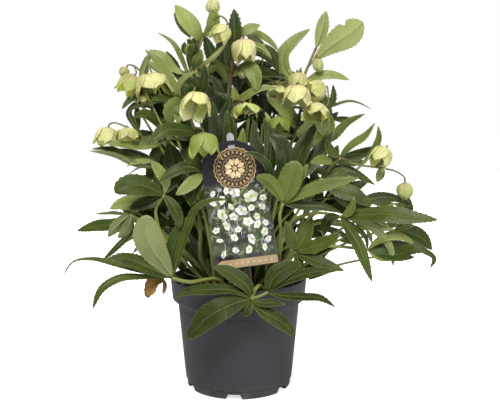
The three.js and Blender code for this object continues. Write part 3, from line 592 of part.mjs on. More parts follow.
// ---- the assembly ----
const COLOURS = {
  pot: [0x3c3e42, 0.55], soil: [0x241c15, 0.95], label_card: [0x4a4438, 0.3], label_stake: [0x9a9c9a, 0.3],
  leaf: [0x3f5a2a, 0.42], stem: [0x6d7a45, 0.5], flower: [0xc9cf95, 0.5], bud: [0xbcc68a, 0.5], withered_leaf: [0x6b4a26, 0.8],
};
function geometryOf(m) {
  const q = m.getMesh(), g = new THREE.BufferGeometry(), n = q.vertProperties.length / q.numProp;
  const pos = new Float32Array(n * 3);
  for (let i = 0; i < n; i++) for (let k = 0; k < 3; k++) pos[3 * i + k] = q.vertProperties[i * q.numProp + k];
  // only the outer skin is kept: a pocket closed in by crossing blades is filled
  const root = Array.from({ length: n }, (_, i) => i);
  const find = (i) => { while (root[i] !== i) { root[i] = root[root[i]]; i = root[i]; } return i; };
  const t = q.triVerts;
  for (let i = 0; i < t.length; i += 3) { root[find(t[i])] = find(t[i + 1]); root[find(t[i + 1])] = find(t[i + 2]); }
  const size = {};
  for (let i = 0; i < t.length; i += 3) {
    const [a, b, c] = [t[i], t[i + 1], t[i + 2]].map((k) => new THREE.Vector3(pos[3 * k], pos[3 * k + 1], pos[3 * k + 2]));
    const k = find(t[i]);
    size[k] = (size[k] || 0) + a.dot(b.cross(c));
  }
  const keep = Number(Object.keys(size).sort((a, b) => size[b] - size[a])[0]);
  const faces = [];
  for (let i = 0; i < t.length; i += 3) {
    if (find(t[i]) !== keep) continue;
    const [a, b, c] = [t[i], t[i + 1], t[i + 2]].map((k) => new THREE.Vector3(pos[3 * k], pos[3 * k + 1], pos[3 * k + 2]));
    faces.push([b.sub(a).cross(c.sub(a)).length(), t[i], t[i + 1], t[i + 2]]);
  }
  faces.sort((p, q) => q[0] - p[0]); // the largest faces come first
  const index = faces.flatMap((f) => f.slice(1));
  g.setAttribute('position', new THREE.BufferAttribute(pos, 3));
  g.setIndex(index);
  return mergeVertices(g, 1e-5);
}
const hellebore = new THREE.Group();
hellebore.name = 'hellebore_in_pot';
function place(name, manifold) {
  const [colour, roughness] = COLOURS[name] || COLOURS[name.split('_')[0]] || COLOURS.leaf;
  const mesh = new THREE.Mesh(geometryOf(manifold), new THREE.MeshStandardMaterial({ color: colour, roughness, metalness: 0 }));
  mesh.name = name;
  hellebore.add(mesh);
}
place('pot', largest(pot));
place('soil', soil);
place('label_stake', largest(stake));
place('label_card', largest(card));
for (const n of names) place(n, result[n].simplify(SIMPLIFY));

export default hellebore;
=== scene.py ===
import math
import random

import bmesh
import bpy
import numpy as np
from mathutils import Matrix, Vector


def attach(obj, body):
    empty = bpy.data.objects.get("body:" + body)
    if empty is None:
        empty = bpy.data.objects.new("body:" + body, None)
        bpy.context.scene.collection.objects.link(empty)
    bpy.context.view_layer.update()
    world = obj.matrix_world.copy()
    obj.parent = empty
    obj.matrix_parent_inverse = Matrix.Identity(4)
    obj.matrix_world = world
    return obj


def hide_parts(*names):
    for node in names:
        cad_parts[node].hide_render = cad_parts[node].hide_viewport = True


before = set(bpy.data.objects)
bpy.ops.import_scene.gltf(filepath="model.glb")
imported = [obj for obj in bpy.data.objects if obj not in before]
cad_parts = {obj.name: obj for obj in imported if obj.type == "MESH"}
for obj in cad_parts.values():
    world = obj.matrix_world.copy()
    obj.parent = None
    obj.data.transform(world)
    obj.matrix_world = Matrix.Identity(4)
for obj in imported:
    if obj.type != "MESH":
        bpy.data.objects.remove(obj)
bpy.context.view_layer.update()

MM = 0.001

# ---------------------------------------------------------------- the plant's tables, in millimetres
# leaves: node, kind, full width, share of the length where it is widest, fold in degrees, bluntness (less is blunter), upper face, teeth, midrib
LEAVES = [
    ("leaf_front","T",16.5,0.55,10,0.72,(-0.15,-0.6,0.78),1,[(15.3,-97,132),(-8.4,-101,143.5),(-31.1,-99,143),(-54.5,-90,139.6),(-75,-80,128.9)]),
    ("leaf_front","T",28.8,0.5,14,0.72,(-0.26,-0.85,0.46),1,[(15.3,-97,132),(-4.9,-106,128.6),(-19.5,-110,122.7),(-34.2,-108,112.9),(-47,-104,99),(-58.8,-100,87.2)]),
    ("leaf_front","T",16.8,0.6,10,0.72,(-0.32,-0.88,0.36),1,[(15.3,-97,132),(10.8,-103,124.3),(6.3,-104,114.1)]),
    ("leaf_front","T",12.7,0.5,10,0.72,(-0.03,-0.5,0.87),1,[(15.3,-97,132),(27.7,-104,129.2),(41.2,-106,129.7),(53.7,-104,128)]),
    ("leaf_front","T",17.4,0.55,10,0.72,(0.33,-0.81,0.49),1,[(15.3,-97,132),(27.7,-106,120.5),(42.4,-108,112.9),(54.9,-106,103.1),(65.4,-102,89)]),
    ("leaf_front","T",18.1,0.5,12,0.72,(0.23,-0.85,0.47),1,[(15.8,-96.3,133.2),(10.8,-100,147.9),(-1.6,-98,157.8),(-15.3,-94,165),(-28,-90,167.6)]),
    ("leaf_front","T",14.4,0.5,10,0.72,(-0.43,-0.64,0.64),1,[(34.8,-90,138.5),(59.5,-98,155.5),(81.4,-106,164.2),(96.7,-110,167.4),(111,-112,167.8)]),
    ("leaf_front","T",22.4,0.5,22,0.72,(-0.26,-0.9,0.36),1,[(34.8,-90,138.5),(40.4,-92,154.1),(52.9,-92,164.6),(72.4,-88,170.7)]),
    ("leaf_front","T",13.5,0.5,8,0.72,(-0.02,-0.5,0.87),1,[(33.6,-90.6,138),(53.9,-98,135.8),(76.1,-106,136.7),(92.6,-110,136.5),(109.4,-112,126.7)]),
    ("leaf_low_right","B",12.7,0.5,10,0.72,(-0.37,-0.64,0.67),1,[(152.7,-60,181.5),(163.6,-64,193),(176.5,-70,199.9),(189.6,-74,199.5),(202.9,-78,192)]),
    ("leaf_low_right","T",17.8,0.5,12,0.72,(-0.42,-0.7,0.58),1,[(152.7,-60,181.5),(171.4,-68,178.3),(187,-78,180.3),(199.1,-86,186.5),(213.9,-92,185.4)]),
    ("leaf_low_right","D",12.4,0.5,8,0.72,(0.09,-0.61,0.78),1,[(152.7,-60,181.5),(173.4,-55,185.3),(191.6,-52,187.2),(209.1,-48,182.8)]),
    ("leaf_low_right","B",9.8,0.5,10,0.72,(-0.13,-0.52,0.85),1,[(152.7,-60,181.5),(163.4,-68,174.8),(174.4,-72,173.2),(185.2,-76,175.2)]),
    ("leaf_low_right","T",12.2,0.5,10,0.72,(0.29,-0.68,0.68),1,[(149.9,-59.6,181.8),(133.5,-62,192.6),(119.5,-62,192.6)]),
    ("leaf_far_right","T",11.8,0.45,12,0.72,(0.26,-0.63,0.73),1,[(190,-25.9,199.6),(203.9,-37.4,188.1),(218.6,-48.5,179.3),(231.7,-55.2,169.8),(226.7,-57.6,159.4)]),
    ("leaf_far_right","D",22.5,0.5,10,0.72,(0.53,-0.83,0.15),1,[(190,-25.9,199.6),(210.8,-13.4,193.7),(229.2,-3.4,184.4),(241.9,1.7,169.6)]),
    ("leaf_far_right","D",12.7,0.5,10,0.72,(-0.5,-0.64,0.58),1,[(190,-25.9,199.6),(201.9,-19.7,209.6),(208.9,-13.1,223.5),(208.8,-5.1,238.5)]),
    ("leaf_far_right","T",11.8,0.5,10,0.72,(-0.06,-0.57,0.82),1,[(190,-25.9,199.6),(180.5,-32.8,193.4),(166.3,-39.5,188.5)]),
    ("leaf_far_right","T",11.7,0.5,10,0.72,(-0.66,-0.5,0.56),1,[(190,-25.9,199.6),(200,-36.4,206.2),(209.5,-42.8,207.2)]),
    ("leaf_far_right","U",12.7,0.5,10,0.72,(0.61,0.77,0.18),1,[(186.6,-24.8,199.6),(173.2,-16.8,205.5),(159.7,-7.3,213.9)]),
    ("leaf_right","T",15.4,0.5,8,0.72,(-0.03,-0.66,0.75),1,[(121,-55,219.9),(146.1,-50,235.8),(167.8,-46,242.5),(189.1,-46,240.1),(207.9,-48,230.8)]),
    ("leaf_right","T",21,0.5,10,0.72,(-0.34,-0.79,0.5),1,[(121,-55,219.9),(144.4,-64,223.6),(168.8,-78,226.9),(195.1,-90,225.2),(225,-98,223.1)]),
    ("leaf_right","B",11.3,0.5,10,0.72,(-0.77,-0.63,0.08),1,[(121,-55,219.9),(132.6,-64,231.9),(134.2,-68,245.2)]),
    ("leaf_right","T",16,0.45,12,0.72,(0.28,-0.82,0.5),1,[(121,-55,219.9),(129.6,-64,206),(138.1,-72,192.1),(145.4,-80,173.7),(154.2,-86,149.2)]),
    ("leaf_right","D",8.3,0.5,8,0.72,(0.5,-0.7,0.51),1,[(121,-55,219.9),(138.5,-58,207.3),(150.1,-60,195.8),(151.6,-60,180.3)]),
    ("leaf_right","U",11.4,0.5,8,0.72,(0.5,0.84,0.2),1,[(121,-55,219.9),(145.1,-60,214.8),(163.1,-66,204),(176.4,-72,187.4),(179.7,-76,164.6)]),
    ("leaf_right","D",13.6,0.5,10,0.72,(-0.16,-0.8,0.58),1,[(121,-55,219.9),(107.4,-62,219.8),(100.3,-66,199.2)]),
    ("leaf_small_right","T",14.7,0.5,12,0.72,(0.33,-0.94,0.1),1,[(67.5,-72,181.5),(60.4,-74,198.3),(55.7,-72,217.8)]),
    ("leaf_small_right","T",16,0.5,12,0.72,(-0.43,-0.89,0.18),1,[(67.5,-72,181.5),(77.7,-74,200.6),(85.7,-72,222.5)]),
    ("leaf_small_right","T",17.1,0.5,12,0.72,(-0.57,-0.75,0.33),1,[(67.5,-72,181.5),(88.7,-82,190.4),(102.7,-90,197.7),(116.7,-96,206.8)]),
    ("leaf_small_right","T",15,0.5,10,0.72,(-0.25,-0.71,0.66),1,[(66.9,-70.8,180.3),(86.4,-84,174.5),(102.8,-93,170.6),(120.2,-100,165.2)]),
    ("leaf_small_right","D",12.7,0.5,10,0.72,(0.31,-0.82,0.49),1,[(66.9,-70.8,180.3),(71.7,-82,164.7),(73.9,-86,151.6)]),
    ("leaf_label_right","M",27.9,0.6,16,0.5,(-0.35,-0.94,-0.01),1,[(51.8,-82,240.1),(57.1,-88,258),(61.4,-90,272.9),(67,-88,288.5)]),
    ("leaf_label_right","M",12.5,0.55,12,0.72,(-0.41,-0.86,0.31),1,[(51.8,-82,240.1),(68.6,-82,266.5),(79.9,-80,284.5)]),
    ("leaf_label_right","M",15.5,0.6,12,0.5,(0,0.92,0.39),1,[(51.8,-82,240.1),(43.5,-88,255.7),(34.4,-92,266.4),(20.9,-94,271.1)]),
    ("leaf_label_right","M",15.4,0.45,12,0.72,(-0.37,-0.81,0.44),1,[(51.8,-82,240.1),(76.1,-90,253.7),(103.4,-98,263.7),(134.8,-104,271)]),
    ("leaf_label_right","D",12.4,0.45,10,0.72,(-0.02,-0.73,0.68),1,[(51.8,-82,240.1),(74.3,-86,237.2),(95.5,-90,236.7),(116.8,-92,230.1)]),
    ("leaf_upper_right","T",11.4,0.5,10,0.72,(-0.29,-0.73,0.61),1,[(98.6,-50,265.4),(113.8,-50,270.1),(129.6,-55,274.1)]),
    ("leaf_upper_right","T",13.5,0.4,10,0.72,(-0.03,-0.82,0.58),1,[(98.6,-50,265.4),(119.8,-48,275.8),(137.9,-54,270.5),(159.7,-58,258.1)]),
    ("leaf_upper_right","T",21.1,0.5,10,0.72,(0.06,-0.91,0.41),1,[(98.6,-50,265.4),(117.6,-50,252.4),(134.6,-56,247.3),(155.3,-60,233.7)]),
    ("leaf_upper_right","D",15.1,0.5,10,0.72,(-0.27,-0.84,0.47),1,[(98.6,-50,265.4),(111.1,-40,285.8),(118.4,-36,303.2)]),
    ("leaf_upper_right","T",14.3,0.5,10,0.72,(-0.4,-0.84,0.36),1,[(98.6,-50,265.4),(87.1,-50,251.3),(78.7,-54,235.2)]),
    ("leaf_low_left","U",33.8,0.63,10,0.5,(-0.07,0.96,0.28),1,[(-76.6,-72,150.7),(-86,-80,169),(-96.3,-88,186.9),(-102.2,-93,205.1),(-101.4,-96,228.4)]),
    ("leaf_low_left","T",18.8,0.5,10,0.72,(0.47,-0.73,0.5),1,[(-76.6,-72,150.7),(-103.1,-82,165.9),(-117.9,-90,174.6),(-131.8,-95,179.1),(-147.1,-98,178.5)]),
    ("leaf_low_left","T",10.2,0.4,8,0.72,(-0.05,-0.39,0.92),1,[(-76.6,-72,150.7),(-107.9,-72,157.8),(-143,-70,166.9),(-170.4,-66,172),(-193.6,-62,167.6),(-206.3,-60,149.1)]),
    ("leaf_low_left","T",11.9,0.6,12,0.72,(-0.07,-0.63,0.78),1,[(-76.6,-72,150.7),(-107,-80,153.7),(-136.5,-90,153.6),(-152.8,-96,144.6),(-164.4,-98,120.6)]),
    ("leaf_low_left","T",12.5,0.4,20,0.72,(-0.53,-0.8,0.29),1,[(-76.6,-72,150.7),(-66.4,-78,182.6),(-56.6,-82,211.3),(-46,-84,234.7),(-28.9,-84,243.8),(-10.8,-82,243.6)]),
    ("leaf_low_left","D",19.9,0.5,12,0.72,(-0.25,-0.94,0.24),1,[(-76.6,-72,150.7),(-76.9,-66,175.5),(-69.9,-62,199.7),(-58.4,-58,220.4)]),
    ("withered_leaf","W",18.36,0.5,20,0.55,(-0.23,-0.78,0.58),1,[(-88.6,-58,146.3),(-95.2,-63,145),(-102,-66,137.3),(-106.6,-68,125.8)]),
    ("leaf_mid_left","T",25,0.62,10,0.5,(0.51,-0.77,0.38),1,[(-85.7,-62,246.8),(-100.3,-74,256.4),(-116,-84,261),(-128.7,-90,259.4),(-137.3,-93,252.9)]),
    ("leaf_mid_left","D",15.4,0.6,10,0.55,(-0.09,-0.86,0.5),1,[(-85.7,-62,246.8),(-105.3,-64,238.9),(-124.8,-66,232.1)]),
    ("leaf_mid_left","B",18.6,0.55,14,0.72,(0.08,-0.88,0.46),1,[(-93.9,-59.3,234.7),(-102.9,-55,240.1),(-120.1,-58,236.9),(-134.6,-62,236.3),(-148.4,-64,230.7)]),
    ("leaf_mid_left","B",14.7,0.55,14,0.72,(0.49,-0.86,0.1),1,[(-85.7,-62,246.8),(-83.4,-60,259.5),(-90.8,-64,275),(-99.6,-66,286.7)]),
    ("leaf_mid_left","D",27.1,0.55,8,0.72,(-0.22,-0.96,0.17),1,[(-85.7,-62,246.8),(-74.8,-50,280.7),(-81.8,-46,306.2)]),
    ("leaf_mid_left","T",15.4,0.5,12,0.72,(0.45,-0.83,0.34),1,[(-85.7,-62,246.8),(-71.6,-66,227.5),(-67,-68,209)]),
    ("leaf_far_left","U",15.9,0.5,10,0.72,(-0.53,0.84,0.07),1,[(-131.3,-23.5,217.6),(-140.9,-32.7,210.5),(-156.1,-37.9,193.1)]),
    ("leaf_far_left","U",15.9,0.5,10,0.72,(-0.59,0.8,-0.07),1,[(-129.2,-22.6,216.3),(-131.4,-32.9,205.6),(-144.1,-37.9,191.9)]),
    ("leaf_far_left","T",15.6,0.5,10,0.72,(-0.38,-0.82,0.42),1,[(-131.3,-23.5,217.6),(-154.4,-17.7,205.6),(-176.9,-9.3,201.8),(-200.5,-3.3,194.5)]),
    ("leaf_far_left","T",7.7,0.5,8,0.72,(-0.26,-0.44,0.86),1,[(-131.3,-23.5,217.6),(-155.8,-8.1,217.8),(-178.8,2.8,214.9)]),
    ("leaf_far_left","D",9.5,0.5,8,0.72,(-0.3,-0.79,0.53),1,[(-129.2,-22.6,216.3),(-129.4,-31.1,199.2),(-143.9,-40.4,182.6),(-162.6,-45.3,165.3)]),
    ("leaf_far_left","D",16.2,0.5,10,0.72,(-0.03,-0.8,0.59),1,[(-129.2,-22.6,216.3),(-120.2,-13.5,234.6),(-109.1,-3.9,243.3)]),
    ("leaf_upper_left","T",10.2,0.5,8,0.72,(0.25,-0.63,0.74),1,[(-97.7,-12.2,278.6),(-130.9,-17,288.8),(-154.6,-18.6,297.3),(-175.9,-21,297.5)]),
    ("leaf_upper_left","U",9.3,0.5,8,0.72,(0.08,0.78,0.62),1,[(-94,-9.7,273.9),(-124.6,-20.3,279.3),(-147.9,-24,290.5),(-177.4,-25.9,295.4)]),
    ("leaf_upper_left","B",7.9,0.5,8,0.72,(0.21,-0.66,0.72),1,[(-97.7,-12.2,278.6),(-118.5,-19.9,282.9),(-133.6,-25.1,277.3)]),
    ("leaf_upper_left","D",10.5,0.5,8,0.72,(0.03,-0.72,0.69),1,[(-97.7,-12.2,278.6),(-120.4,-5.2,289.1),(-148.4,2.6,295.9)]),
    ("leaf_upper_left","D",18.1,0.5,8,0.72,(-0.2,-0.93,0.31),1,[(-95.9,-11,276.3),(-95,-17.7,257.2),(-104.5,-21.5,240.6)]),
    ("leaf_label_left","T",14.6,0.5,10,0.72,(0.18,-0.77,0.62),1,[(-39.7,-50,272.5),(-59.9,-60,279.3),(-75.7,-66,272.9),(-90.4,-70,262.9)]),
    ("leaf_label_left","B",16,0.5,14,0.72,(0.04,-0.85,0.52),1,[(-39.7,-50,272.5),(-54.2,-62,259.7),(-71.2,-68,247.6)]),
    ("leaf_label_left","D",14.9,0.5,10,0.72,(-0.2,-0.91,0.36),1,[(-38.6,-49.4,269.9),(-48.9,-56,252),(-55.7,-60,233.7)]),
    ("leaf_label_left","T",15.5,0.5,10,0.72,(0.35,-0.86,0.38),1,[(-39.7,-50,272.5),(-55.9,-50,288.9),(-67.7,-48,298.1)]),
    ("leaf_centre_right","D",15,0.5,12,0.72,(0.34,-0.94,0.08),1,[(35.6,-40,256),(28.3,-44,286.1),(20.1,-44,309.6),(18.9,-40,332.8)]),
    ("leaf_centre_right","D",16.3,0.5,12,0.72,(0.32,-0.95,0.07),1,[(35.6,-40,256),(37.7,-44,283.7),(37.7,-42,309.5),(30.7,-36,335.1)]),
    ("leaf_centre_right","D",23.4,0.55,12,0.72,(0.27,-0.96,0.01),1,[(35.6,-40,256),(55.3,-46,280.4),(52.9,-46,300.3),(34.2,-40,315.3)]),
    ("leaf_centre_right","D",22.2,0.5,12,0.72,(-0.31,-0.92,0.24),1,[(35.9,-40.6,255.9),(63.6,-46,276.8),(77.5,-46,302.7),(92.9,-40,331.7)]),
    ("leaf_centre_right","D",21.4,0.5,12,0.72,(-0.23,-0.89,0.38),1,[(36.2,-41.2,255.9),(73.2,-44,271.9),(96.8,-40,295.2),(112.6,-32,320.8)]),
    ("leaf_centre_right","D",9.5,0.5,12,0.72,(0.47,-0.87,0.13),1,[(37.5,-58,259.2),(37.2,-66,274),(26.8,-70,290.5),(8.5,-68,297.2)]),
    ("leaf_centre_left","D",16.3,0.5,12,0.72,(0.38,-0.92,0.1),1,[(-16.7,-36,285.4),(-24.8,-38,309.3),(-28.2,-38,332.8),(-29.4,-34,353.8)]),
    ("leaf_centre_left","T",16.2,0.5,14,0.72,(-0.32,-0.95,-0.02),1,[(-16.7,-36,285.4),(-9.3,-42,307.1),(-9.3,-42,325.9),(-12.8,-38,344.5)]),
    ("leaf_centre_left","B",13.7,0.5,16,0.72,(-0.38,-0.92,0.06),1,[(-16.7,-36,285.4),(2.5,-44,302.6),(6,-42,323.6)]),
    ("leaf_centre_left","D",16.4,0.5,12,0.72,(0.2,-0.9,0.39),1,[(-16.7,-36,285.4),(-45.1,-34,299.6),(-57.3,-28,320.6)]),
    ("leaf_centre_left","D",11.9,0.5,12,0.72,(0.41,-0.87,0.28),1,[(-16.7,-36,285.4),(-19.2,-24,332.3),(-10.9,-18,356),(-29,-14,365.5)]),
    ("stem_left","T",8.7,0.6,10,0.72,(0.31,-0.72,0.62),1,[(-114,50.1,358.3),(-125.9,35.4,360.6),(-136.3,28.8,355.6),(-145.8,23.9,344.5)]),
    ("stem_left","T",9,0.4,10,0.72,(-0.42,-0.69,0.59),1,[(-111.4,46.3,344.5),(-128.7,36.5,351.8),(-137.9,28.6,340.6),(-131,23,325.8),(-116.8,16,303.7)]),
    ("stem_left","T",15,0.5,12,0.72,(0.63,-0.73,0.27),1,[(-99,34.8,315.7),(-104.5,21.2,330.9),(-117.2,14.4,338.5),(-130,8.1,333.8)]),
    ("stem_left","T",12.9,0.5,12,0.72,(0.51,-0.74,0.43),1,[(-105.3,40,327.6),(-79.3,34.1,340.5),(-90.9,25.8,354.4),(-101.5,20.6,356.9),(-111.1,16,347.1)]),
    ("stem_left","B",11,0.5,12,0.72,(0.54,-0.64,0.55),1,[(-96.3,24.1,302.1),(-113.4,-10.9,300.5),(-135.3,-26.4,302.6),(-164.4,-36.3,308)]),
    ("stem_left","Y",12.7,0.5,14,0.72,(0.44,-0.83,0.35),1,[(-114.8,49.3,359.3),(-127.5,48.9,370.7),(-126.8,55.1,385.9)]),
    ("stem_left","B",18.7,0.5,12,0.72,(0.38,-0.91,0.17),1,[(-113.8,48.6,362.9),(-82.2,41.1,360.6),(-89.1,36.6,380.6),(-100,35,401.6),(-117.5,37,417.8)]),
    ("stem_left_centre","B",16.5,0.55,14,0.72,(-0.33,-0.94,-0.12),1,[(-40,-41.9,428.9),(-29.5,-47,438.3),(-27,-49.6,449.3),(-29.2,-49.6,461.6)]),
    ("stem_left_centre","M",7.4,0.5,12,0.72,(0.55,-0.73,0.39),1,[(-55.7,-39.2,375.2),(-63.3,-45.8,399.8),(-76.1,-41.8,422.8),(-92.7,-36.6,433.4)]),
    ("stem_left_centre","D",11.7,0.5,12,0.72,(0.32,-0.86,0.39),1,[(-56.4,-39.2,369.7),(-70.8,-28.4,386.5),(-76.8,-25.1,400.6),(-85,-23.6,413.5)]),
    ("stem_left_centre","M",13.4,0.55,12,0.72,(-0.21,0.77,0.6),1,[(-52.5,-40.2,391.6),(-45.4,-53.9,401.8),(-41.7,-57.4,414)]),
    ("stem_left_centre","U",7,0.5,10,0.72,(-0.24,0.75,0.61),1,[(-52.5,-40.2,391.6),(-31.9,-48.7,402),(-12.1,-52.2,422.2)]),
    ("stem_left_centre","B",7.7,0.45,14,0.72,(-0.59,-0.76,-0.27),1,[(-57.6,-39.7,358.5),(-69.1,-50,362),(-65,-56.4,377.9),(-46.4,-58.3,389.2)]),
    ("stem_left_centre","D",13.5,0.5,12,0.72,(-0.41,-0.86,-0.3),1,[(-57.6,-39.7,358.5),(-39.9,-54.2,372.2),(-38.2,-59.8,398.2)]),
    ("stem_left_centre","D",14.8,0.5,12,0.72,(0.44,-0.88,-0.17),1,[(-57.9,-39.9,352.9),(-51.8,-49,371.2),(-59.8,-48.6,384.9)]),
    ("stem_left_centre","M",20.6,0.55,12,0.72,(0.18,-0.84,0.52),1,[(-57.8,-39.9,347.4),(-66.7,-53.3,351.7),(-75.6,-57.1,344.9),(-77,-56.7,327.6)]),
    ("stem_left_centre","B",14.6,0.55,12,0.72,(0.29,-0.64,0.71),1,[(-57.4,-39.6,341.9),(-66.7,-54.3,342.5),(-68.7,-59.3,328.9)]),
    ("stem_left_centre","Y",10.4,0.55,12,0.72,(0.21,-0.89,0.4),1,[(-53.7,-39.8,386.2),(-72.8,-31.6,391.1),(-86.7,-31.2,407.3),(-104.5,-28.8,414.4)]),
    ("stem_left_centre","Y",20.7,0.5,10,0.72,(0.31,-0.94,0.17),1,[(-42.3,-41.7,423.3),(-48.8,-49.6,435.9),(-59,-49.6,448.2),(-71.7,-47,464.2)]),
    ("stem_left_centre","T",18.5,0.5,12,0.72,(0.56,-0.68,0.48),1,[(-49.2,-39.4,319.2),(-62.5,-65.3,322.2),(-80.3,-82.1,323),(-100.8,-90.6,306.7)]),
    ("stem_centre","B",13.3,0.55,14,0.72,(-0.26,-0.93,0.26),1,[(-2.2,8.1,431.5),(10.6,2.8,439.8),(26.3,6,446)]),
    ("stem_centre","B",10.5,0.5,12,0.72,(0.25,-0.85,0.46),1,[(-2.9,9.2,430.8),(20.3,15.6,437.2),(36.4,18.8,429),(50,18.8,414.4)]),
    ("stem_centre","U",11.3,0.5,12,0.72,(0.27,0.83,0.48),1,[(-5.4,9.2,425.9),(2,12.4,421.3),(24,9.2,420),(41.1,8.9,405.5)]),
    ("stem_centre","D",9.1,0.5,12,0.72,(0.43,-0.82,0.38),1,[(-9.1,9.2,415.9),(1.9,15.6,414.3),(26.6,25.2,412.3),(50.4,29.4,389.1)]),
    ("stem_centre","U",8.9,0.5,10,0.72,(-0.3,0.8,0.52),1,[(-9.1,7.4,383.6),(4.5,1.7,392),(17.8,2.5,405.2)]),
    ("stem_centre","M",8.9,0.5,10,0.72,(0.25,0.81,0.54),1,[(-8.3,7.7,388.9),(-22.3,2,396.8),(-35.6,2.6,406.4)]),
    ("stem_centre","M",10.4,0.5,10,0.72,(-0.06,0.76,0.64),1,[(-11.1,6.6,373),(-27,-1.3,394.3),(-42.6,-5,383.5)]),
    ("stem_centre","D",10.7,0.5,12,0.72,(0.49,-0.87,0.01),1,[(-14.9,4.8,346.3),(-22.2,-2.9,365.5),(-32.9,-4.9,385.9)]),
    ("stem_centre","Y",11.6,0.55,14,0.72,(-0.38,-0.9,-0.21),1,[(-14.5,2.8,342.7),(-3.9,-9.4,355.9),(-6.3,-8.6,372.7)]),
    ("stem_centre","B",18.5,0.6,12,0.72,(-0.3,-0.8,0.52),1,[(-8.3,7.7,388.9),(14.2,-13.8,393.9),(21.3,-20.5,379.6),(20.2,-21,365.5)]),
    ("stem_centre","D",12.1,0.55,10,0.72,(-0.08,-0.91,0.41),1,[(-8.3,7.7,388.9),(11.8,7.8,389.8),(25.2,12,405.6)]),
    ("stem_centre","B",11.6,0.5,14,0.72,(-0.5,-0.77,0.4),1,[(-15.4,4.4,340.9),(5.8,-12.2,358.3),(28.5,-20.8,370.2),(46.4,-20.8,370.2)]),
    ("stem_centre","D",11.1,0.5,16,0.72,(-0.6,-0.73,0.34),1,[(-15.8,3.7,330.2),(5.8,-19,334.6),(29.6,-27.4,345.4)]),
    ("stem_centre","T",15.4,0.5,12,0.72,(0.61,-0.6,0.53),1,[(-15.7,4.1,335.6),(-31.6,-12.7,346.4),(-38.3,-24.8,330)]),
    ("bract_toothed","T",17.7,0.55,10,0.72,(-0.29,-0.96,-0.03),2,[(-9,5.6,404.2),(-5.1,-0.4,425.4),(-3.9,-0.4,444.3),(-5.1,2.8,464.7)]),
    ("stem_right","B",12.9,0.5,12,0.72,(-0.25,-0.85,0.47),1,[(80,33.3,375),(98.7,22.8,385.3),(117,20.1,386.4),(136.8,19.2,380.3)]),
    ("stem_right","D",10.1,0.5,10,0.72,(-0.45,-0.81,0.39),2,[(99.5,26.8,340.7),(115.6,25.7,350.7),(118.5,32.6,374.3)]),
    ("stem_right","B",25.5,0.6,14,0.72,(-0.78,-0.6,0.17),1,[(75.8,31.6,332.1),(99.6,-5,309.8),(111.1,-11.4,322.3),(107.4,-8.8,342.7)]),
    ("stem_right","M",13,0.5,10,0.72,(-0.09,0.94,0.34),1,[(70.2,30.8,311.3),(90,28.9,305.5),(114.4,21.4,308.4),(136.8,22,328.4),(158.1,23.7,338.3)]),
    ("stem_right","T",6.3,0.5,8,0.72,(-0.03,-0.48,0.88),1,[(91.7,28.3,339.7),(117.1,28.1,348.1),(140.1,32,354.3),(167.2,35.8,344.3)]),
    ("stem_right","B",19.5,0.5,14,0.72,(0.54,-0.84,-0.01),1,[(73.3,31.3,321.6),(63.4,6.9,336.2),(50.8,0.3,348.6),(34.9,-1.3,357.1)]),
    ("stem_right","U",13.5,0.5,12,0.72,(-0.08,0.78,0.62),1,[(70.2,30.8,311.3),(46,-1.3,317),(32.5,-3.4,341.4)]),
    ("stem_right","D",16.7,0.5,12,0.72,(0.23,-0.91,0.35),1,[(70.8,29.2,317.9),(51.9,30,343.1),(26.8,32.2,355.6)]),
    ("stem_right","B",9.1,0.5,12,0.72,(0.62,-0.76,0.19),1,[(80.8,33.6,380.3),(71.2,19.9,385.2),(61.2,18.2,392.5)]),
    ("stem_right","B",7.6,0.5,12,0.72,(0.63,-0.7,-0.34),1,[(80.8,33.6,380.5),(76.3,23.2,387.7),(77.4,21.7,396.3)]),
    ("stem_right","D",16.8,0.5,10,0.72,(0.12,-0.85,0.51),1,[(75.8,31.6,332.1),(105.7,37.8,325.3),(126.7,46.1,340.3)]),
    ("stem_right","T",18.2,0.5,12,0.72,(0.16,-0.64,0.75),1,[(74.6,31.4,326.8),(82.7,-2.7,307.3),(79.8,-13,288.4)]),
    ("stem_right","B",18.1,0.5,12,0.72,(-0.43,-0.88,0.21),1,[(80,33.3,375),(58.4,41.6,393.2),(56,45,412),(67.2,45,426.9),(90,48,444.5)]),
    ("stem_right","U",17.4,0.55,12,0.72,(-0.32,0.94,-0.1),1,[(96.9,36,420.2),(103.7,45,438.1),(110,48,466.8)]),
    ("bract_right_broad","U",34.3,0.72,10,0.58,(-0.04,0.96,0.28),1,[(88,30.7,397.8),(102,21,412.1),(119.7,15,426.3),(136.7,15,437.2),(152.8,18,450.6)]),
    ("stem_far_right","M",11.2,0.45,16,0.72,(-0.64,-0.7,0.32),1,[(118.9,-55,290.5),(131.4,-64.6,305),(144.4,-68.7,314.4),(156.2,-71.9,330.5)]),
    ("stem_far_right","M",9.3,0.55,14,0.72,(-0.63,-0.76,0.14),1,[(141.9,-58.8,281.2),(157.3,-61.1,299),(162.4,-63.7,313),(160.5,-66.4,326.9)]),
    ("stem_far_right","D",14.8,0.5,12,0.72,(-0.19,-0.8,0.56),1,[(118.9,-55,290.5),(137.4,-55.2,291.7),(157,-54.7,302.1)]),
    ("stem_far_right","T",6.3,0.5,10,0.72,(-0.03,-0.56,0.82),1,[(118.9,-55,290.5),(148.3,-51.5,297.2),(174.6,-47.2,299.3)]),
    ("stem_far_right","T",11.5,0.5,12,0.72,(0.47,-0.88,-0.01),1,[(118.9,-55,290.5),(106.5,-61.1,299),(101.5,-63.7,313)]),
    ("stem_far_right","M",12.7,0.5,12,0.72,(0.46,-0.76,0.46),1,[(112.2,-51.5,282.7),(97.2,-63.6,287.7),(83.1,-67.6,284.6)]),
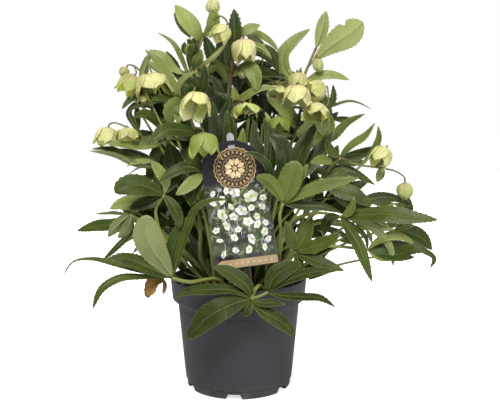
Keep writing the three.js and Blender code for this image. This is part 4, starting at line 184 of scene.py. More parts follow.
    ("leaf_back_left_low","T",15.3,0.52,12,0.72,(0.08,0.1,0.99),1,[(-85,78,175),(-72.6,93.1,177.9),(-60.2,108.2,175.5),(-47.4,123.8,167.5)]),
    ("leaf_back_left_low","T",18.1,0.52,12,0.72,(-0.05,0.35,0.94),1,[(-85,78,175),(-85.1,100,175),(-85.1,122,167.1),(-85.2,144.6,150.4)]),
    ("leaf_back_left_low","T",21.4,0.52,8,0.72,(-0.37,0.01,0.93),1,[(-85,78,175),(-98.5,100.5,179.3),(-112.1,123,173.7),(-126,146.2,157.6)]),
    ("leaf_back_left_low","T",24.8,0.52,12,0.72,(-0.3,-0.21,0.93),1,[(-85,78,175),(-111.8,90.4,178.1),(-138.7,102.7,172.5),(-166.3,115.5,157.4)]),
    ("leaf_back_left_low","T",20.6,0.52,16,0.72,(-0.22,0.29,0.93),1,[(-85,78,175),(-111.7,76.9,178.5),(-138.4,75.9,172.6),(-165.9,74.7,156.7)]),
    ("leaf_back_left_low","D",19,0.52,16,0.72,(-0.1,-0.26,0.96),1,[(-85,78,175),(-102.2,64.3,177.4),(-119.5,50.7,172.1),(-137.2,36.6,158.7)]),
    ("leaf_back_left_low","D",16,0.52,12,0.72,(0.06,-0.37,0.93),1,[(-85,78,175),(-93.4,60,176),(-101.8,42,169.6),(-110.4,23.4,155.1)]),
    ("leaf_back_low","D",15.2,0.52,8,0.72,(0.2,-0.22,0.95),1,[(-8,112,179),(12.4,112.9,180),(32.9,113.8,176),(53.9,114.7,166.7)]),
    ("leaf_back_low","D",20.1,0.52,12,0.72,(0.15,0.2,0.97),1,[(-8,112,179),(12.4,126.9,180.5),(32.7,141.9,174.5),(53.7,157.3,160.3)]),
    ("leaf_back_low","T",24.2,0.52,16,0.72,(0.3,-0,0.95),1,[(-8,112,179),(1.1,141.9,185.4),(10.3,171.8,182.7),(19.7,202.6,170.5)]),
    ("leaf_back_low","D",24.9,0.52,16,0.72,(-0.25,0.07,0.96),1,[(-8,112,179),(-16.2,139,182.3),(-24.5,166,178.3),(-33,193.8,166.6)]),
    ("leaf_back_low","D",22.5,0.52,12,0.72,(-0.16,0.11,0.98),1,[(-8,112,179),(-31.1,125.5,181.9),(-54.1,138.9,176.8),(-77.9,152.8,163.3)]),
    ("leaf_back_low","T",16.5,0.52,8,0.72,(-0.32,-0.1,0.94),1,[(-8,112,179),(-28.1,110.1,179.8),(-48.3,108.2,172.8),(-69,106.3,157.5)]),
    ("leaf_back_right_low","T",15.6,0.52,12,0.72,(0.06,-0.27,0.96),1,[(84,80,183),(93.6,63.2,184.1),(103.3,46.4,178.8),(113.2,29.1,166.8)]),
    ("leaf_back_right_low","T",17.8,0.52,8,0.72,(-0,-0.26,0.97),1,[(84,80,183),(104.4,69,187.3),(124.8,58.1,184.6),(145.9,46.8,174.3)]),
    ("leaf_back_right_low","T",19.4,0.52,16,0.72,(0.07,0.33,0.94),1,[(84,80,183),(110.8,81.5,188.4),(137.6,82.9,186),(165.2,84.4,175.3)]),
    ("leaf_back_right_low","T",26.7,0.52,12,0.72,(0.09,-0.02,1),1,[(84,80,183),(111.2,97.3,190),(138.4,114.7,188.1),(166.5,132.6,177)]),
    ("leaf_back_right_low","T",20.6,0.52,12,0.72,(0.34,0.17,0.92),1,[(84,80,183),(94.8,107.3,185.4),(105.6,134.7,176.5),(116.8,162.9,155.6)]),
    ("leaf_back_right_low","T",20.6,0.52,16,0.72,(-0.17,0.22,0.96),1,[(84,80,183),(80.5,105.4,185.2),(76.9,130.8,178.8),(73.3,157,163.4)]),
    ("leaf_back_right_low","D",17.1,0.52,16,0.72,(0.07,0.34,0.94),1,[(84,80,183),(70.5,94,185.6),(56.9,108,181.6),(43,122.4,170.6)]),
    ("leaf_back_left","T",14,0.52,12,0.72,(-0.12,0.28,0.95),1,[(-70,62,265),(-56.9,73.7,267.8),(-43.8,85.5,266.2),(-30.3,97.5,259.8)]),
    ("leaf_back_left","T",21.3,0.52,12,0.72,(-0.14,0.19,0.97),1,[(-70,62,265),(-68.5,87,268.3),(-67,112.1,263.7),(-65.5,137.9,250.6)]),
    ("leaf_back_left","T",22,0.52,12,0.72,(0.12,0.21,0.97),1,[(-70,62,265),(-84.1,88.9,272.2),(-98.1,115.9,268.5),(-112.6,143.6,253.2)]),
    ("leaf_back_left","D",24.3,0.52,16,0.72,(-0.22,-0.22,0.95),1,[(-70,62,265),(-97.9,71.9,272),(-125.8,81.7,267.9),(-154.5,91.9,252.2)]),
    ("leaf_back_left","D",16.2,0.52,12,0.72,(-0.31,0.15,0.94),1,[(-70,62,265),(-92.6,56.4,267.5),(-115.2,50.7,261.1),(-138.6,44.9,245.1)]),
    ("leaf_back_left","D",15.2,0.52,8,0.72,(-0.01,-0.13,0.99),1,[(-70,62,265),(-81,45.7,269),(-92,29.5,266.9),(-103.4,12.7,258.3)]),
    ("leaf_back_centre","T",17.1,0.52,8,0.72,(0.19,-0.2,0.96),1,[(4,84,275),(23.8,80.3,278.2),(43.5,76.7,273.7),(63.9,72.9,261.1)]),
    ("leaf_back_centre","T",21.4,0.52,8,0.72,(0.07,0.24,0.97),1,[(4,84,275),(27.1,97.2,278.2),(50.3,110.5,273.3),(74.1,124.1,259.6)]),
    ("leaf_back_centre","T",21.2,0.52,16,0.72,(0.01,0.25,0.97),1,[(4,84,275),(13.7,111.9,278.8),(23.4,139.7,271.7),(33.4,168.4,252.9)]),
    ("leaf_back_centre","T",24.3,0.52,12,0.72,(0.21,-0.03,0.98),1,[(4,84,275),(-4.4,111.1,284.2),(-12.9,138.1,286.9),(-21.6,166,282.9)]),
    ("leaf_back_centre","T",21.2,0.52,12,0.72,(-0.21,-0.12,0.97),1,[(4,84,275),(-16,97.6,280.5),(-35.9,111.2,278.1),(-56.5,125.2,267.2)]),
    ("leaf_back_centre","D",16.2,0.52,16,0.72,(-0.1,-0.3,0.95),1,[(4,84,275),(-15,82.1,277.4),(-33.9,80.3,274.9),(-53.5,78.4,267.4)]),
    ("leaf_back_right","T",16.7,0.52,16,0.72,(0.32,0.13,0.94),1,[(80,58,261),(91.9,43.1,264.2),(103.7,28.2,262.2),(116,12.8,254.7)]),
    ("leaf_back_right","T",21.3,0.52,16,0.72,(0.17,-0.23,0.96),1,[(80,58,261),(103.3,50.2,263.9),(126.6,42.4,258),(150.6,34.4,242.6)]),
    ("leaf_back_right","T",22.9,0.52,12,0.72,(0.09,0.21,0.97),1,[(80,58,261),(104.6,68.6,266.2),(129.3,79.1,261.7),(154.7,90,247)]),
    ("leaf_back_right","T",22.7,0.52,12,0.72,(0.15,-0.01,0.99),1,[(80,58,261),(91.7,82.9,266.9),(103.3,107.8,265.4),(115.3,133.4,256.2)]),
    ("leaf_back_right","T",19.2,0.52,8,0.72,(0.27,0.16,0.95),1,[(80,58,261),(79.2,80.1,265.8),(78.3,102.2,262.5),(77.5,125,250.8)]),
    ("leaf_back_right","T",15.1,0.52,8,0.72,(0.08,0.36,0.93),1,[(80,58,261),(66.8,71.1,263.9),(53.6,84.2,260.1),(40,97.7,249.2)]),
    ("leaf_back_upper_left","D",12.1,0.52,16,0.72,(0.01,-0.02,1),1,[(-38,48,348),(-23.4,51.3,351.6),(-8.7,54.7,351.6),(6.4,58.1,347.8)]),
    ("leaf_back_upper_left","T",16.4,0.52,8,0.72,(0.06,0.02,1),1,[(-38,48,348),(-26.5,63.5,352.3),(-15.1,79.1,351.4),(-3.3,95.1,345.1)]),
    ("leaf_back_upper_left","T",21.7,0.52,8,0.72,(0.07,-0.04,1),1,[(-38,48,348),(-44.1,72,355.3),(-50.3,95.9,356.8),(-56.6,120.6,352.1)]),
    ("leaf_back_upper_left","T",16.4,0.52,16,0.72,(-0.04,0.09,0.99),1,[(-38,48,348),(-56.1,62.3,353.3),(-74.1,76.6,351.4),(-92.7,91.3,341.7)]),
    ("leaf_back_upper_left","T",15.8,0.52,16,0.72,(0.04,-0.29,0.96),1,[(-38,48,348),(-58.1,46.4,353.2),(-78.1,44.7,353.6),(-98.8,43,348.9)]),
    ("leaf_back_upper_left","T",12.7,0.52,8,0.72,(0.02,-0.17,0.98),1,[(-38,48,348),(-49,37.3,351.1),(-60.1,26.6,349.4),(-71.5,15.5,342.9)]),
    ("leaf_back_upper_right","T",14.3,0.52,16,0.72,(0.36,0.03,0.93),1,[(46,50,341),(57.6,37.8,342.8),(69.3,25.7,338.7),(81.3,13.1,328.5)]),
    ("leaf_back_upper_right","T",18,0.52,12,0.72,(0.1,-0,1),1,[(46,50,341),(66.8,48.4,345.4),(87.7,46.7,343.5),(109.2,45,334.9)]),
    ("leaf_back_upper_right","T",19.4,0.52,16,0.72,(0.03,0.1,0.99),1,[(46,50,341),(64.9,63.8,345.4),(83.8,77.5,343.5),(103.3,91.7,334.9)]),
    ("leaf_back_upper_right","T",19.7,0.52,16,0.72,(-0.06,0.18,0.98),1,[(46,50,341),(50.5,75.6,345.4),(54.9,101.2,341.2),(59.5,127.5,327.9)]),
    ("leaf_back_upper_right","T",17.2,0.52,8,0.72,(0.17,0.13,0.98),1,[(46,50,341),(35.2,68.8,346.2),(24.3,87.5,345.8),(13.1,106.8,339.3)]),
    ("leaf_back_upper_right","T",11.3,0.52,12,0.72,(-0.04,0.17,0.98),1,[(46,50,341),(31.3,53.4,344.7),(16.6,56.9,343.5),(1.4,60.4,337.2)]),
    ("stem_back","B",14,0.55,14,0.72,(-0.3,-0.9,0.3),1,[(-20,70,391),(-30,76,405),(-38,74,423)]),
    ("stem_back","B",15,0.55,14,0.72,(0,-0.29,0.96),1,[(-20,70,391),(-6,84,401),(8,98,399)]),
    ("stem_back","B",20,0.5,12,0.72,(-0.19,-0.19,0.96),1,[(-6.4,66.3,335.1),(-40,84,353),(-72,98,349)]),
    ("stem_back","D",22,0.5,12,0.72,(0.19,0.19,0.96),1,[(-4.9,64.8,325.8),(24,84,339),(56,104,335),(80,118,315)]),
    ("stem_back","T",22,0.5,12,0.72,(-0.1,0.29,0.95),1,[(-2.9,59.1,302.7),(-20,92,325),(-34,124,319),(-40,148,299)]),
    ("stem_back","B",14,0.5,12,0.72,(0.1,-0.2,0.98),1,[(22.5,76.2,375.6),(34,92,393),(40,112,391)]),
    ("leaf_back_left_low","D",24.3,0.5,18,0.72,(0.57,-0.68,0.46),1,[(-92.6,22.7,196.9),(-116.1,14.7,222.1),(-145.7,4.9,235.6)]),
    ("leaf_back_left_low","D",21.9,0.5,10,0.72,(-0.12,-0.95,0.29),1,[(-92.6,22.7,196.9),(-95.5,31.2,229.8),(-90.8,41.6,259.4)]),
    ("leaf_back_left_low","D",27.2,0.5,18,0.72,(-0.5,-0.87,0.01),1,[(-92.6,22.7,196.9),(-82.3,17.7,230.4),(-72.2,11.6,259.9)]),
    ("leaf_back_left_low","D",25.1,0.5,10,0.72,(-0.48,-0.71,0.51),1,[(-92.6,22.7,196.9),(-66.1,17.9,220.5),(-35.8,12,235.3)]),
    ("leaf_back_left_low","D",18.4,0.5,18,0.72,(0.26,-0.86,0.44),1,[(-92.6,22.7,196.9),(-65.4,24,189.9),(-40.2,25.6,171.8)]),
    ("leaf_back_left_low","D",21.3,0.5,14,0.72,(0.16,-0.88,0.44),1,[(-92.6,22.7,196.9),(-63.8,14.6,174.9),(-42,4.7,142)]),
    ("leaf_back_upper_left","D",19.4,0.5,14,0.72,(0.36,-0.88,0.31),1,[(-10.8,41.3,381.5),(-32.2,44.2,407.7),(-43.2,47.8,436.9)]),
    ("leaf_back_upper_left","D",26.3,0.5,14,0.72,(0.42,-0.9,0.15),1,[(-10.8,41.3,381.5),(-18.7,45,414),(-16.2,49.5,444.5)]),
    ("leaf_back_upper_left","T",20.1,0.5,14,0.72,(-0.09,-0.95,0.31),1,[(-10.8,41.3,381.5),(12.9,42.3,394.4),(38.2,43.4,402.1)]),
    ("leaf_back_upper_left","T",23.5,0.5,14,0.72,(-0.18,-0.95,0.26),1,[(-10.8,41.3,381.5),(24.1,35.8,385),(58.6,29.1,385.3)]),
    ("leaf_back_upper_left","T",20.4,0.5,14,0.72,(-0.08,-0.91,0.4),1,[(-10.8,41.3,381.5),(23.5,34.6,371.4),(58.3,26.3,362)]),
    ("leaf_back_upper_left","D",20.7,0.5,10,0.72,(0.2,-0.8,0.57),1,[(-10.8,41.3,381.5),(15.5,30.1,356.2),(41.6,16.3,328.3)]),
    ("leaf_back_left","T",17.6,0.5,14,0.72,(0.25,-0.93,0.27),1,[(-98.5,40.5,308.3),(-125.6,33.6,309.4),(-152.2,25.1,304.9)]),
    ("leaf_back_left","D",21.3,0.5,10,0.72,(0.51,-0.84,0.2),1,[(-98.5,40.5,308.3),(-100.9,46.6,341.9),(-100.6,54.1,372.1)]),
    ("leaf_back_left","D",22.8,0.5,14,0.72,(0.01,-0.81,0.59),1,[(-98.5,40.5,308.3),(-63.1,39,312.7),(-26.9,37.2,302.3)]),
    ("leaf_back_left","D",20.1,0.5,18,0.72,(0.33,-0.89,0.3),1,[(-98.5,40.5,308.3),(-64.7,45.6,296.6),(-34.1,51.8,270.8)]),
    ("leaf_back_left","D",19.7,0.5,10,0.72,(-0.31,-0.93,-0.2),1,[(-98.5,40.5,308.3),(-101.1,48.7,278.2),(-111.8,58.7,245.1)]),
    ("leaf_back_left","D",16.8,0.5,18,0.72,(-0.23,-0.97,0.09),1,[(-98.5,40.5,308.3),(-108.3,40.1,280.4),(-117.9,39.7,249.4)]),
    ("leaf_back_right","D",7.2,0.5,14,0.72,(-0.25,-0.92,0.31),1,[(106.5,32.7,220.1),(112.8,35,231.9),(116.9,37.8,243.2)]),
    ("leaf_back_right","D",23.3,0.5,18,0.72,(-0.46,-0.65,0.61),1,[(106.5,32.7,220.1),(135.7,28.5,238.6),(164.5,23.4,253.5)]),
    ("leaf_back_right","D",25.4,0.5,10,0.72,(0.17,-0.82,0.55),1,[(106.5,32.7,220.1),(142.8,35.7,219.1),(179.5,39.4,207.1)]),
    ("leaf_back_right","T",20.9,0.5,14,0.72,(0.38,-0.91,0.14),1,[(106.5,32.7,220.1),(83.8,29.5,247),(69.5,25.6,275.5)]),
    ("leaf_back_right","D",21.6,0.5,10,0.72,(0.6,-0.8,0.04),1,[(106.5,32.7,220.1),(97.6,28.9,246.1),(92.1,24.2,270.2)]),
    ("leaf_back_upper_left","T",12.7,0.5,18,0.72,(-0.32,-0.94,0.16),1,[(-62.9,53.7,394.4),(-68.7,51.1,373.8),(-67.8,47.9,350)]),
    ("leaf_back_upper_left","T",17.8,0.5,14,0.72,(-0.56,-0.83,-0.05),1,[(-62.9,53.7,394.4),(-57.3,46.3,419.9),(-42.5,37.1,439.6)]),
    ("leaf_back_upper_left","D",18.7,0.5,18,0.72,(-0.03,-0.93,0.36),1,[(-62.9,53.7,394.4),(-35.4,49.5,386.3),(-8.3,44.3,374.8)]),
    ("leaf_back_upper_left","D",27.6,0.5,14,0.72,(0.3,-0.77,0.56),1,[(-62.9,53.7,394.4),(-35.5,45.1,369.4),(-10.1,34.6,339.3)]),
    ("leaf_back_upper_right","D",23.7,0.5,10,0.72,(-0.37,-0.91,0.2),1,[(18.1,47.2,335),(-1,48.5,302.7),(-24.5,50,269.4)]),
    ("leaf_back_upper_right","D",20.3,0.5,14,0.72,(0.2,-0.97,0.13),1,[(18.1,47.2,335),(52,51,321.1),(84.3,55.6,297.9)]),
    ("leaf_back_upper_right","D",25.4,0.5,18,0.72,(0.41,-0.91,0.09),1,[(18.1,47.2,335),(43.3,53.5,307.2),(63.6,61.1,270.4)]),
    ("leaf_back_upper_right","T",11.3,0.5,10,0.72,(0.11,-0.83,0.55),1,[(31.9,44.8,426),(19.4,47.5,431.6),(9.3,50.8,439.5)]),
    ("leaf_back_upper_right","T",14.5,0.5,14,0.72,(0.5,-0.82,0.29),1,[(31.9,44.8,426),(44.7,44.5,409.6),(53,44.1,387.8)]),
    ("leaf_back_right","T",9.2,0.5,14,0.72,(0.26,-0.75,0.61),1,[(195.9,20.9,225.3),(209,19.3,220.9),(220.6,17.4,210.6)]),
    ("leaf_back_right","T",9.6,0.5,14,0.72,(-0.21,-0.78,0.59),1,[(195.9,20.9,225.3),(182.5,24,225.8),(169.3,27.8,224.7)]),
    ("leaf_back_left_low","D",10.5,0.5,14,0.72,(0.51,-0.76,0.4),1,[(-71,30.1,134.3),(-78.3,29.3,146),(-89.1,28.3,153.7)]),
    ("leaf_back_left_low","D",11.3,0.5,14,0.72,(-0.35,-0.91,-0.22),1,[(-71,30.1,134.3),(-69.9,25.6,155.1),(-70.1,20.1,173.9)]),
    ("leaf_back_upper_left","U",14.1,0.5,18,0.72,(-0.68,0.71,0.19),1,[(-123.3,26.4,379.6),(-115.9,27.5,397.1),(-111.1,28.9,413.3)]),
    ("leaf_back_right_low","D",15.4,0.5,18,0.72,(-0.37,-0.92,0.15),1,[(49.4,31.7,199.4),(63.4,28.7,222.9),(83.1,24.9,239.6)]),
    ("leaf_back_left","T",24.8,0.5,18,0.72,(0.24,-0.89,0.38),1,[(-154.1,22.1,230.8),(-125.1,22.4,208.9),(-91,22.7,192.1)]),
    ("leaf_back_upper_right","T",8.3,0.5,10,0.72,(-0.02,-0.96,0.27),1,[(119,46.4,332.2),(133.1,46,330.8),(146.9,45.5,331.2)]),
    ("leaf_back_upper_right","U",17.5,0.5,14,0.72,(0.39,0.92,0),1,[(119,46.4,332.2),(106.1,51,355.4),(94.8,56.5,376.8)]),
    ("leaf_back_upper_left","T",13.3,0.5,10,0.72,(0.44,-0.9,-0.06),1,[(-62,54.9,434.7),(-71.8,49.8,450.5),(-81.3,43.6,464)]),
    ("leaf_back_right","D",12.8,0.5,18,0.72,(0.2,-0.73,0.66),1,[(159.9,22.1,278.7),(139.2,17.3,277.5),(118.7,11.3,279.1)]),
    ("leaf_back_right_low","D",18.2,0.5,10,0.72,(-0.31,-0.9,0.29),1,[(125.2,33.1,173.9),(101.5,33,156.8),(83.5,32.9,129.3)]),
    ("leaf_back_upper_left","D",9.6,0.5,10,0.72,(0.64,-0.76,0.04),1,[(-130.4,42.7,348.2),(-129.9,43,333.6),(-127.6,43.4,317.7)]),
    ("leaf_back_low","T",10.9,0.5,18,0.72,(0.46,-0.89,-0.06),1,[(-41.8,33.8,204.9),(-48.7,30.8,221.1),(-50.4,27.2,237.1)]),
    ("leaf_back_low","T",11.2,0.5,10,0.72,(0.22,-0.95,0.21),1,[(-41.8,33.8,204.9),(-34.7,31,187.8),(-33,27.6,167)]),
    ("leaf_back_low","D",14.1,0.5,10,0.72,(0.26,-0.96,-0.02),1,[(-41.8,33.8,204.9),(-39.7,34.8,178.9),(-38.3,35.9,150)]),
    ("leaf_back_low","D",6.8,0.5,10,0.72,(-0.4,-0.85,0.35),1,[(-41.8,33.8,204.9),(-49.9,34.7,200.2),(-56.8,35.7,192.3)]),
    ("leaf_back_low","D",15.4,0.5,18,0.72,(0.32,-0.8,0.5),1,[(-41.8,33.8,204.9),(-61.1,35.4,218.5),(-77.3,37.4,233.3)]),
    ("leaf_back_centre","D",16.8,0.5,18,0.72,(-0.23,-0.94,0.25),1,[(2.6,46.3,305.6),(26.7,40.8,307),(50.7,34.1,305.1)]),
    ("leaf_back_right_low","T",4.5,0.5,10,0.72,(0.18,-0.9,0.4),1,[(205.3,32.7,195.9),(196.1,31.1,196.1),(186.8,29.1,196.4)]),
    ("leaf_back_right_low","D",6.2,0.5,10,0.72,(0.29,-0.86,0.41),1,[(205.3,32.7,195.9),(196.3,30.3,198.4),(186.6,27.3,197.7)]),
    ("leaf_back_right_low","T",12.1,0.5,18,0.72,(0.04,-0.9,0.43),1,[(175.5,18,158),(199.8,18.7,157.1),(224,19.4,156.7)]),
    ("leaf_back_right_low","D",7.9,0.5,18,0.72,(0.03,-0.82,0.57),1,[(71.6,32.9,204.6),(84.2,30.7,202.1),(96.2,28.1,196.2)]),
    ("leaf_back_right_low","D",5,0.5,10,0.72,(0.25,-0.9,0.35),1,[(71.6,32.9,204.6),(64.1,32.6,209.2),(56.9,32.3,213.5)]),
    ("leaf_back_right_low","T",5.6,0.5,10,0.72,(0.4,-0.87,0.28),1,[(161.8,21.6,193.1),(153.9,19.8,197.8),(146.6,17.7,202.2)]),
    ("leaf_back_right_low","U",6.6,0.5,18,0.72,(0.4,0.86,0.32),1,[(161.8,21.6,193.1),(166.4,23.1,184.5),(169.8,25,174.1)]),
    ("leaf_back_right_low","D",11.1,0.5,14,0.72,(-0.23,-0.63,0.74),1,[(122.8,16.4,141.8),(105.3,15.4,137.4),(88.4,14.1,129)]),
    ("leaf_back_upper_left","U",8.1,0.5,10,0.72,(0.5,0.84,0.23),1,[(-115.6,30.6,406.5),(-106.5,27.2,396.9),(-94.9,23,389.2)]),
    ("leaf_back_upper_right","D",7,0.5,18,0.72,(-0.18,-0.89,0.41),1,[(50.8,46.8,405.2),(39.7,45.8,398.5),(28.5,44.7,390.6)]),
    ("leaf_back_low","D",16.1,0.5,14,0.72,(-0.38,-0.91,0.15),1,[(47,8,145.2),(55.8,10,180.7),(59.6,14,208.2),(54.6,20,235.3)]),
    ("leaf_back_low","D",16.3,0.5,14,0.72,(0.31,-0.94,0.16),1,[(56.4,22,150),(51.3,26,183),(48.7,30,213.5)]),
    ("leaf_back_low","D",15.1,0.5,14,0.72,(-0.38,-0.9,0.22),1,[(54.1,30,164.1),(65.7,34,186.9),(69.5,36,215.2)]),
    ("leaf_back_low","D",20.3,0.5,14,0.72,(0.31,-0.94,0.14),1,[(53.5,16,169.4),(49.7,20,199.5),(45.9,24,242.5)]),
    ("leaf_back_low","D",17.7,0.5,14,0.72,(-0.38,-0.92,0.13),1,[(52.5,28,200.8),(51.2,30,221.2),(53.8,34,246.5)]),
    ("flower_far_right","U",11.2,0.55,4,0.72,(-0.19,0.98,-0.04),1,[(169.3,-46,281.5),(168,-48,272.3),(163.6,-48,260.5)]),
    ("leaf_back_low","D",17.6,0.5,14,0.72,(0.39,-0.91,0.14),1,[(-44.2,14,151.7),(-40.4,18,181.9),(-41.6,22,212.1),(-48,26,242.3)]),
    ("leaf_back_left","D",16.3,0.5,14,0.72,(-0.28,-0.94,0.2),1,[(-51.9,24,211.8),(-41.8,28,234.3),(-37.9,30,259.7)]),
    ("leaf_back_left","D",18.9,0.5,14,0.72,(0.33,-0.88,0.34),1,[(-59.2,22,235.1),(-69.4,26,257.6),(-84.7,30,280.1)]),
    ("leaf_back_left","D",17.6,0.5,14,0.72,(0.35,-0.89,0.29),1,[(-49.2,26,247.4),(-54.3,30,272.5),(-65.9,34,292.5)]),
    ("leaf_back_left","D",20,0.5,14,0.72,(-0.21,-0.93,0.28),1,[(-33.4,24,338.3),(-23.4,27,355.6),(-15.9,30,373),(-10.9,34,388)]),
    ("leaf_back_left","D",20,0.5,14,0.72,(0.32,-0.93,0.2),1,[(29.2,22,325.9),(31.7,26,348.2),(28,30,365.6)]),
    ("leaf_back_left","D",18.4,0.5,14,0.72,(0.35,-0.9,0.28),1,[(-57.5,8,306.7),(-63.8,11,323.8),(-71.2,14,343.4)]),
    ("leaf_back_left","D",15.8,0.5,14,0.72,(-0.29,-0.94,0.16),1,[(-42.5,4,299.5),(-38.9,7,319),(-40.1,10,338.6)]),
    ("leaf_back_left","D",15.9,0.5,14,0.72,(0.33,-0.93,0.17),1,[(-0.7,22,365.5),(-3.2,24,385.3),(-8.2,26,402.5)]),
    ("bud_small_left","D",7.9,0.6,14,0.72,(0.53,-0.84,-0.08),1,[(-55.7,-54,406.3),(-61.1,-57,412.9),(-59.8,-58,421.8)]),
    ("bud_small_left","D",7.9,0.6,14,0.72,(-0.47,-0.88,-0.09),1,[(-54.5,-54,406.3),(-47.3,-58,412.8),(-46,-60,420.6)]),
    ("bud_small_left","D",7.9,0.6,14,0.72,(0.51,-0.85,-0.14),1,[(-56,-50,407.6),(-53.6,-50,417.8),(-57.8,-54,425.4)]),
    ("bud_small_left","D",7.8,0.6,14,0.72,(-0.42,-0.9,-0.11),1,[(-54.2,-58,406.1),(-53.9,-62,412.6),(-49.3,-62,419.3)]),
    ("withered_leaf","W",5.805,0.5,14,0.55,(-0.24,-0.95,0.22),1,[(-88.6,-58,146.3),(-86.1,-61,138.5),(-88.5,-62,129.1)]),
    ("leaf_back_left","T",8.5,0.52,12,0.72,(0.08,0.2,0.98),1,[(-86.7,76.6,319.7),(-78.2,83.2,321.5),(-69.7,89.8,319.5),(-61,96.5,313.5)]),
    ("leaf_back_left","T",10.4,0.52,8,0.72,(0.13,0.03,0.99),1,[(-86.7,76.6,319.7),(-82.8,89.7,322.7),(-78.8,102.8,321.9),(-74.8,116.3,317)]),
    ("leaf_back_left","T",14.3,0.52,16,0.72,(-0.34,0.05,0.94),1,[(-86.7,76.6,319.7),(-91.1,92,323.1),(-95.5,107.3,320.8),(-100,123,312.3)]),
    ("leaf_back_left","D",9.1,0.52,12,0.72,(0.2,-0.11,0.97),1,[(-86.7,76.6,319.7),(-90.7,65.3,322.4),(-94.7,53.9,321.9),(-98.8,42.2,318.2)]),
    ("leaf_back_upper_left","T",10.7,0.52,8,0.72,(0.19,0.15,0.97),1,[(-73.8,20.1,349.3),(-71.1,31.3,350),(-68.3,42.6,347.8),(-65.5,54.2,342.3)]),
    ("leaf_back_upper_left","T",15.2,0.52,8,0.72,(-0.02,0.18,0.98),1,[(-73.8,20.1,349.3),(-83.1,34.8,351.1),(-92.3,49.5,348.3),(-101.9,64.7,340.6)]),
    ("leaf_back_upper_left","T",15.5,0.52,12,0.72,(-0.08,0.24,0.97),1,[(-73.8,20.1,349.3),(-94.3,22.3,352.9),(-114.8,24.6,350.7),(-135.8,27,342.4)]),
    ("leaf_back_upper_left","T",10.1,0.52,16,0.72,(0.21,-0.26,0.94),1,[(-73.8,20.1,349.3),(-73.2,7.2,349.6),(-72.7,-5.7,345.9),(-72.1,-19,338.1)]),
    ("leaf_back_left","T",10.9,0.52,12,0.72,(0.12,0.26,0.96),1,[(-43.4,97.6,295.5),(-29.8,100.9,297.8),(-16.1,104.2,295.3),(-2,107.6,287.6)]),
    ("leaf_back_left","D",15.3,0.52,8,0.72,(-0.07,0.24,0.97),1,[(-43.4,97.6,295.5),(-35,115.8,300.1),(-26.6,134,296.4),(-17.9,152.8,283.9)]),
    ("leaf_back_left","T",23.2,0.52,12,0.72,(0.17,0.17,0.97),1,[(-43.4,97.6,295.5),(-53.1,120.8,301.8),(-62.8,144,299.6),(-72.8,168,288.4)]),
    ("leaf_back_left","T",15.6,0.52,12,0.72,(0.02,0.26,0.97),1,[(-43.4,97.6,295.5),(-62.2,101.2,300.1),(-80.9,104.7,299.6),(-100.1,108.4,293.7)]),
    ("leaf_back_left","T",12,0.52,12,0.72,(-0.21,-0.06,0.98),1,[(-43.4,97.6,295.5),(-53.8,86.4,297.7),(-64.1,75.1,294.9),(-74.8,63.5,286.6)]),
    ("leaf_back_upper_right","T",10.5,0.52,12,0.72,(-0.01,-0.42,0.91),1,[(97.9,-37.9,329.5),(88.1,-47.8,330.3),(78.2,-57.7,325.6),(68.1,-68,315.1)]),
    ("leaf_back_upper_right","T",15.6,0.52,8,0.72,(-0.02,-0.24,0.97),1,[(97.9,-37.9,329.5),(97.2,-54.4,330.9),(96.4,-70.9,326.9),(95.6,-87.9,317.2)]),
    ("leaf_back_upper_right","T",12,0.52,16,0.72,(-0.31,0.26,0.92),1,[(97.9,-37.9,329.5),(98.8,-24,330),(99.7,-10.1,326.5),(100.5,4.2,318.5)]),
    ("leaf_back_right","T",11.6,0.52,12,0.72,(-0.01,-0.37,0.93),1,[(49.4,107.7,238.1),(59.1,100.2,239.3),(68.8,92.7,236.5),(78.7,85,229.3)]),
    ("leaf_back_right","T",12.9,0.52,16,0.72,(0.28,-0.25,0.93),1,[(49.4,107.7,238.1),(65.8,112.4,239.9),(82.2,117,236.3),(99.1,121.8,226.9)]),
    ("leaf_back_right","D",18.6,0.52,16,0.72,(-0.21,0.21,0.96),1,[(49.4,107.7,238.1),(59.9,126.4,243),(70.3,145.1,241.3),(81.1,164.3,232.9)]),
    ("leaf_back_right","D",13.5,0.52,16,0.72,(-0.05,0.19,0.98),1,[(49.4,107.7,238.1),(41.4,123.9,240.2),(33.4,140,236.8),(25.1,156.6,227.3)]),
    ("leaf_back_left","T",10.9,0.52,8,0.72,(0.29,0.3,0.91),1,[(-61.3,18.2,230.3),(-55.9,29.4,229.9),(-50.5,40.6,224.6),(-44.9,52.1,214)]),
    ("leaf_back_left","T",15.4,0.52,16,0.72,(-0.12,0.2,0.97),1,[(-61.3,18.2,230.3),(-67.5,33.4,231.8),(-73.7,48.5,228),(-80.1,64.2,218.3)]),
    ("leaf_back_left","D",19.3,0.52,12,0.72,(-0.09,-0.08,0.99),1,[(-61.3,18.2,230.3),(-79.7,27.1,234.9),(-98.1,36.1,234.1),(-117.1,45.3,227.6)]),
    ("leaf_back_left","T",18.4,0.52,8,0.72,(-0.1,-0.33,0.94),1,[(-61.3,18.2,230.3),(-81.3,12.8,232.1),(-101.4,7.5,228.2),(-122.1,2,218)]),
    ("leaf_back_left","T",13.6,0.52,8,0.72,(-0.31,-0.16,0.94),1,[(-61.3,18.2,230.3),(-69.9,4.1,231.1),(-78.5,-10,226),(-87.3,-24.5,214.6)]),
    ("leaf_back_left","T",9.3,0.52,12,0.72,(0.32,-0.2,0.93),1,[(-61.3,18.2,230.3),(-59.2,6.1,230.8),(-57.1,-6,227.6),(-54.9,-18.5,220.2)]),
    ("leaf_back_centre","T",9.7,0.52,16,0.72,(-0.02,-0.26,0.97),1,[(-27.1,94.4,239.9),(-14.9,93.5,243.5),(-2.7,92.6,243.6),(9.9,91.7,240.1)]),
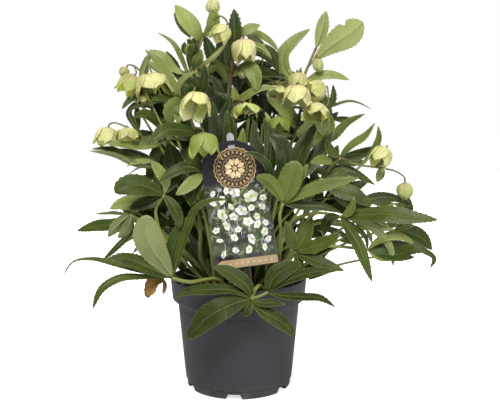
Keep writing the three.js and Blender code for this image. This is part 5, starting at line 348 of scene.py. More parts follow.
    ("leaf_back_centre","T",14,0.52,16,0.72,(-0.28,0.13,0.95),1,[(-27.1,94.4,239.9),(-16.2,106.4,244.9),(-5.4,118.4,246.6),(5.8,130.8,244.8)]),
    ("leaf_back_centre","T",16.2,0.52,12,0.72,(-0.07,-0.05,1),1,[(-27.1,94.4,239.9),(-39.7,107.3,245),(-52.3,120.1,244.9),(-65.2,133.3,239.1)]),
    ("leaf_back_centre","D",11.9,0.52,8,0.72,(-0.11,0.02,0.99),1,[(-27.1,94.4,239.9),(-42.6,96.1,243.5),(-58.1,97.9,241.8),(-74,99.7,234.5)]),
    ("leaf_back_centre","T",8.9,0.52,16,0.72,(-0,-0.31,0.95),1,[(-27.1,94.4,239.9),(-36.8,88.2,241.5),(-46.5,82.1,239.6),(-56.6,75.7,233.7)]),
    ("leaf_back_low","D",20,0.52,8,0.72,(0.13,0.2,0.97),1,[(-32.4,46.1,218.2),(-29,69.2,221.2),(-25.6,92.2,216),(-22.1,116,202.1)]),
    ("leaf_back_low","D",22.7,0.52,16,0.72,(-0.07,-0.13,0.99),1,[(-32.4,46.1,218.2),(-51.7,66,225.7),(-71,85.8,227),(-90.9,106.3,221.9)]),
    ("leaf_back_low","D",20.4,0.52,16,0.72,(-0.28,-0.07,0.96),1,[(-32.4,46.1,218.2),(-55.8,43.8,219.9),(-79.3,41.4,212.9),(-103.4,39,196.8)]),
    ("leaf_back_low","D",12.8,0.52,12,0.72,(-0.13,-0.18,0.98),1,[(-32.4,46.1,218.2),(-39.3,30.8,219.4),(-46.2,15.5,215.7),(-53.3,-0.3,207)]),
    ("leaf_back_upper_right","T",10.9,0.52,12,0.72,(0.18,-0.22,0.96),1,[(96.5,39,322),(97.4,25.9,323.2),(98.3,12.9,320.1),(99.2,-0.6,312.5)]),
    ("leaf_back_upper_right","D",15,0.52,12,0.72,(0.24,0.11,0.97),1,[(96.5,39,322),(102.9,54.8,324.5),(109.2,70.6,321.2),(115.7,86.8,311.8)]),
    ("leaf_back_upper_right","T",12.2,0.52,8,0.72,(-0.25,-0.04,0.97),1,[(96.5,39,322),(90.7,52,325),(84.9,64.9,324),(78.9,78.3,318.9)]),
    ("leaf_back_left","T",9.9,0.52,16,0.72,(-0.07,0.08,0.99),1,[(-89.7,-43.7,311),(-94.6,-34.3,312.5),(-99.4,-24.8,311.4),(-104.5,-15,307.5)]),
    ("leaf_back_left","T",14.8,0.52,8,0.72,(0.14,-0.16,0.98),1,[(-89.7,-43.7,311),(-95.8,-58.1,313.7),(-102,-72.4,312.2),(-108.4,-87.2,306.3)]),
    ("leaf_back_left","T",12.3,0.52,8,0.72,(0.07,-0.03,1),1,[(-89.7,-43.7,311),(-87.7,-57.9,314),(-85.8,-72.2,313.5),(-83.8,-86.8,309.3)]),
    ("leaf_back_left","D",9,0.52,16,0.72,(0.2,0.1,0.97),1,[(-89.7,-43.7,311),(-81.9,-51.6,313.1),(-74.1,-59.5,312.3),(-66.1,-67.6,308.5)]),
    ("leaf_back_left_low","D",10.4,0.52,16,0.72,(0.3,0.1,0.95),1,[(-94.5,91.9,212.3),(-84.8,100.7,214),(-75,109.5,210),(-64.9,118.6,200.1)]),
    ("leaf_back_left_low","T",16.7,0.52,16,0.72,(-0.13,0.16,0.98),1,[(-94.5,91.9,212.3),(-103.7,109.4,216.1),(-112.8,127,212),(-122.2,145.1,199.8)]),
    ("leaf_back_left_low","T",18.3,0.52,12,0.72,(-0.08,0.18,0.98),1,[(-94.5,91.9,212.3),(-114.4,101.4,217.2),(-134.3,110.9,213.9),(-154.7,120.7,201.7)]),
    ("leaf_back_left_low","T",16.3,0.52,8,0.72,(-0.03,-0.33,0.94),1,[(-94.5,91.9,212.3),(-111.3,84.5,214.3),(-128.1,77.2,211.4),(-145.3,69.6,203.2)]),
    ("leaf_back_left_low","T",11.9,0.52,16,0.72,(-0.26,-0.1,0.96),1,[(-94.5,91.9,212.3),(-102,80.6,214.5),(-109.5,69.2,211.4),(-117.2,57.6,202.8)]),
    ("leaf_back_upper_right","T",7.6,0.52,12,0.72,(0,-0.22,0.98),1,[(16.6,18.2,378.8),(15.7,8.3,380.4),(14.8,-1.7,378.3),(13.8,-11.9,372.1)]),
    ("leaf_back_upper_right","T",13.8,0.52,8,0.72,(0.22,0.09,0.97),1,[(16.6,18.2,378.8),(28.1,9.2,381.7),(39.5,0.2,380),(51.3,-9,373.6)]),
    ("leaf_back_upper_right","T",12.9,0.52,8,0.72,(-0.01,0.15,0.99),1,[(16.6,18.2,378.8),(31.4,25,383.4),(46.1,31.8,382.6),(61.3,38.8,376.2)]),
    ("leaf_back_upper_right","T",11.5,0.52,12,0.72,(0.25,0.08,0.97),1,[(16.6,18.2,378.8),(19.4,31.6,381.9),(22.2,45.1,380.1),(25.1,58.9,373.2)]),
    ("leaf_back_upper_right","T",7.7,0.52,12,0.72,(0.01,0.37,0.93),1,[(16.6,18.2,378.8),(10.7,25.5,379.7),(4.8,32.7,377),(-1.2,40.2,370.3)]),
    ("leaf_back_low","T",11.9,0.52,12,0.72,(0.21,0.09,0.97),1,[(36.5,62.2,227.3),(46.4,52.2,229.9),(56.3,42.2,228.6),(66.5,31.9,223.3)]),
    ("leaf_back_low","T",21.7,0.52,8,0.72,(-0.04,0.05,1),1,[(36.5,62.2,227.3),(48.5,82.3,233.8),(60.4,102.5,233.4),(72.7,123.2,226)]),
    ("leaf_back_low","D",14.9,0.52,8,0.72,(0.11,0.2,0.97),1,[(36.5,62.2,227.3),(28.9,78.1,229.7),(21.4,94,227.3),(13.5,110.3,219.7)]),
    ("leaf_back_low","T",11.6,0.52,16,0.72,(-0.03,0.32,0.95),1,[(36.5,62.2,227.3),(25.1,68.4,228.9),(13.7,74.6,226.5),(1.9,81,219.9)]),
    ("leaf_back_left_low","T",11.5,0.52,12,0.72,(0.06,-0.01,1),1,[(-112.2,33.3,185.6),(-106.1,44.2,188.5),(-100,55.1,188.4),(-93.7,66.3,184.9)]),
    ("leaf_back_left_low","T",15.2,0.52,12,0.72,(0.06,0.02,1),1,[(-112.2,33.3,185.6),(-119.4,50,190.6),(-126.5,66.7,190.7),(-133.9,83.9,185.8)]),
    ("leaf_back_left_low","T",10.7,0.52,16,0.72,(0.13,-0.01,0.99),1,[(-112.2,33.3,185.6),(-111.2,20.9,188.1),(-110.1,8.4,187.8),(-109,-4.4,184.7)]),
    ("leaf_back_right","T",13.2,0.52,16,0.72,(-0.07,-0.28,0.96),1,[(46.5,30.6,293.9),(50.8,15.7,295.6),(55,0.7,291.6),(59.4,-14.7,281.5)]),
    ("leaf_back_right","T",15.9,0.52,8,0.72,(0.42,0.1,0.9),1,[(46.5,30.6,293.9),(64.9,20.6,294.3),(83.2,10.6,286.9),(102.1,0.2,271.2)]),
    ("leaf_back_right","T",15.2,0.52,16,0.72,(0.33,0.18,0.92),1,[(46.5,30.6,293.9),(51.3,50.3,295.8),(56,70.1,290.4),(60.9,90.4,277.1)]),
    ("leaf_back_right","T",13.9,0.52,8,0.72,(0.11,0.37,0.92),1,[(46.5,30.6,293.9),(39.2,44.4,295.4),(31.9,58.3,290.7),(24.4,72.6,279.4)]),
    ("leaf_back_centre","T",11.6,0.52,16,0.72,(0.16,-0.28,0.95),1,[(14.8,27.7,230.3),(21.5,16.3,230.3),(28.3,4.9,225.9),(35.2,-6.9,216.7)]),
    ("leaf_back_centre","D",16.2,0.52,16,0.72,(0.28,0.09,0.96),1,[(14.8,27.7,230.3),(29.9,41.6,232.4),(45,55.4,226.8),(60.6,69.7,213)]),
    ("leaf_back_centre","T",16.3,0.52,12,0.72,(-0.2,0.16,0.96),1,[(14.8,27.7,230.3),(10.3,46.1,232.4),(5.7,64.5,228.4),(1.1,83.4,217.9)]),
    ("leaf_back_centre","T",10.7,0.52,16,0.72,(0.07,0.06,1),1,[(-24.7,54.8,286.8),(-14.4,60.6,289.6),(-4,66.4,288.6),(6.6,72.4,283.4)]),
    ("leaf_back_centre","T",12.5,0.52,16,0.72,(0.42,0.02,0.91),1,[(-24.7,54.8,286.8),(-16.1,66.4,288.6),(-7.6,78.1,284.5),(1.2,90.1,273.9)]),
    ("leaf_back_centre","T",13.6,0.52,8,0.72,(0.11,0.25,0.96),1,[(-24.7,54.8,286.8),(-22.7,71.8,289),(-20.8,88.9,284.5),(-18.8,106.5,273)]),
    ("leaf_back_centre","T",17.6,0.52,8,0.72,(-0.23,0.04,0.97),1,[(-24.7,54.8,286.8),(-32.5,71.8,291.8),(-40.4,88.7,289.5),(-48.4,106.2,279.4)]),
    ("leaf_back_centre","D",17,0.52,8,0.72,(-0.16,0.08,0.98),1,[(-24.7,54.8,286.8),(-41.3,61.8,290.7),(-58,68.8,287.5),(-75.2,76.1,276.9)]),
    ("leaf_back_centre","T",12.1,0.52,8,0.72,(-0.09,-0.02,1),1,[(-24.7,54.8,286.8),(-40.2,52.8,289.5),(-55.7,50.9,288.1),(-71.7,48.9,282.4)]),
    ("leaf_back_centre","T",11.1,0.52,16,0.72,(-0.25,-0.05,0.97),1,[(-24.7,54.8,286.8),(-35.5,49,288.5),(-46.4,43.2,285.4),(-57.6,37.2,277.4)]),
    ("leaf_back_left_low","T",13.5,0.52,12,0.72,(0.33,0.08,0.94),1,[(-124.6,28.1,226.7),(-119.8,41.6,227.9),(-115,55.2,225.1),(-110,69.2,217.9)]),
    ("leaf_back_left_low","T",14.9,0.52,12,0.72,(-0.04,0.07,1),1,[(-124.6,28.1,226.7),(-131.4,44.2,229.5),(-138.1,60.3,228.1),(-145.1,76.9,222.2)]),
    ("leaf_back_left_low","T",11.1,0.52,8,0.72,(-0.13,-0.23,0.97),1,[(-124.6,28.1,226.7),(-124.4,15.4,227.7),(-124.1,2.7,224.8),(-123.9,-10.4,217.8)]),
    ("leaf_back_upper_right","T",9.3,0.52,16,0.72,(-0.07,-0.25,0.97),1,[(46,71.6,384),(51.9,61,385.9),(57.8,50.4,383.7),(63.8,39.4,376.9)]),
    ("leaf_back_upper_right","D",15.3,0.52,12,0.72,(0.22,-0.19,0.96),1,[(46,71.6,384),(63.6,71.7,387.1),(81.1,71.8,383.2),(99.2,71.8,371.7)]),
    ("leaf_back_upper_right","D",15,0.52,16,0.72,(0.03,0.09,1),1,[(46,71.6,384),(58.4,86.4,388.2),(70.8,101.1,386.5),(83.5,116.3,378.7)]),
    ("leaf_back_upper_right","T",15,0.52,12,0.72,(-0.3,-0.07,0.95),1,[(46,71.6,384),(40.7,87.1,388.2),(35.3,102.5,387.8),(29.7,118.4,382.3)]),
    ("leaf_back_upper_right","D",10.4,0.52,8,0.72,(-0.2,0.08,0.98),1,[(46,71.6,384),(34.3,75.8,385.6),(22.6,79.9,382.9),(10.6,84.2,375.6)]),
]
# stalks: node, kind, radius at the start, radius at the end, points
STALKS = [
    ("leaf_front","P",2.6,2.2,[(32.8,-32.4,110),(25.9,-66,139.7),(22.3,-82,142.4),(18.8,-91,139.9),(15.3,-97,132)]),
    ("leaf_front","P",2,1.6,[(15.3,-97,132),(25.6,-94,134.8),(34.8,-90,138.5)]),
    ("leaf_low_right","P",2.8,1.7,[(27,-16.9,110),(56.7,-30,160.9),(74,-42,182.9),(108.9,-52,184.8),(152.7,-60,181.5)]),
    ("leaf_far_right","P",2.6,1.6,[(35,5.1,110),(64.6,10.3,180.7),(101.7,5.1,204.5),(149.3,-12.9,199.9),(190,-25.9,199.6)]),
    ("leaf_right","P",2.8,1.8,[(26.6,4.6,110),(48.7,-12,187.2),(68.6,-28,213.4),(97.5,-42,222.8),(121,-55,219.9)]),
    ("leaf_small_right","P",2.2,1.6,[(13.7,-23.3,110),(54.7,-50,157.8),(67.5,-72,181.5)]),
    ("leaf_label_right","P",2.4,1.8,[(8.8,-19.1,110),(45.3,-44,171.1),(50.4,-62,203.3),(48.6,-76,226.6),(51.8,-82,240.1)]),
    ("leaf_upper_right","P",2.4,1.6,[(56.2,1,110),(55.1,-34,193.6),(76.9,-46,234.1),(98.6,-50,265.4)]),
    ("leaf_low_left","P",2.8,2.3,[(-6.4,-21.1,110),(-27.7,-46,143.5),(-39,-58,145.1),(-56,-68,145),(-76.6,-72,150.7)]),
    ("withered_leaf","W",1.3,1,[(-56.2,-16.8,110),(-73.3,-44,145.5),(-80.9,-52,151),(-88.6,-58,146.3)]),
    ("leaf_mid_left","P",2.4,1.8,[(-19.3,-6.4,110),(-64.7,-30,160.9),(-94.3,-52,209.9),(-95.7,-58,229.8),(-85.7,-62,246.8)]),
    ("leaf_far_left","P",2.6,1.7,[(-26.4,5.5,110),(-54.6,0,154.6),(-90.9,-7.9,190.3),(-131.3,-23.5,217.6)]),
    ("leaf_upper_left","P",2.4,1.6,[(-23.1,15.7,110),(-42.8,17.8,192.2),(-72.7,3.9,244.9),(-97.7,-12.2,278.6)]),
    ("leaf_label_left","P",2.2,1.6,[(-4.8,-8.7,110),(-12.4,-30,188),(-26.2,-42,238.4),(-39.7,-50,272.5)]),
    ("leaf_centre_right","P",2.2,1.7,[(16.4,-0.3,110),(28.7,-28,199.9),(35.6,-40,256)]),
    ("leaf_centre_right","P",1.3,1.2,[(35.6,-40,256),(38.9,-50,256),(37.5,-58,259.2)]),
    ("leaf_centre_left","P",2.2,1.6,[(6.9,-11.8,110),(-7.6,-28,199.9),(-16.7,-36,285.4)]),
    ("stem_left","S",3,1.7,[(-11.3,3.5,110),(-45.3,-10.1,156.7),(-47.3,-10.9,208.2),(-65.4,7.3,257),(-91.9,29.1,302.9),(-111,45.7,342.8),(-113.8,50.4,358)]),
    ("stem_left","S",1.3,1,[(-92.5,29.6,304),(-109.2,4.7,299.5),(-118.2,-10.2,305.3),(-129.3,-16.1,318.9),(-139.7,-17.7,326.1),(-151.8,-17.3,328.5),(-156,-15.8,326),(-156.3,-16.5,323.4)]),
    ("stem_left","S",1,1,[(-129,-16,318.6),(-135.1,-15.9,324.9),(-134.8,-16.8,322.3)]),
    ("stem_left","S",1.2,1,[(-113.8,50.4,358),(-115.4,44.3,375.7),(-122.4,41.3,389.4),(-132.1,40.2,398.1),(-128.8,36.2,388.9),(-130.3,35.6,386.7)]),
    ("stem_left","S",1,1,[(-122.4,41.3,389.4),(-114.4,39.2,393.1),(-117.1,45.5,386.1),(-116,43.8,384.2)]),
    ("stem_left","S",0.9,0.9,[(-132.1,40.2,398.1),(-140.1,40.7,399),(-141.4,40.1,396.6)]),
    ("stem_left","S",1,1,[(-113.8,50.4,358),(-122.1,38.7,365.3),(-121.8,37.6,362.7)]),
    ("stem_left_centre","S",3.05,1.6,[(-1,9.4,110),(-20.7,0,188.9),(-37,-12.1,259.1),(-48.6,-33,313.7),(-57.4,-39.6,342.2),(-55.9,-39.2,373.5),(-49.7,-40.9,402.3),(-40.2,-41.8,428.5)]),
    ("stem_left_centre","S",1.3,1.1,[(-49.3,-33.6,316),(-46.1,-53.7,324),(-39.5,-62.7,321.7),(-39.3,-63.3,319)]),
    ("stem_left_centre","S",1.2,1,[(-56.4,-39.2,369.7),(-49,-56.3,370),(-49.7,-63.1,365.4),(-47.1,-54.6,364.1),(-47.2,-56.3,361.9)]),
    ("stem_left_centre","S",1.2,1,[(-40.2,-41.8,428.5),(-34.2,-44.4,443),(-28.9,-44.8,451.6),(-28.7,-44.7,454.4)]),
    ("stem_left_centre","S",1.1,1,[(-35.3,-44.4,440.8),(-27,-49.6,448.2),(-18.8,-54.8,451.1),(-11.4,-55,441.8),(-12.8,-56,439.6)]),
    ("stem_left_centre","S",1,0.9,[(-49.7,-40.9,402.3),(-54.7,-51.7,404.1),(-56.2,-55.2,403.5),(-56,-55.1,406.3)]),
    ("stem_centre","S",3.4,2,[(7.5,-2,110),(-3.2,-2.3,195.6),(-12.9,0.6,282.5),(-15.2,4.6,343.6),(-11.5,6.4,370.4),(-7.8,8.1,394.6),(-9,9.2,416.4),(-2.9,9.2,430.8)]),
    ("stem_centre","S",1.4,1.2,[(-2.9,9.2,430.8),(4.6,-3.6,434.6),(6.1,-8.3,430.6),(6.3,-9,427.9)]),
    ("stem_centre","S",1.1,1,[(-8.8,8.7,405.2),(-2.8,-1.2,396.7),(3.3,-4.7,389.5)]),
    ("stem_centre","S",1.2,1,[(-15.4,4.4,340.9),(-0.2,-15.3,356),(9.4,-21.2,352.1),(9.4,-23.4,350.3)]),
    ("stem_right","S",3.4,1.6,[(18.4,6.5,110),(29.4,16.7,192.4),(52.2,27.4,267.6),(72.3,31.1,318),(79.6,32.2,355.6),(80.8,33.6,380.5),(88.2,34.1,400.4),(96.9,36,420.2)]),
    ("stem_right","S",1.2,1,[(80.8,33.6,380.5),(73.7,20.7,390.1),(72,14.5,391.6),(72.2,13.6,389)]),
    ("stem_right","S",1.1,1,[(79.4,32.1,353.4),(70.9,12.6,375.3),(72.4,4.5,376.6),(72.2,3.6,374)]),
    ("stem_right","S",1.1,1,[(88.2,34.1,400.4),(96.3,26.4,407.5),(96.1,21.7,409.9),(96.6,21.1,407.2)]),
    ("stem_right","S",1.3,1,[(77.8,31.8,342.7),(99.5,26.8,340.7),(111.8,25.7,350.7),(111.9,28.2,365.6),(110.2,27.6,372.7),(107.6,26.7,371.8)]),
    ("stem_right","S",1.1,1,[(99.5,26.8,340.7),(98.4,14.6,350.8),(100,14.2,350.8),(99.2,12.5,348.7)]),
    ("stem_right","S",1.1,1,[(71.8,31,316.4),(56,6.5,333.8),(47.2,-3.4,336.9),(47.4,-4.5,334.3)]),
    ("stem_right","S",1,0.9,[(78.8,31.4,354.7),(58.5,13,377.7),(49.5,9.4,374.3),(48.9,7.7,372.1)]),
    ("stem_far_right","S",2.6,1.8,[(31.9,-7.2,110),(74,1,192.5),(89.7,-32,246.7),(105.8,-47.6,274.6),(118.9,-55,290.5)]),
    ("stem_far_right","S",1.3,1,[(118.9,-55,290.5),(136,-58.1,282.6),(159,-59.8,279.2),(171.9,-59.3,276.9),(182.5,-58.9,274.5),(190.5,-60.3,270),(195.4,-53.2,263.7),(195.3,-54,261)]),
    ("stem_far_right","S",1.1,1,[(159.7,-59.8,279.1),(168.5,-64.1,290),(170.5,-65.4,297),(172.7,-57.4,303.6),(171.3,-58.6,301.4)]),
    ("leaf_back_left_low","P",2.5,1.8,[(-22.2,23.2,110),(-54.8,51.6,160.2),(-85,78,175)]),
    ("leaf_back_low","P",2.5,1.8,[(1.1,30.5,110),(-3.6,72.4,163),(-8,112,179)]),
    ("leaf_back_right_low","P",2.5,1.8,[(36.8,28.3,110),(60.9,54.7,165.9),(84,80,183)]),
    ("leaf_back_left","P",2.5,1.8,[(-12.1,24.1,110),(-39.8,42.2,225),(-70,62,265)]),
    ("leaf_back_centre","P",2.5,1.8,[(10.3,32.6,110),(7.3,57,232.2),(4,84,275)]),
    ("leaf_back_right","P",2.5,1.8,[(25.2,20.1,110),(51.4,38.2,222.1),(80,58,261)]),
    ("leaf_back_upper_left","P",2.5,1.8,[(-11.1,35.6,110),(-23.7,41.4,284.7),(-38,48,348)]),
    ("leaf_back_upper_right","P",2.5,1.8,[(20.1,33.5,110),(32.2,41.2,279.7),(46,50,341)]),
    ("stem_back","S",3.2,1.8,[(4.6,20.3,110),(-2,38,233),(-6,66,333),(-20,70,391)]),
    ("stem_back","S",1.4,1,[(-6.4,66.3,335.1),(22,76,375),(44,86,395),(51.1,96.5,388.8),(51.8,98,386.6)]),
    ("stem_back","S",1.2,1,[(-20,70,391),(-34,82,407),(-39.3,92.3,400.7),(-39.9,94,398.5)]),
    ("leaf_back_left_low","P",2.3,1.3,[(-32.4,13.6,110),(-56.5,17.4,157.8),(-92.6,22.7,196.9)]),
    ("leaf_back_upper_left","P",2.5,1.3,[(-3.8,24.8,110),(-6.6,31.7,259.3),(-10.8,41.3,381.5)]),
    ("leaf_back_left","P",2.5,1.3,[(-34,24.3,110),(-59.8,31.1,219.1),(-98.5,40.5,308.3)]),
    ("leaf_back_right","P",2.3,1.3,[(34,19.6,110),(63,25.1,170.6),(106.5,32.7,220.1)]),
    ("leaf_back_upper_left","P",2.5,1.3,[(-22,32.2,110),(-38.4,41.3,266.4),(-62.9,53.7,394.4)]),
    ("leaf_back_upper_right","P",2.5,1.3,[(6.3,28.3,110),(11,36.3,233.8),(18.1,47.2,335)]),
    ("leaf_back_upper_right","P",2.5,1.3,[(11.2,26.9,110),(19.5,34.4,283.8),(31.9,44.8,426)]),
    ("leaf_back_right","P",2.4,1.3,[(34,12.5,110),(98.7,16,173.4),(195.9,20.9,225.3)]),
    ("leaf_back_left_low","P",2,1.3,[(-24.9,18.1,110),(-43.3,23.1,123.3),(-71,30.1,134.3)]),
    ("leaf_back_upper_left","P",2.5,1.3,[(-34,15.8,110),(-69.7,20.2,258.3),(-123.3,26.4,379.6)]),
    ("leaf_back_right_low","P",2.3,1.3,[(17.3,19,110),(30.1,24.4,159.2),(49.4,31.7,199.4)]),
    ("leaf_back_left","P",2.4,1.3,[(-34,13.3,110),(-82.1,17,176.5),(-154.1,22.1,230.8)]),
    ("leaf_back_upper_right","P",2.5,1.3,[(34,27.9,110),(68,35.7,232.2),(119,46.4,332.2)]),
    ("leaf_back_upper_left","P",2.5,1.3,[(-21.7,33,110),(-37.8,42.2,288.6),(-62,54.9,434.7)]),
    ("leaf_back_right","P",2.5,1.3,[(34,13.3,110),(84.4,17,202.8),(159.9,22.1,278.7)]),
    ("leaf_back_right_low","P",2.2,1.3,[(34,19.8,110),(70.5,25.4,145.1),(125.2,33.1,173.9)]),
    ("leaf_back_upper_left","P",2.5,1.3,[(-34,25.6,110),(-72.6,32.8,241),(-130.4,42.7,348.2)]),
    ("leaf_back_low","P",2.3,1.3,[(-14.6,20.3,110),(-25.5,26,162.2),(-41.8,33.8,204.9)]),
    ("leaf_back_centre","P",2.5,1.3,[(0.9,27.8,110),(1.6,35.6,217.6),(2.6,46.3,305.6)]),
    ("leaf_back_right_low","P",2.3,1.3,[(34,19.6,110),(102.5,25.1,157.2),(205.3,32.7,195.9)]),
    ("leaf_back_right_low","P",2.1,1.3,[(34,10.8,110),(90.6,13.8,136.4),(175.5,18,158)]),
    ("leaf_back_right_low","P",2.3,1.3,[(25.1,19.7,110),(43.7,25.3,162),(71.6,32.9,204.6)]),
    ("leaf_back_right_low","P",2.2,1.3,[(34,13,110),(85.1,16.6,155.7),(161.8,21.6,193.1)]),
    ("leaf_back_right_low","P",2.1,1.3,[(34,9.8,110),(69.5,12.6,127.5),(122.8,16.4,141.8)]),
    ("leaf_back_upper_left","P",2.5,1.3,[(-34,18.4,110),(-66.6,23.5,273.1),(-115.6,30.6,406.5)]),
    ("leaf_back_upper_right","P",2.5,1.3,[(17.8,28.1,110),(31,35.9,272.4),(50.8,46.8,405.2)]),
    ("leaf_back_low","P",1.6,1.3,[(44.5,4,122.9),(50.8,8,152.9),(54.5,12,193.2)]),
    ("leaf_back_low","P",1.5,1.2,[(52.3,10,118.9),(57.3,14,151.7),(59.9,18,184.5)]),
    ("leaf_back_left","P",1.6,1.2,[(-1,8,122),(-18.6,18,230.5),(-33.4,24,338.3)]),
    ("leaf_back_left","P",1.6,1.2,[(6.6,12,121),(24.3,18,230.5),(29.2,22,325.9)]),
    ("leaf_back_left","P",1.6,1.2,[(-8.5,4,122.9),(-38.1,4,219.8),(-57.5,8,306.7)]),
    ("leaf_back_left","P",1.6,1.2,[(-3.4,2,123.4),(-28.1,2,220.1),(-42.5,4,299.5)]),
    ("leaf_back_left","P",2.4,1.6,[(-27.7,34.5,113),(-52.5,52.2,261.8),(-86.7,76.6,319.7)]),
    ("leaf_back_upper_left","P",2.4,1.6,[(-23.6,9,113),(-44.7,13.7,283.1),(-73.8,20.1,349.3)]),
    ("leaf_back_left","P",2.4,1.6,[(-13.9,43.9,113),(-26.3,66.5,244.4),(-43.4,97.6,295.5)]),
    ("leaf_back_upper_right","P",2.4,1.6,[(31.3,-17.1,113),(59.3,-25.8,268.9),(97.9,-37.9,329.5)]),
    ("leaf_back_right","P",2.4,1.6,[(15.8,44,113),(29.9,70.8,203.1),(49.4,107.7,238.1)]),
    ("leaf_back_left","P",2.4,1.6,[(-19.6,8.2,113),(-37.1,12.4,197.4),(-61.3,18.2,230.3)]),
    ("leaf_back_centre","P",2.4,1.6,[(-8.7,42.5,113),(-16.4,64.3,204.3),(-27.1,94.4,239.9)]),
    ("leaf_back_low","P",2.4,1.6,[(-10.4,20.8,113),(-19.6,31.4,188.7),(-32.4,46.1,218.2)]),
    ("leaf_back_upper_right","P",2.4,1.6,[(30.9,17.5,113),(58.5,26.5,263.5),(96.5,39,322)]),
    ("leaf_back_left","P",2.4,1.6,[(-28.7,-19.7,113),(-54.3,-29.8,255.6),(-89.7,-43.7,311)]),
    ("leaf_back_left_low","P",2.4,1.6,[(-30.3,41.3,113),(-57.3,62.6,184.5),(-94.5,91.9,212.3)]),
    ("leaf_back_upper_right","P",2.4,1.6,[(5.3,8.2,113),(10.1,12.4,304.4),(16.6,18.2,378.8)]),
    ("leaf_back_low","P",2.4,1.6,[(11.7,28,113),(22.1,42.4,195.3),(36.5,62.2,227.3)]),
    ("leaf_back_left_low","P",2.4,1.6,[(-35.9,15,113),(-68,22.7,165.3),(-112.2,33.3,185.6)]),
    ("leaf_back_right","P",2.4,1.6,[(14.9,13.8,113),(28.2,20.8,243.3),(46.5,30.6,293.9)]),
    ("leaf_back_centre","P",2.4,1.6,[(4.7,12.5,113),(9,18.9,197.5),(14.8,27.7,230.3)]),
    ("leaf_back_centre","P",2.4,1.6,[(-7.9,24.6,113),(-14.9,37.3,238.1),(-24.7,54.8,286.8)]),
    ("leaf_back_left_low","P",2.4,1.6,[(-39.9,12.6,113),(-75.4,19.1,194.8),(-124.6,28.1,226.7)]),
    ("leaf_back_upper_right","P",2.4,1.6,[(14.7,32.2,113),(27.9,48.8,308.1),(46,71.6,384)]),
]
# flowers: node, kind, radius, length, openness, blush, base, axis
BLOOMS = [
    ("flower_left_outer","bell",12.656,28.08,0.3,0.45,(-130.7,35.5,386.1),(-0.547,-0.207,-0.811)),
    ("flower_left_large","bell",22.256,31.088,0.5,0.55,(-115.7,43.4,383.7),(0.34,-0.42,-0.84)),
    ("flower_left_small","bell",7.6,14.4,0.4,0.3,(-121.7,37.3,362.1),(0.128,-0.393,-0.911)),
    ("bud_left","bud",6.3,12.6,0,0.2,(-141.7,40,396),(-0.466,-0.207,-0.86)),
    ("flower_far_left","bell",12.6,22.7,0.45,0.2,(-156.4,-16.7,322.7),(-0.121,-0.269,-0.956)),
    ("flower_far_left_inner","bell",12,15.6,0.45,0.2,(-134.7,-17,321.6),(0.124,-0.314,-0.941)),
    ("flower_centre_left","bell",15.52,26.772,0.62,0.85,(-47.2,-56.7,361.3),(-0.017,-0.589,-0.808)),
    ("flower_label_top","bell",15.5,29.4,0.5,0.1,(-39.3,-63.5,318.3),(0.055,-0.226,-0.973)),
    ("bud_top","bud",7.8,16.4,0,0.1,(-28.7,-44.7,455.1),(0.055,0.031,0.998)),
    ("flower_top","bell",10.17,20.52,0.3,0.15,(-13.2,-56.2,439.1),(-0.506,-0.357,-0.785)),
    ("bud_centre","bell",14.9,27.508,-0.45,0.8,(6.3,-9.2,427.2),(0.049,-0.269,-0.962)),
    ("bud_small_left","bud",5.248,12.948,0,0,(-56,-55.1,407),(0.058,0.03,0.998)),
    ("flower_middle","bell",13.244,17.745,0.5,0,(9.4,-23.9,349.8),(0.1,-0.45,-0.88)),
    ("flower_right_top","bell",11.1,19.9,0.35,0.6,(72.3,13.4,388.3),(0.084,-0.313,-0.946)),
    ("flower_right_middle","bell",15.2,26.6,0.45,1,(72.2,3.4,373.3),(-0.059,-0.315,-0.947)),
    ("flower_right_side","bell",13.1,23.5,0.4,0.2,(107,26.5,371.6),(-0.902,-0.303,-0.307)),
    ("flower_right_lower","bell",14.1,25.4,0.55,0.5,(99,12.1,348.2),(-0.294,-0.603,-0.741)),
    ("bud_right_top","bud",6.396,17.115,0,0.2,(96.7,20.9,406.5),(0.185,-0.221,-0.958)),
    ("bud_middle_right","bell",13.195,19.895,0.4,0,(47.5,-4.8,333.7),(0.084,-0.4,-0.913)),
    ("flower_middle_right","bell",9.8,15.6,0.6,0.8,(48.8,7.3,371.6),(-0.212,-0.591,-0.778)),
    ("flower_far_right","bell",11.352,25.2,0.25,0.2,(171,-58.9,300.9),(-0.476,-0.428,-0.768)),
    ("bud_far_right","bud",9.3,19.6,0,0.4,(195.3,-54.2,260.3),(-0.028,-0.272,-0.962)),
    ("flower_back_right","bell",17,24,0.6,0.3,(52,98.4,386),(0.249,0.549,-0.798)),
    ("flower_back_left","bell",15,24,0.45,0.35,(-40,94.4,398),(-0.204,0.612,-0.764)),
    ("stem_centre","bud",4.4,9.5,0,0.25,(3.3,-5,390),(0.3,-0.35,-0.88)),
]
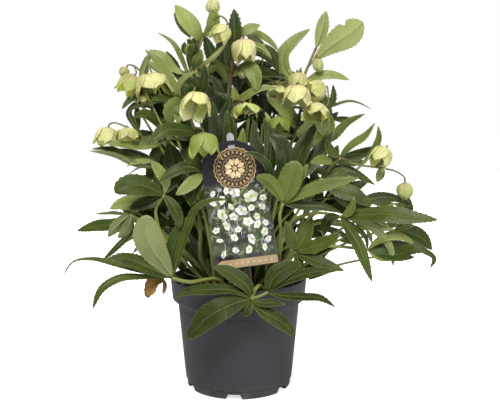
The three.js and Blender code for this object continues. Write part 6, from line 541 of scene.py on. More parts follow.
# more basal leaves at the two sides, hidden behind the others from the front
SIDE_LEAVES = [
    ("leaf_back_right","T",9.7,0.52,8,0.72,(0.01,-0.23,0.97),1,[(80.7,11.7,265.6),(78.7,1.6,265.8),(76.8,-8.4,263.5),(74.8,-18.7,258.5)]),
    ("leaf_back_right","D",11.4,0.52,8,0.72,(0.42,-0.01,0.91),1,[(80.7,11.7,265.6),(90.3,1.6,265.7),(99.9,-8.4,261.2),(109.8,-18.7,251.8)]),
    ("leaf_back_right","D",12.4,0.52,16,0.72,(0.2,-0.23,0.95),1,[(80.7,11.7,265.6),(95.9,10.9,266.5),(111.2,10.2,263.2),(126.9,9.5,255.2)]),
    ("leaf_back_right","D",11,0.52,16,0.72,(-0.15,0.28,0.95),1,[(80.7,11.7,265.6),(89.5,21.9,267.3),(98.3,32.1,265.7),(107.4,42.6,260.7)]),
    ("leaf_back_right","D",9.4,0.52,8,0.72,(-0.16,0.22,0.96),1,[(80.7,11.7,265.6),(79.9,21.6,266.3),(79.2,31.6,264),(78.4,41.9,258.4)]),
    ("leaf_back_right_low","D",11.7,0.52,16,0.72,(-0.02,-0.1,0.99),1,[(76.5,7.7,227.9),(86.7,-2.6,230.8),(96.9,-12.9,230),(107.4,-23.6,225.4)]),
    ("leaf_back_right_low","T",15,0.52,16,0.72,(-0.06,-0.02,1),1,[(76.5,7.7,227.9),(93.5,7.7,232.9),(110.6,7.7,234),(128.1,7.7,231.1)]),
    ("leaf_back_right_low","T",11.6,0.52,16,0.72,(-0.05,0.21,0.98),1,[(76.5,7.7,227.9),(86.7,18.5,230.8),(97,29.3,229.1),(107.6,40.4,222.5)]),
    ("leaf_back_right_low","D",9,0.52,8,0.72,(0.09,0.1,0.99),1,[(76.5,7.7,227.9),(76.4,17.7,229.9),(76.2,27.7,228.9),(76.1,38,224.9)]),
    ("leaf_back_right","T",14.3,0.52,8,0.72,(0.14,-0.13,0.98),1,[(110.5,28.4,230.1),(119.8,14.2,232.6),(129.2,-0,229.4),(138.8,-14.6,220.2)]),
    ("leaf_back_right","D",15,0.52,16,0.72,(0.01,-0.07,1),1,[(110.5,28.4,230.1),(128.7,21.8,235.4),(147,15.1,234.8),(165.8,8.2,227.9)]),
    ("leaf_back_right","D",17.8,0.52,8,0.72,(-0.06,0.23,0.97),1,[(110.5,28.4,230.1),(128.4,37.6,234.1),(146.3,46.8,233.1),(164.8,56.3,227)]),
    ("leaf_back_right_low","D",16.9,0.52,8,0.72,(-0.01,0.02,1),1,[(67.9,5.3,177),(86.4,12.6,182.2),(104.9,19.9,182.3),(123.9,27.4,177)]),
    ("leaf_back_right_low","D",15.1,0.52,8,0.72,(-0.05,0.25,0.97),1,[(67.9,5.3,177),(77.1,19.3,180.1),(86.3,33.3,177.1),(95.8,47.7,167.6)]),
    ("leaf_back_right_low","D",10,0.52,12,0.72,(-0.21,-0.02,0.98),1,[(67.9,5.3,177),(66.1,17.8,180.2),(64.3,30.4,180.1),(62.4,43.3,176.5)]),
    ("leaf_back_right_low","T",9,0.52,16,0.72,(-0.33,-0.22,0.92),1,[(94.2,33.5,192.8),(92.8,22.5,193.1),(91.4,11.4,190),(89.9,-0,183.4)]),
    ("leaf_back_right_low","T",12.2,0.52,12,0.72,(0.08,0.2,0.98),1,[(94.2,33.5,192.8),(101.7,46.4,194.5),(109.1,59.2,191.3),(116.7,72.4,183)]),
    ("leaf_back_right_low","D",9.6,0.52,8,0.72,(0.08,0.28,0.96),1,[(94.2,33.5,192.8),(92.2,43.4,193.4),(90.1,53.2,190.7),(87.9,63.3,184.5)]),
    ("leaf_back_right_low","D",13.1,0.52,8,0.72,(-0.31,-0.09,0.95),1,[(62.6,39.8,222.5),(61.5,26.3,224.3),(60.5,12.8,222.8),(59.4,-1.1,217.7)]),
    ("leaf_back_right_low","D",17.8,0.52,12,0.72,(-0.02,0.17,0.99),1,[(62.6,39.8,222.5),(83.7,43.1,227.7),(104.8,46.5,227.8),(126.6,49.9,222.4)]),
    ("leaf_back_right_low","D",18.1,0.52,8,0.72,(-0.1,0.17,0.98),1,[(62.6,39.8,222.5),(69.2,58.1,226.3),(75.8,76.4,223.9),(82.5,95.2,214.9)]),
    ("leaf_back_right_low","T",11.9,0.52,16,0.72,(-0.09,0.24,0.97),1,[(62.6,39.8,222.5),(55.9,52.7,223.9),(49.2,65.7,220.1),(42.3,79,210.7)]),
    ("leaf_back_left","T",9.9,0.52,16,0.72,(0.23,0.11,0.97),1,[(-89.7,37.8,306.6),(-88.5,48.5,307.8),(-87.3,59.3,306.4),(-86,70.3,302)]),
    ("leaf_back_left","D",12.6,0.52,8,0.72,(-0.29,-0.02,0.96),1,[(-89.7,37.8,306.6),(-100.5,50,309.2),(-111.3,62.1,306.3),(-122.5,74.6,297.5)]),
    ("leaf_back_left","T",14.8,0.52,16,0.72,(-0.07,-0.01,1),1,[(-89.7,37.8,306.6),(-106.3,41.8,309.6),(-122.9,45.8,308.5),(-140.1,49.9,303.1)]),
    ("leaf_back_left","D",12.7,0.52,8,0.72,(-0.19,0,0.98),1,[(-89.7,37.8,306.6),(-101.9,29.4,308.1),(-114.1,21.1,305.9),(-126.7,12.4,299.7)]),
    ("leaf_back_left","D",10.4,0.52,8,0.72,(0.27,-0.21,0.94),1,[(-89.7,37.8,306.6),(-90.4,26.7,307.6),(-91.2,15.6,305.3),(-92,4.1,299.8)]),
    ("leaf_back_left","D",9.8,0.52,8,0.72,(-0.22,0.14,0.97),1,[(-63.2,15.4,263.5),(-61.9,25.5,265.3),(-60.7,35.6,264.2),(-59.4,46,260.1)]),
    ("leaf_back_left","D",10.4,0.52,16,0.72,(-0.01,0.25,0.97),1,[(-63.2,15.4,263.5),(-70,25.5,265.1),(-76.8,35.6,262.4),(-83.8,46,255.2)]),
    ("leaf_back_left","D",13.1,0.52,12,0.72,(-0.3,-0.04,0.95),1,[(-63.2,15.4,263.5),(-75.9,21.5,264.6),(-88.6,27.6,260.9),(-101.7,33.8,252)]),
    ("leaf_back_left","T",15.6,0.52,8,0.72,(-0.27,0.22,0.94),1,[(-63.2,15.4,263.5),(-78.4,10.8,265.7),(-93.7,6.3,262.4),(-109.4,1.6,253.3)]),
    ("leaf_back_left","D",12.7,0.52,8,0.72,(0.11,-0.19,0.98),1,[(-63.2,15.4,263.5),(-70.6,4.6,265.8),(-78,-6.2,264.6),(-85.7,-17.4,259.7)]),
    ("leaf_back_left","T",8.8,0.52,8,0.72,(0.15,-0.17,0.97),1,[(-63.2,15.4,263.5),(-63.4,5.4,264.4),(-63.6,-4.5,262.7),(-63.9,-14.8,258.3)]),
    ("leaf_back_left","T",8.4,0.52,8,0.72,(-0.22,0.2,0.95),1,[(-104,46.2,255.7),(-99.3,55,257.3),(-94.6,63.9,256.6),(-89.7,72.9,253.5)]),
    ("leaf_back_left","D",13.2,0.52,12,0.72,(0.07,0.25,0.96),1,[(-104,46.2,255.7),(-109.4,59.5,257.9),(-114.9,72.8,254.9),(-120.5,86.5,246.3)]),
    ("leaf_back_left","T",10.5,0.52,16,0.72,(0.15,-0.3,0.94),1,[(-104,46.2,255.7),(-113.6,37,258.1),(-123.1,27.8,256.8),(-133,18.3,251.5)]),
    ("leaf_back_left","D",9.5,0.52,12,0.72,(-0.28,-0.17,0.94),1,[(-104,46.2,255.7),(-103.5,35.9,256.8),(-103.1,25.6,255.2),(-102.6,15,250.6)]),
    ("leaf_back_left_low","D",13.6,0.52,8,0.72,(-0.1,0.23,0.97),1,[(-71.3,51.2,208),(-63.6,63.3,209.2),(-55.8,75.4,207.2),(-47.8,87.8,201.9)]),
    ("leaf_back_left_low","D",18.2,0.52,16,0.72,(-0.2,-0.01,0.98),1,[(-71.3,51.2,208),(-79,69.1,210.7),(-86.7,86.9,209.3),(-94.7,105.3,203.5)]),
    ("leaf_back_left_low","T",20.3,0.52,8,0.72,(0.04,0.23,0.97),1,[(-71.3,51.2,208),(-92.9,55.1,213.1),(-114.6,58.9,213.1),(-136.9,62.8,207.7)]),
    ("leaf_back_left_low","T",19,0.52,12,0.72,(-0.02,-0.28,0.96),1,[(-71.3,51.2,208),(-87,39.2,209.7),(-102.8,27.2,205.9),(-119,14.8,196.3)]),
    ("leaf_back_left_low","T",12.1,0.52,8,0.72,(0.12,-0.27,0.96),1,[(-71.3,51.2,208),(-70.6,36.9,208.7),(-69.8,22.5,204.7),(-69.1,7.7,195.5)]),
    ("leaf_back_left","D",8.3,0.52,16,0.72,(-0.15,0.17,0.97),1,[(-116.8,65.4,307),(-113.7,74.7,308.5),(-110.6,84,307.4),(-107.5,93.5,303.7)]),
    ("leaf_back_left","D",12.3,0.52,8,0.72,(-0.12,0.03,0.99),1,[(-116.8,65.4,307),(-122.4,76.8,309.4),(-128.1,88.2,308.4),(-133.9,99.9,303.9)]),
    ("leaf_back_left","D",11.9,0.52,12,0.72,(-0.05,0.04,1),1,[(-116.8,65.4,307),(-128,56.8,310.2),(-139.2,48.3,310),(-150.7,39.5,306.3)]),
    ("leaf_back_left","D",9.9,0.52,16,0.72,(0.05,-0.16,0.99),1,[(-116.8,65.4,307),(-118.1,55.2,308.8),(-119.4,45,307.2),(-120.7,34.5,302.1)]),
]
SIDE_STALKS = [
    ("leaf_back_right","P",2.3,1.5,[(27.4,5.2,113),(49.8,7.9,222.9),(80.7,11.7,265.6)]),
    ("leaf_back_right_low","P",2.3,1.5,[(26,3.5,113),(47.2,5.3,195.7),(76.5,7.7,227.9)]),
    ("leaf_back_right","P",2.3,1.5,[(37.6,12.8,113),(68.2,19.4,197.3),(110.5,28.4,230.1)]),
    ("leaf_back_right_low","P",2.3,1.5,[(23.1,2.4,113),(41.9,3.6,159.1),(67.9,5.3,177)]),
    ("leaf_back_right_low","P",2.3,1.5,[(32,15.1,113),(58.2,22.8,170.4),(94.2,33.5,192.8)]),
    ("leaf_back_right_low","P",2.3,1.5,[(21.3,17.9,113),(38.6,27.1,191.8),(62.6,39.8,222.5)]),
    ("leaf_back_left","P",2.3,1.5,[(-30.5,17,113),(-55.3,25.8,252.4),(-89.7,37.8,306.6)]),
    ("leaf_back_left","P",2.3,1.5,[(-21.5,6.9,113),(-39,10.5,221.4),(-63.2,15.4,263.5)]),
    ("leaf_back_left","P",2.3,1.5,[(-35.4,20.8,113),(-64.2,31.5,215.7),(-104,46.2,255.7)]),
    ("leaf_back_left_low","P",2.3,1.5,[(-24.2,23.1,113),(-44,34.9,181.4),(-71.3,51.2,208)]),
    ("leaf_back_left","P",2.3,1.5,[(-39.7,29.4,113),(-72.1,44.5,252.7),(-116.8,65.4,307)]),
]
CARD_ORIGIN = np.array([-26.4073, -60.8967, 155.9508])
CARD_UP = np.array([-0.1278, 0.0347, 0.9912])
CARD_RIGHT = np.array([0.9918, 0.0045, 0.1277])


# ---------------------------------------------------------------- small helpers
def unit(v):
    v = np.asarray(v, float)
    return v / max(1e-12, float(np.linalg.norm(v)))


def rows(v):
    return v / np.maximum(1e-12, np.linalg.norm(v, axis=-1, keepdims=True))


def smooth(a, b, x):
    x = np.clip((np.asarray(x, float) - a) / (b - a), 0, 1)
    return x * x * (3 - 2 * x)


def along(p, t):
    """Points at the shares t of the way along a smooth curve through p (Catmull-Rom by chord length)."""
    p = np.asarray(p, float)
    n = len(p) - 1
    k = np.concatenate([[0], np.cumsum(np.maximum(1e-3, np.linalg.norm(np.diff(p, axis=0), axis=1)))])
    x = np.clip(np.asarray(t, float), 0, 1) * k[-1]
    sl = np.diff(p, axis=0) / np.diff(k)[:, None]
    m = np.zeros_like(p)
    for j in range(1, n):
        m[j] = sl[j] + sl[j - 1] - (p[j + 1] - p[j - 1]) / (k[j + 1] - k[j - 1])
    m[0] = 1.5 * sl[0] - 0.5 * m[1] if n > 1 else sl[0]
    m[n] = 1.5 * sl[n - 1] - 0.5 * m[n - 1] if n > 1 else sl[0]
    i = np.clip(np.searchsorted(k, x, side="right") - 1, 0, n - 1)
    h = (k[i + 1] - k[i])[:, None]
    u = ((x - k[i]) / (k[i + 1] - k[i]))[:, None]
    v = u * u
    w = v * u
    return p[i] * (2 * w - 3 * v + 1) + m[i] * h * (w - 2 * v + u) + p[i + 1] * (3 * v - 2 * w) + m[i + 1] * h * (w - v)


def slopes(p, t):
    e = 0.02
    t = np.asarray(t, float)
    return rows(along(p, np.minimum(1, t + e)) - along(p, np.maximum(0, t - e)))


def length_of(p):
    q = along(p, np.linspace(0, 1, 25))
    return float(np.linalg.norm(np.diff(q, axis=0), axis=1).sum())


class Piece:
    """Gathers parts of one object: vertices in mm, faces, a material for each face, two vertex attributes,
    flat maps for each part, and the edges that stay sharp."""

    def __init__(self, name, materials):
        self.name, self.mats = name, materials
        self.v, self.lc, self.tn, self.rim = [], [], [], []
        self.faces, self.fm, self.fuv, self.isl = [], [], [], []
        self.n, self.charts = 0, []

    def part(self, v, lc, tn, rim=None):
        v = np.asarray(v, float)
        at = self.n
        self.v.append(v)
        self.lc.append(np.broadcast_to(np.asarray(lc, float), (len(v), 3)))
        self.tn.append(np.broadcast_to(np.asarray(tn, float), (len(v), 3)))
        self.rim.append(np.zeros(len(v), int) if rim is None else np.asarray(rim, int))
        self.n += len(v)
        return at

    def chart(self, low, high):
        """A flat map of its own, from low to high in mm."""
        self.charts.append((np.asarray(low, float), np.asarray(high, float)))
        return len(self.charts) - 1

    def add(self, at, faces, mat, uv, chart):
        """faces (k, 3 or 4) count from at; uv holds one place for each vertex of the part."""
        f = np.asarray(faces, int)
        if len(f) == 0:
            return
        self.faces.append(f + at)
        self.fm.append(np.full(len(f), self.mats.index(mat), int))
        self.fuv.append(np.asarray(uv, float)[f])
        self.isl.append(np.full(len(f), chart, int))

    def build(self):
        v = np.concatenate(self.v) * MM
        place, scale = pack(self.charts)
        me = bpy.data.meshes.new(self.name)
        me.vertices.add(len(v))
        me.vertices.foreach_set("co", v.astype(np.float32).ravel())
        loops, starts, mats, uvs = [], [], [], []
        at = 0
        for f, m, u, c in zip(self.faces, self.fm, self.fuv, self.isl):
            k = f.shape[1]
            loops.append(f.ravel())
            starts.append(at + k * np.arange(len(f)))
            mats.append(m)
            uvs.append((((u - self.charts[c[0]][0]) + place[c[0]]) / scale).reshape(-1, 2))
            at += f.size
        loops = np.concatenate(loops)
        me.loops.add(len(loops))
        me.loops.foreach_set("vertex_index", loops.astype(np.int32))
        starts = np.concatenate(starts)
        me.polygons.add(len(starts))
        me.polygons.foreach_set("loop_start", starts.astype(np.int32))
        me.polygons.foreach_set("material_index", np.concatenate(mats).astype(np.int32))
        me.polygons.foreach_set("use_smooth", np.ones(len(starts), bool))
        me.update(calc_edges=True)
        layer = me.uv_layers.new(name="OFBake")
        layer.uv.foreach_set("vector", np.concatenate(uvs).astype(np.float32).ravel())
        for name, data in (("lc", self.lc), ("tn", self.tn)):
            a = me.attributes.new(name, "FLOAT_VECTOR", "POINT")
            a.data.foreach_set("vector", np.concatenate(data).astype(np.float32).ravel())
        e = np.zeros(len(me.edges) * 2, np.int32)
        me.edges.foreach_get("vertices", e)
        r = np.concatenate(self.rim)[e.reshape(-1, 2)]
        sharp = (r[:, 0] == r[:, 1]) & (r[:, 0] > 0)
        a = me.attributes.get("sharp_edge") or me.attributes.new("sharp_edge", "BOOLEAN", "EDGE")
        a.data.foreach_set("value", sharp)
        me.validate()
        o = bpy.data.objects.new(self.name, me)
        bpy.context.scene.collection.objects.link(o)
        for m in self.mats:
            me.materials.append(m)
        return o


def pack(charts):
    """Sets the flat maps side by side in rows that fill a square."""
    if not charts:
        return [], np.array([1.0, 1.0])
    size = [(h - l)[:2] for l, h in charts]
    gap = 1.0
    area = sum((s[0] + gap) * (s[1] + gap) for s in size)
    width = max(math.sqrt(area) * 1.02, max(s[0] for s in size) + gap)
    order = sorted(range(len(size)), key=lambda i: -size[i][1])
    place = [None] * len(size)
    x = y = high = wide = 0.0
    for i in order:
        if x + size[i][0] + gap > width and x > 0:
            x, y, high = 0.0, y + high + gap, 0.0
        place[i] = np.array([x + gap / 2, y + gap / 2])
        x += size[i][0] + gap
        wide = max(wide, x)
        high = max(high, size[i][1])
    return place, np.array([wide, y + high + gap])


# ---------------------------------------------------------------- leaves
COLS = np.array([-0.88, -0.62, -0.34, -0.085, 0.0, 0.085, 0.34, 0.62, 0.88])


def leaf(P, top, under, pts, W, m, fold, blunt, nrm, kind, teeth, seed, tone, bite=None):
    rng = random.Random(seed)
    L = length_of(pts)
    n = int(min(20, max(6, round(L / 5.0))))
    t = np.linspace(0, 1, n + 1)
    tf = np.linspace(0, 1, 3 * n + 1)
    k = math.log(0.5) / math.log(m)
    sn = math.sin(math.radians(fold))
    cs = math.cos(math.radians(fold))
    N = np.asarray(nrm, float)
    ends = 1.1 if kind != "W" else 0.8

    def half(x):
        w = 0.5 * W * np.power(np.maximum(0, np.sin(np.pi * np.power(x, k))), blunt)
        return np.maximum(w, ends * (1 - x) ** 0.5 + 0.25 * x)

    def framed(x):
        c, d = along(pts, x), slopes(pts, x)
        s = rows(np.cross(d, N))
        for i in range(1, len(s)):
            if s[i] @ s[i - 1] < 0:
                s[i] = -s[i]
        u = rows(np.cross(s, d))
        return c, s, u

    ph = [rng.uniform(0, 6.28), rng.uniform(0, 6.28)]
    fr = [rng.uniform(1.2, 2.2), rng.uniform(1.2, 2.2)]
    wave = W * (0.022 if kind in "TDU" else 0.035) * rng.uniform(0.6, 1.4)
    if kind == "W":
        wave = W * 0.12
    arch = rng.uniform(0.05, 0.14)
    roll = rng.uniform(-0.05, 0.05)

    def lift(x, f, w):
        """Height of the upper face at the share f of the half width w."""
        a = np.abs(f)
        side = np.where(f < 0, np.sin(6.283 * fr[0] * x + ph[0]), np.sin(6.283 * fr[1] * x + ph[1]))
        return w * (sn * np.power(a, 0.85) - arch * a * a + roll * f) + wave * side * np.power(a, 1.6) * np.sin(np.pi * np.minimum(1, x * 1.02)) ** 0.5

    thick = 0.42 if kind != "W" else 0.3
    w, wf = half(t), half(tf)
    c, s, u = framed(t)
    cf, sf, uf = framed(tf)
    # the toothed margins: each tooth rises over two steps and drops in the third
    A = {0: 0.0, 1: 1.2, 2: 2.3}[teeth] * min(1.0, W / 22.0)
    if kind in "BY" and teeth == 1:
        A *= 0.55
    pat = np.array([-0.35, 0.1, 0.65])
    margins = []
    for side in (-1, 1):
        tooth = pat[np.arange(len(tf)) % 3] * np.repeat([rng.uniform(0.55, 1.25) for _ in range(n + 1)], 3)[: len(tf)]
        span = smooth(0.2, 0.42, tf) * (1 - smooth(0.93, 0.99, tf))
        margins.append(side * (wf + A * tooth * span))
    if bite:
        # a nick in one margin: (side, place along the blade, half width, depth), as shares
        margins[0 if bite[0] < 0 else 1] *= 1 - bite[3] * np.exp(-(((tf - bite[1]) / bite[2]) ** 2))
    # grid: the upper face, then the under face
    X = COLS[None, :] * w[:, None]
    if bite:
        nick = 1 - bite[3] * np.exp(-(((t - bite[1]) / bite[2]) ** 2))
        X = np.where(X * bite[0] > 0, X * nick[:, None], X)
    T2 = np.repeat(t[:, None], len(COLS), 1)
    F2 = np.repeat(COLS[None, :], n + 1, 0)
    Z = lift(T2, F2, w[:, None])
    rib = np.zeros_like(Z)
    rib[:, 4] = -0.22 * (1 - 0.6 * t)
    top_v = c[:, None] + s[:, None] * (X * cs)[..., None] + u[:, None] * (Z + rib + thick / 2)[..., None]
    bulge = np.zeros_like(Z)
    bulge[:, 4] = (0.95 * (1 - t) + 0.22) * min(1, 0.35 + W / 30)
    bulge[:, 3] = bulge[:, 5] = 0.12
    bot_v = c[:, None] + s[:, None] * (X * cs)[..., None] + u[:, None] * (Z - bulge - thick / 2)[..., None]
    nc = len(COLS)
    ng = (n + 1) * nc
    nm = len(tf)
    mt, mb = [], []
    for x in margins:
        f = x / np.maximum(wf, 1e-6)
        z = lift(tf, np.clip(f, -1, 1), wf)
        mt.append(cf + sf * (x * cs)[:, None] + uf * (z + thick * 0.38)[:, None])
        mb.append(cf + sf * (x * cs)[:, None] + uf * (z - thick * 0.38)[:, None])
    v = np.concatenate([top_v.reshape(-1, 3), bot_v.reshape(-1, 3), mt[0], mt[1], mb[0], mb[1]])
    um, ufm = t * L, tf * L
    lcg = np.stack([np.repeat(um, nc) / 100, np.tile(COLS, n + 1), np.repeat(w, nc) / 100], 1)
    lcm = [np.stack([ufm / 100, np.full(nm, q), wf / 100], 1) for q in (-1.0, 1.0)]
    lc = np.concatenate([lcg, lcg, lcm[0], lcm[1], lcm[0], lcm[1]])
    spacing = max(4.0, L / 12.0) / 100
    tg = np.stack([np.full(ng, tone), np.repeat(t, nc), np.full(ng, spacing)], 1)
    tm = np.stack([np.full(nm, tone), tf, np.full(nm, spacing)], 1)
    tn = np.concatenate([tg, tg, tm, tm, tm, tm])
    rim = np.concatenate([np.zeros(2 * ng, int), np.full(nm, 1), np.full(nm, 2), np.full(nm, 3), np.full(nm, 4)])
    at = P.part(v, lc, tn, rim)
    G = lambda i, j, b=0: b * ng + i * nc + j
    i = np.arange(n)
    quads_t, quads_b = [], []
    for j in range(nc - 1):
        quads_t.append(np.stack([G(i, j), G(i, j + 1), G(i + 1, j + 1), G(i + 1, j)], 1))
        quads_b.append(np.stack([G(i, j, 1), G(i + 1, j, 1), G(i + 1, j + 1, 1), G(i, j + 1, 1)], 1))
    base = 2 * ng
    M = lambda side, low, q: base + (2 * low + side) * nm + q
    tri_t, tri_b, edge = [], [], []
    for side, j in ((0, 0), (1, nc - 1)):
        for b, out in ((0, tri_t), (1, tri_b)):
            a0, a1 = G(i, j, b), G(i + 1, j, b)
            m0, m1, m2, m3 = (M(side, b, 3 * i + q) for q in range(4))
            fan = [np.stack([a0, m1, m0], 1), np.stack([a0, m2, m1], 1), np.stack([a0, a1, m2], 1), np.stack([a1, m3, m2], 1)]
            f = np.concatenate(fan)
            if (side == 1) != (b == 1):
                f = f[:, ::-1]
            out.append(f)
        q = np.arange(nm - 1)
        e = np.stack([M(side, 0, q), M(side, 0, q + 1), M(side, 1, q + 1), M(side, 1, q)], 1)
        edge.append(e[:, ::-1] if side == 1 else e)
    # closed ends
    caps = []
    for i0, q0, flip in ((0, 0, False), (n, nm - 1, True)):
        ring_t = [M(0, 0, q0)] + [G(i0, j) for j in range(nc)] + [M(1, 0, q0)]
        ring_b = [M(0, 1, q0)] + [G(i0, j, 1) for j in range(nc)] + [M(1, 1, q0)]
        for a in range(len(ring_t) - 1):
            f = [ring_t[a], ring_b[a], ring_b[a + 1], ring_t[a + 1]]
            caps.append(f[::-1] if flip else f)
    wide = float(wf.max()) + 2.6
    uvt = np.zeros((len(v), 2))
    xs = np.concatenate([X.ravel(), X.ravel(), margins[0], margins[1], margins[0] - 0.8, margins[1] + 0.8])
    ys = np.concatenate([np.repeat(um, nc), np.repeat(um, nc), ufm, ufm, ufm, ufm])
    uvt[:, 0], uvt[:, 1] = ys, xs
    uvt[ng : 2 * ng, 0] += np.where(np.repeat(t, nc) < 0.5, -0.8, 0.8)
    uvb = np.stack([ys, np.concatenate([X.ravel(), X.ravel(), margins[0], margins[1], margins[0], margins[1]])], 1)
    ct = P.chart((-1, -wide), (L + 1, wide))
    cb = P.chart((-0.2, -wide + 1), (L + 0.2, wide - 1))
    P.add(at, np.concatenate(quads_t), top, uvt, ct)
    P.add(at, np.concatenate(tri_t), top, uvt, ct)
    P.add(at, np.concatenate(edge), top, uvt, ct)
    P.add(at, np.array(caps), top, uvt, ct)
    P.add(at, np.concatenate(quads_b), under, uvb, cb)
    P.add(at, np.concatenate(tri_b), under, uvb, cb)


# ---------------------------------------------------------------- stalks
def stalk(P, mat, pts, r0, r1, kind, red, seed, joint=1.0, sides=10):
    rng = random.Random(seed)
    L = length_of(pts)
    n = int(min(44, max(4, round(L / 3.6))))
    t = np.linspace(0, 1, n + 1)
    c, d = along(pts, t), slopes(pts, t)
    ref = np.array([0.31, 0.95, 0.05])
    s = np.zeros_like(d)
    for i in range(n + 1):
        ref = ref - d[i] * (ref @ d[i])
        ref = unit(ref)
        s[i] = ref
    q = np.cross(d, s)
    r = r0 + (r1 - r0) * t
    r = r * (1 + 0.16 * joint * np.exp(-((t * L) / 3.5) ** 2) + 0.14 * joint * np.exp(-(((1 - t) * L) / 3.0) ** 2))
    ph = rng.uniform(0, 6.28)
    ang = np.arange(sides) * 2 * math.pi / sides
    rr = r[:, None] * (1 + 0.035 * np.sin(3 * ang + ph)[None, :] + 0.02 * np.sin(5 * ang + 7 * t[:, None] * L / 40))
    v = c[:, None] + rr[..., None] * (np.cos(ang)[None, :, None] * s[:, None] + np.sin(ang)[None, :, None] * q[:, None])
    v = v.reshape(-1, 3)
    v = np.concatenate([v, [c[0] - d[0] * r[0] * 0.35, c[-1] + d[-1] * r[-1] * 0.35]])
    one = np.ones(sides)
    lc = np.stack([np.repeat(t * L, sides) / 100, np.tile(ang / 6.2832, n + 1), np.repeat(r, sides) / 100], 1)
    lc = np.concatenate([lc, [[0, 0, r[0] / 100], [L / 100, 0, r[-1] / 100]]])
    ends = np.maximum(np.exp(-(t * L / 7) ** 2), np.exp(-((1 - t) * L / 7) ** 2))
    rd = np.clip(red + 0.5 * ends * joint * (1 if kind == "S" else 0.3), 0, 1)
    tn = np.stack([np.full(len(rd), rng.random()), t, rd], 1)
    tn = np.concatenate([np.repeat(tn, sides, 0), tn[:1], tn[-1:]])
    at = P.part(v, lc, tn)
    i = np.arange(n)
    quads = []
    uv = np.zeros((len(v), 2))
    uv[: (n + 1) * sides, 0] = np.repeat(t * L, sides)
    step = 2 * math.pi * max(r0, r1) / sides
    uv[: (n + 1) * sides, 1] = np.tile(np.arange(sides) * step, n + 1)
    uv[-2], uv[-1] = (-1, sides * step / 2), (L + 1, sides * step / 2)
    ch = P.chart((-1, 0), (L + 1, (sides + 1) * step))
    for k in range(sides):
        b = (k + 1) % sides
        f = np.stack([i * sides + k, i * sides + b, (i + 1) * sides + b, (i + 1) * sides + k], 1)
        if b:
            P.add(at, f, mat, uv, ch)
        else:
            uv2 = uv.copy()
            uv2[: (n + 1) * sides : sides, 1] = sides * step
            P.add(at, f, mat, uv2, ch)
    k = np.arange(sides)
    b = (k + 1) % sides
    e0, e1 = (n + 1) * sides, (n + 1) * sides + 1
    P.add(at, np.stack([np.full(sides, e0), b, k], 1), mat, uv, ch)
    P.add(at, np.stack([np.full(sides, e1), n * sides + k, n * sides + b], 1), mat, uv, ch)


# ---------------------------------------------------------------- flowers
def profile(kind, R, L, o):
    if kind == "bud":
        return np.array([(0.10, 0.0), (0.55, 0.05), (0.9, 0.22), (1.0, 0.45), (0.86, 0.72), (0.5, 0.93), (0.07, 1.02)]) * [R, L]
    e = 0.84 + 0.3 * o
    return np.array([(0.10, 0.0), (0.5, 0.045), (0.84, 0.17), (1.0, 0.42), (0.5 * (1 + e) + 0.015, 0.72), (e, 1.0)]) * [R, L]


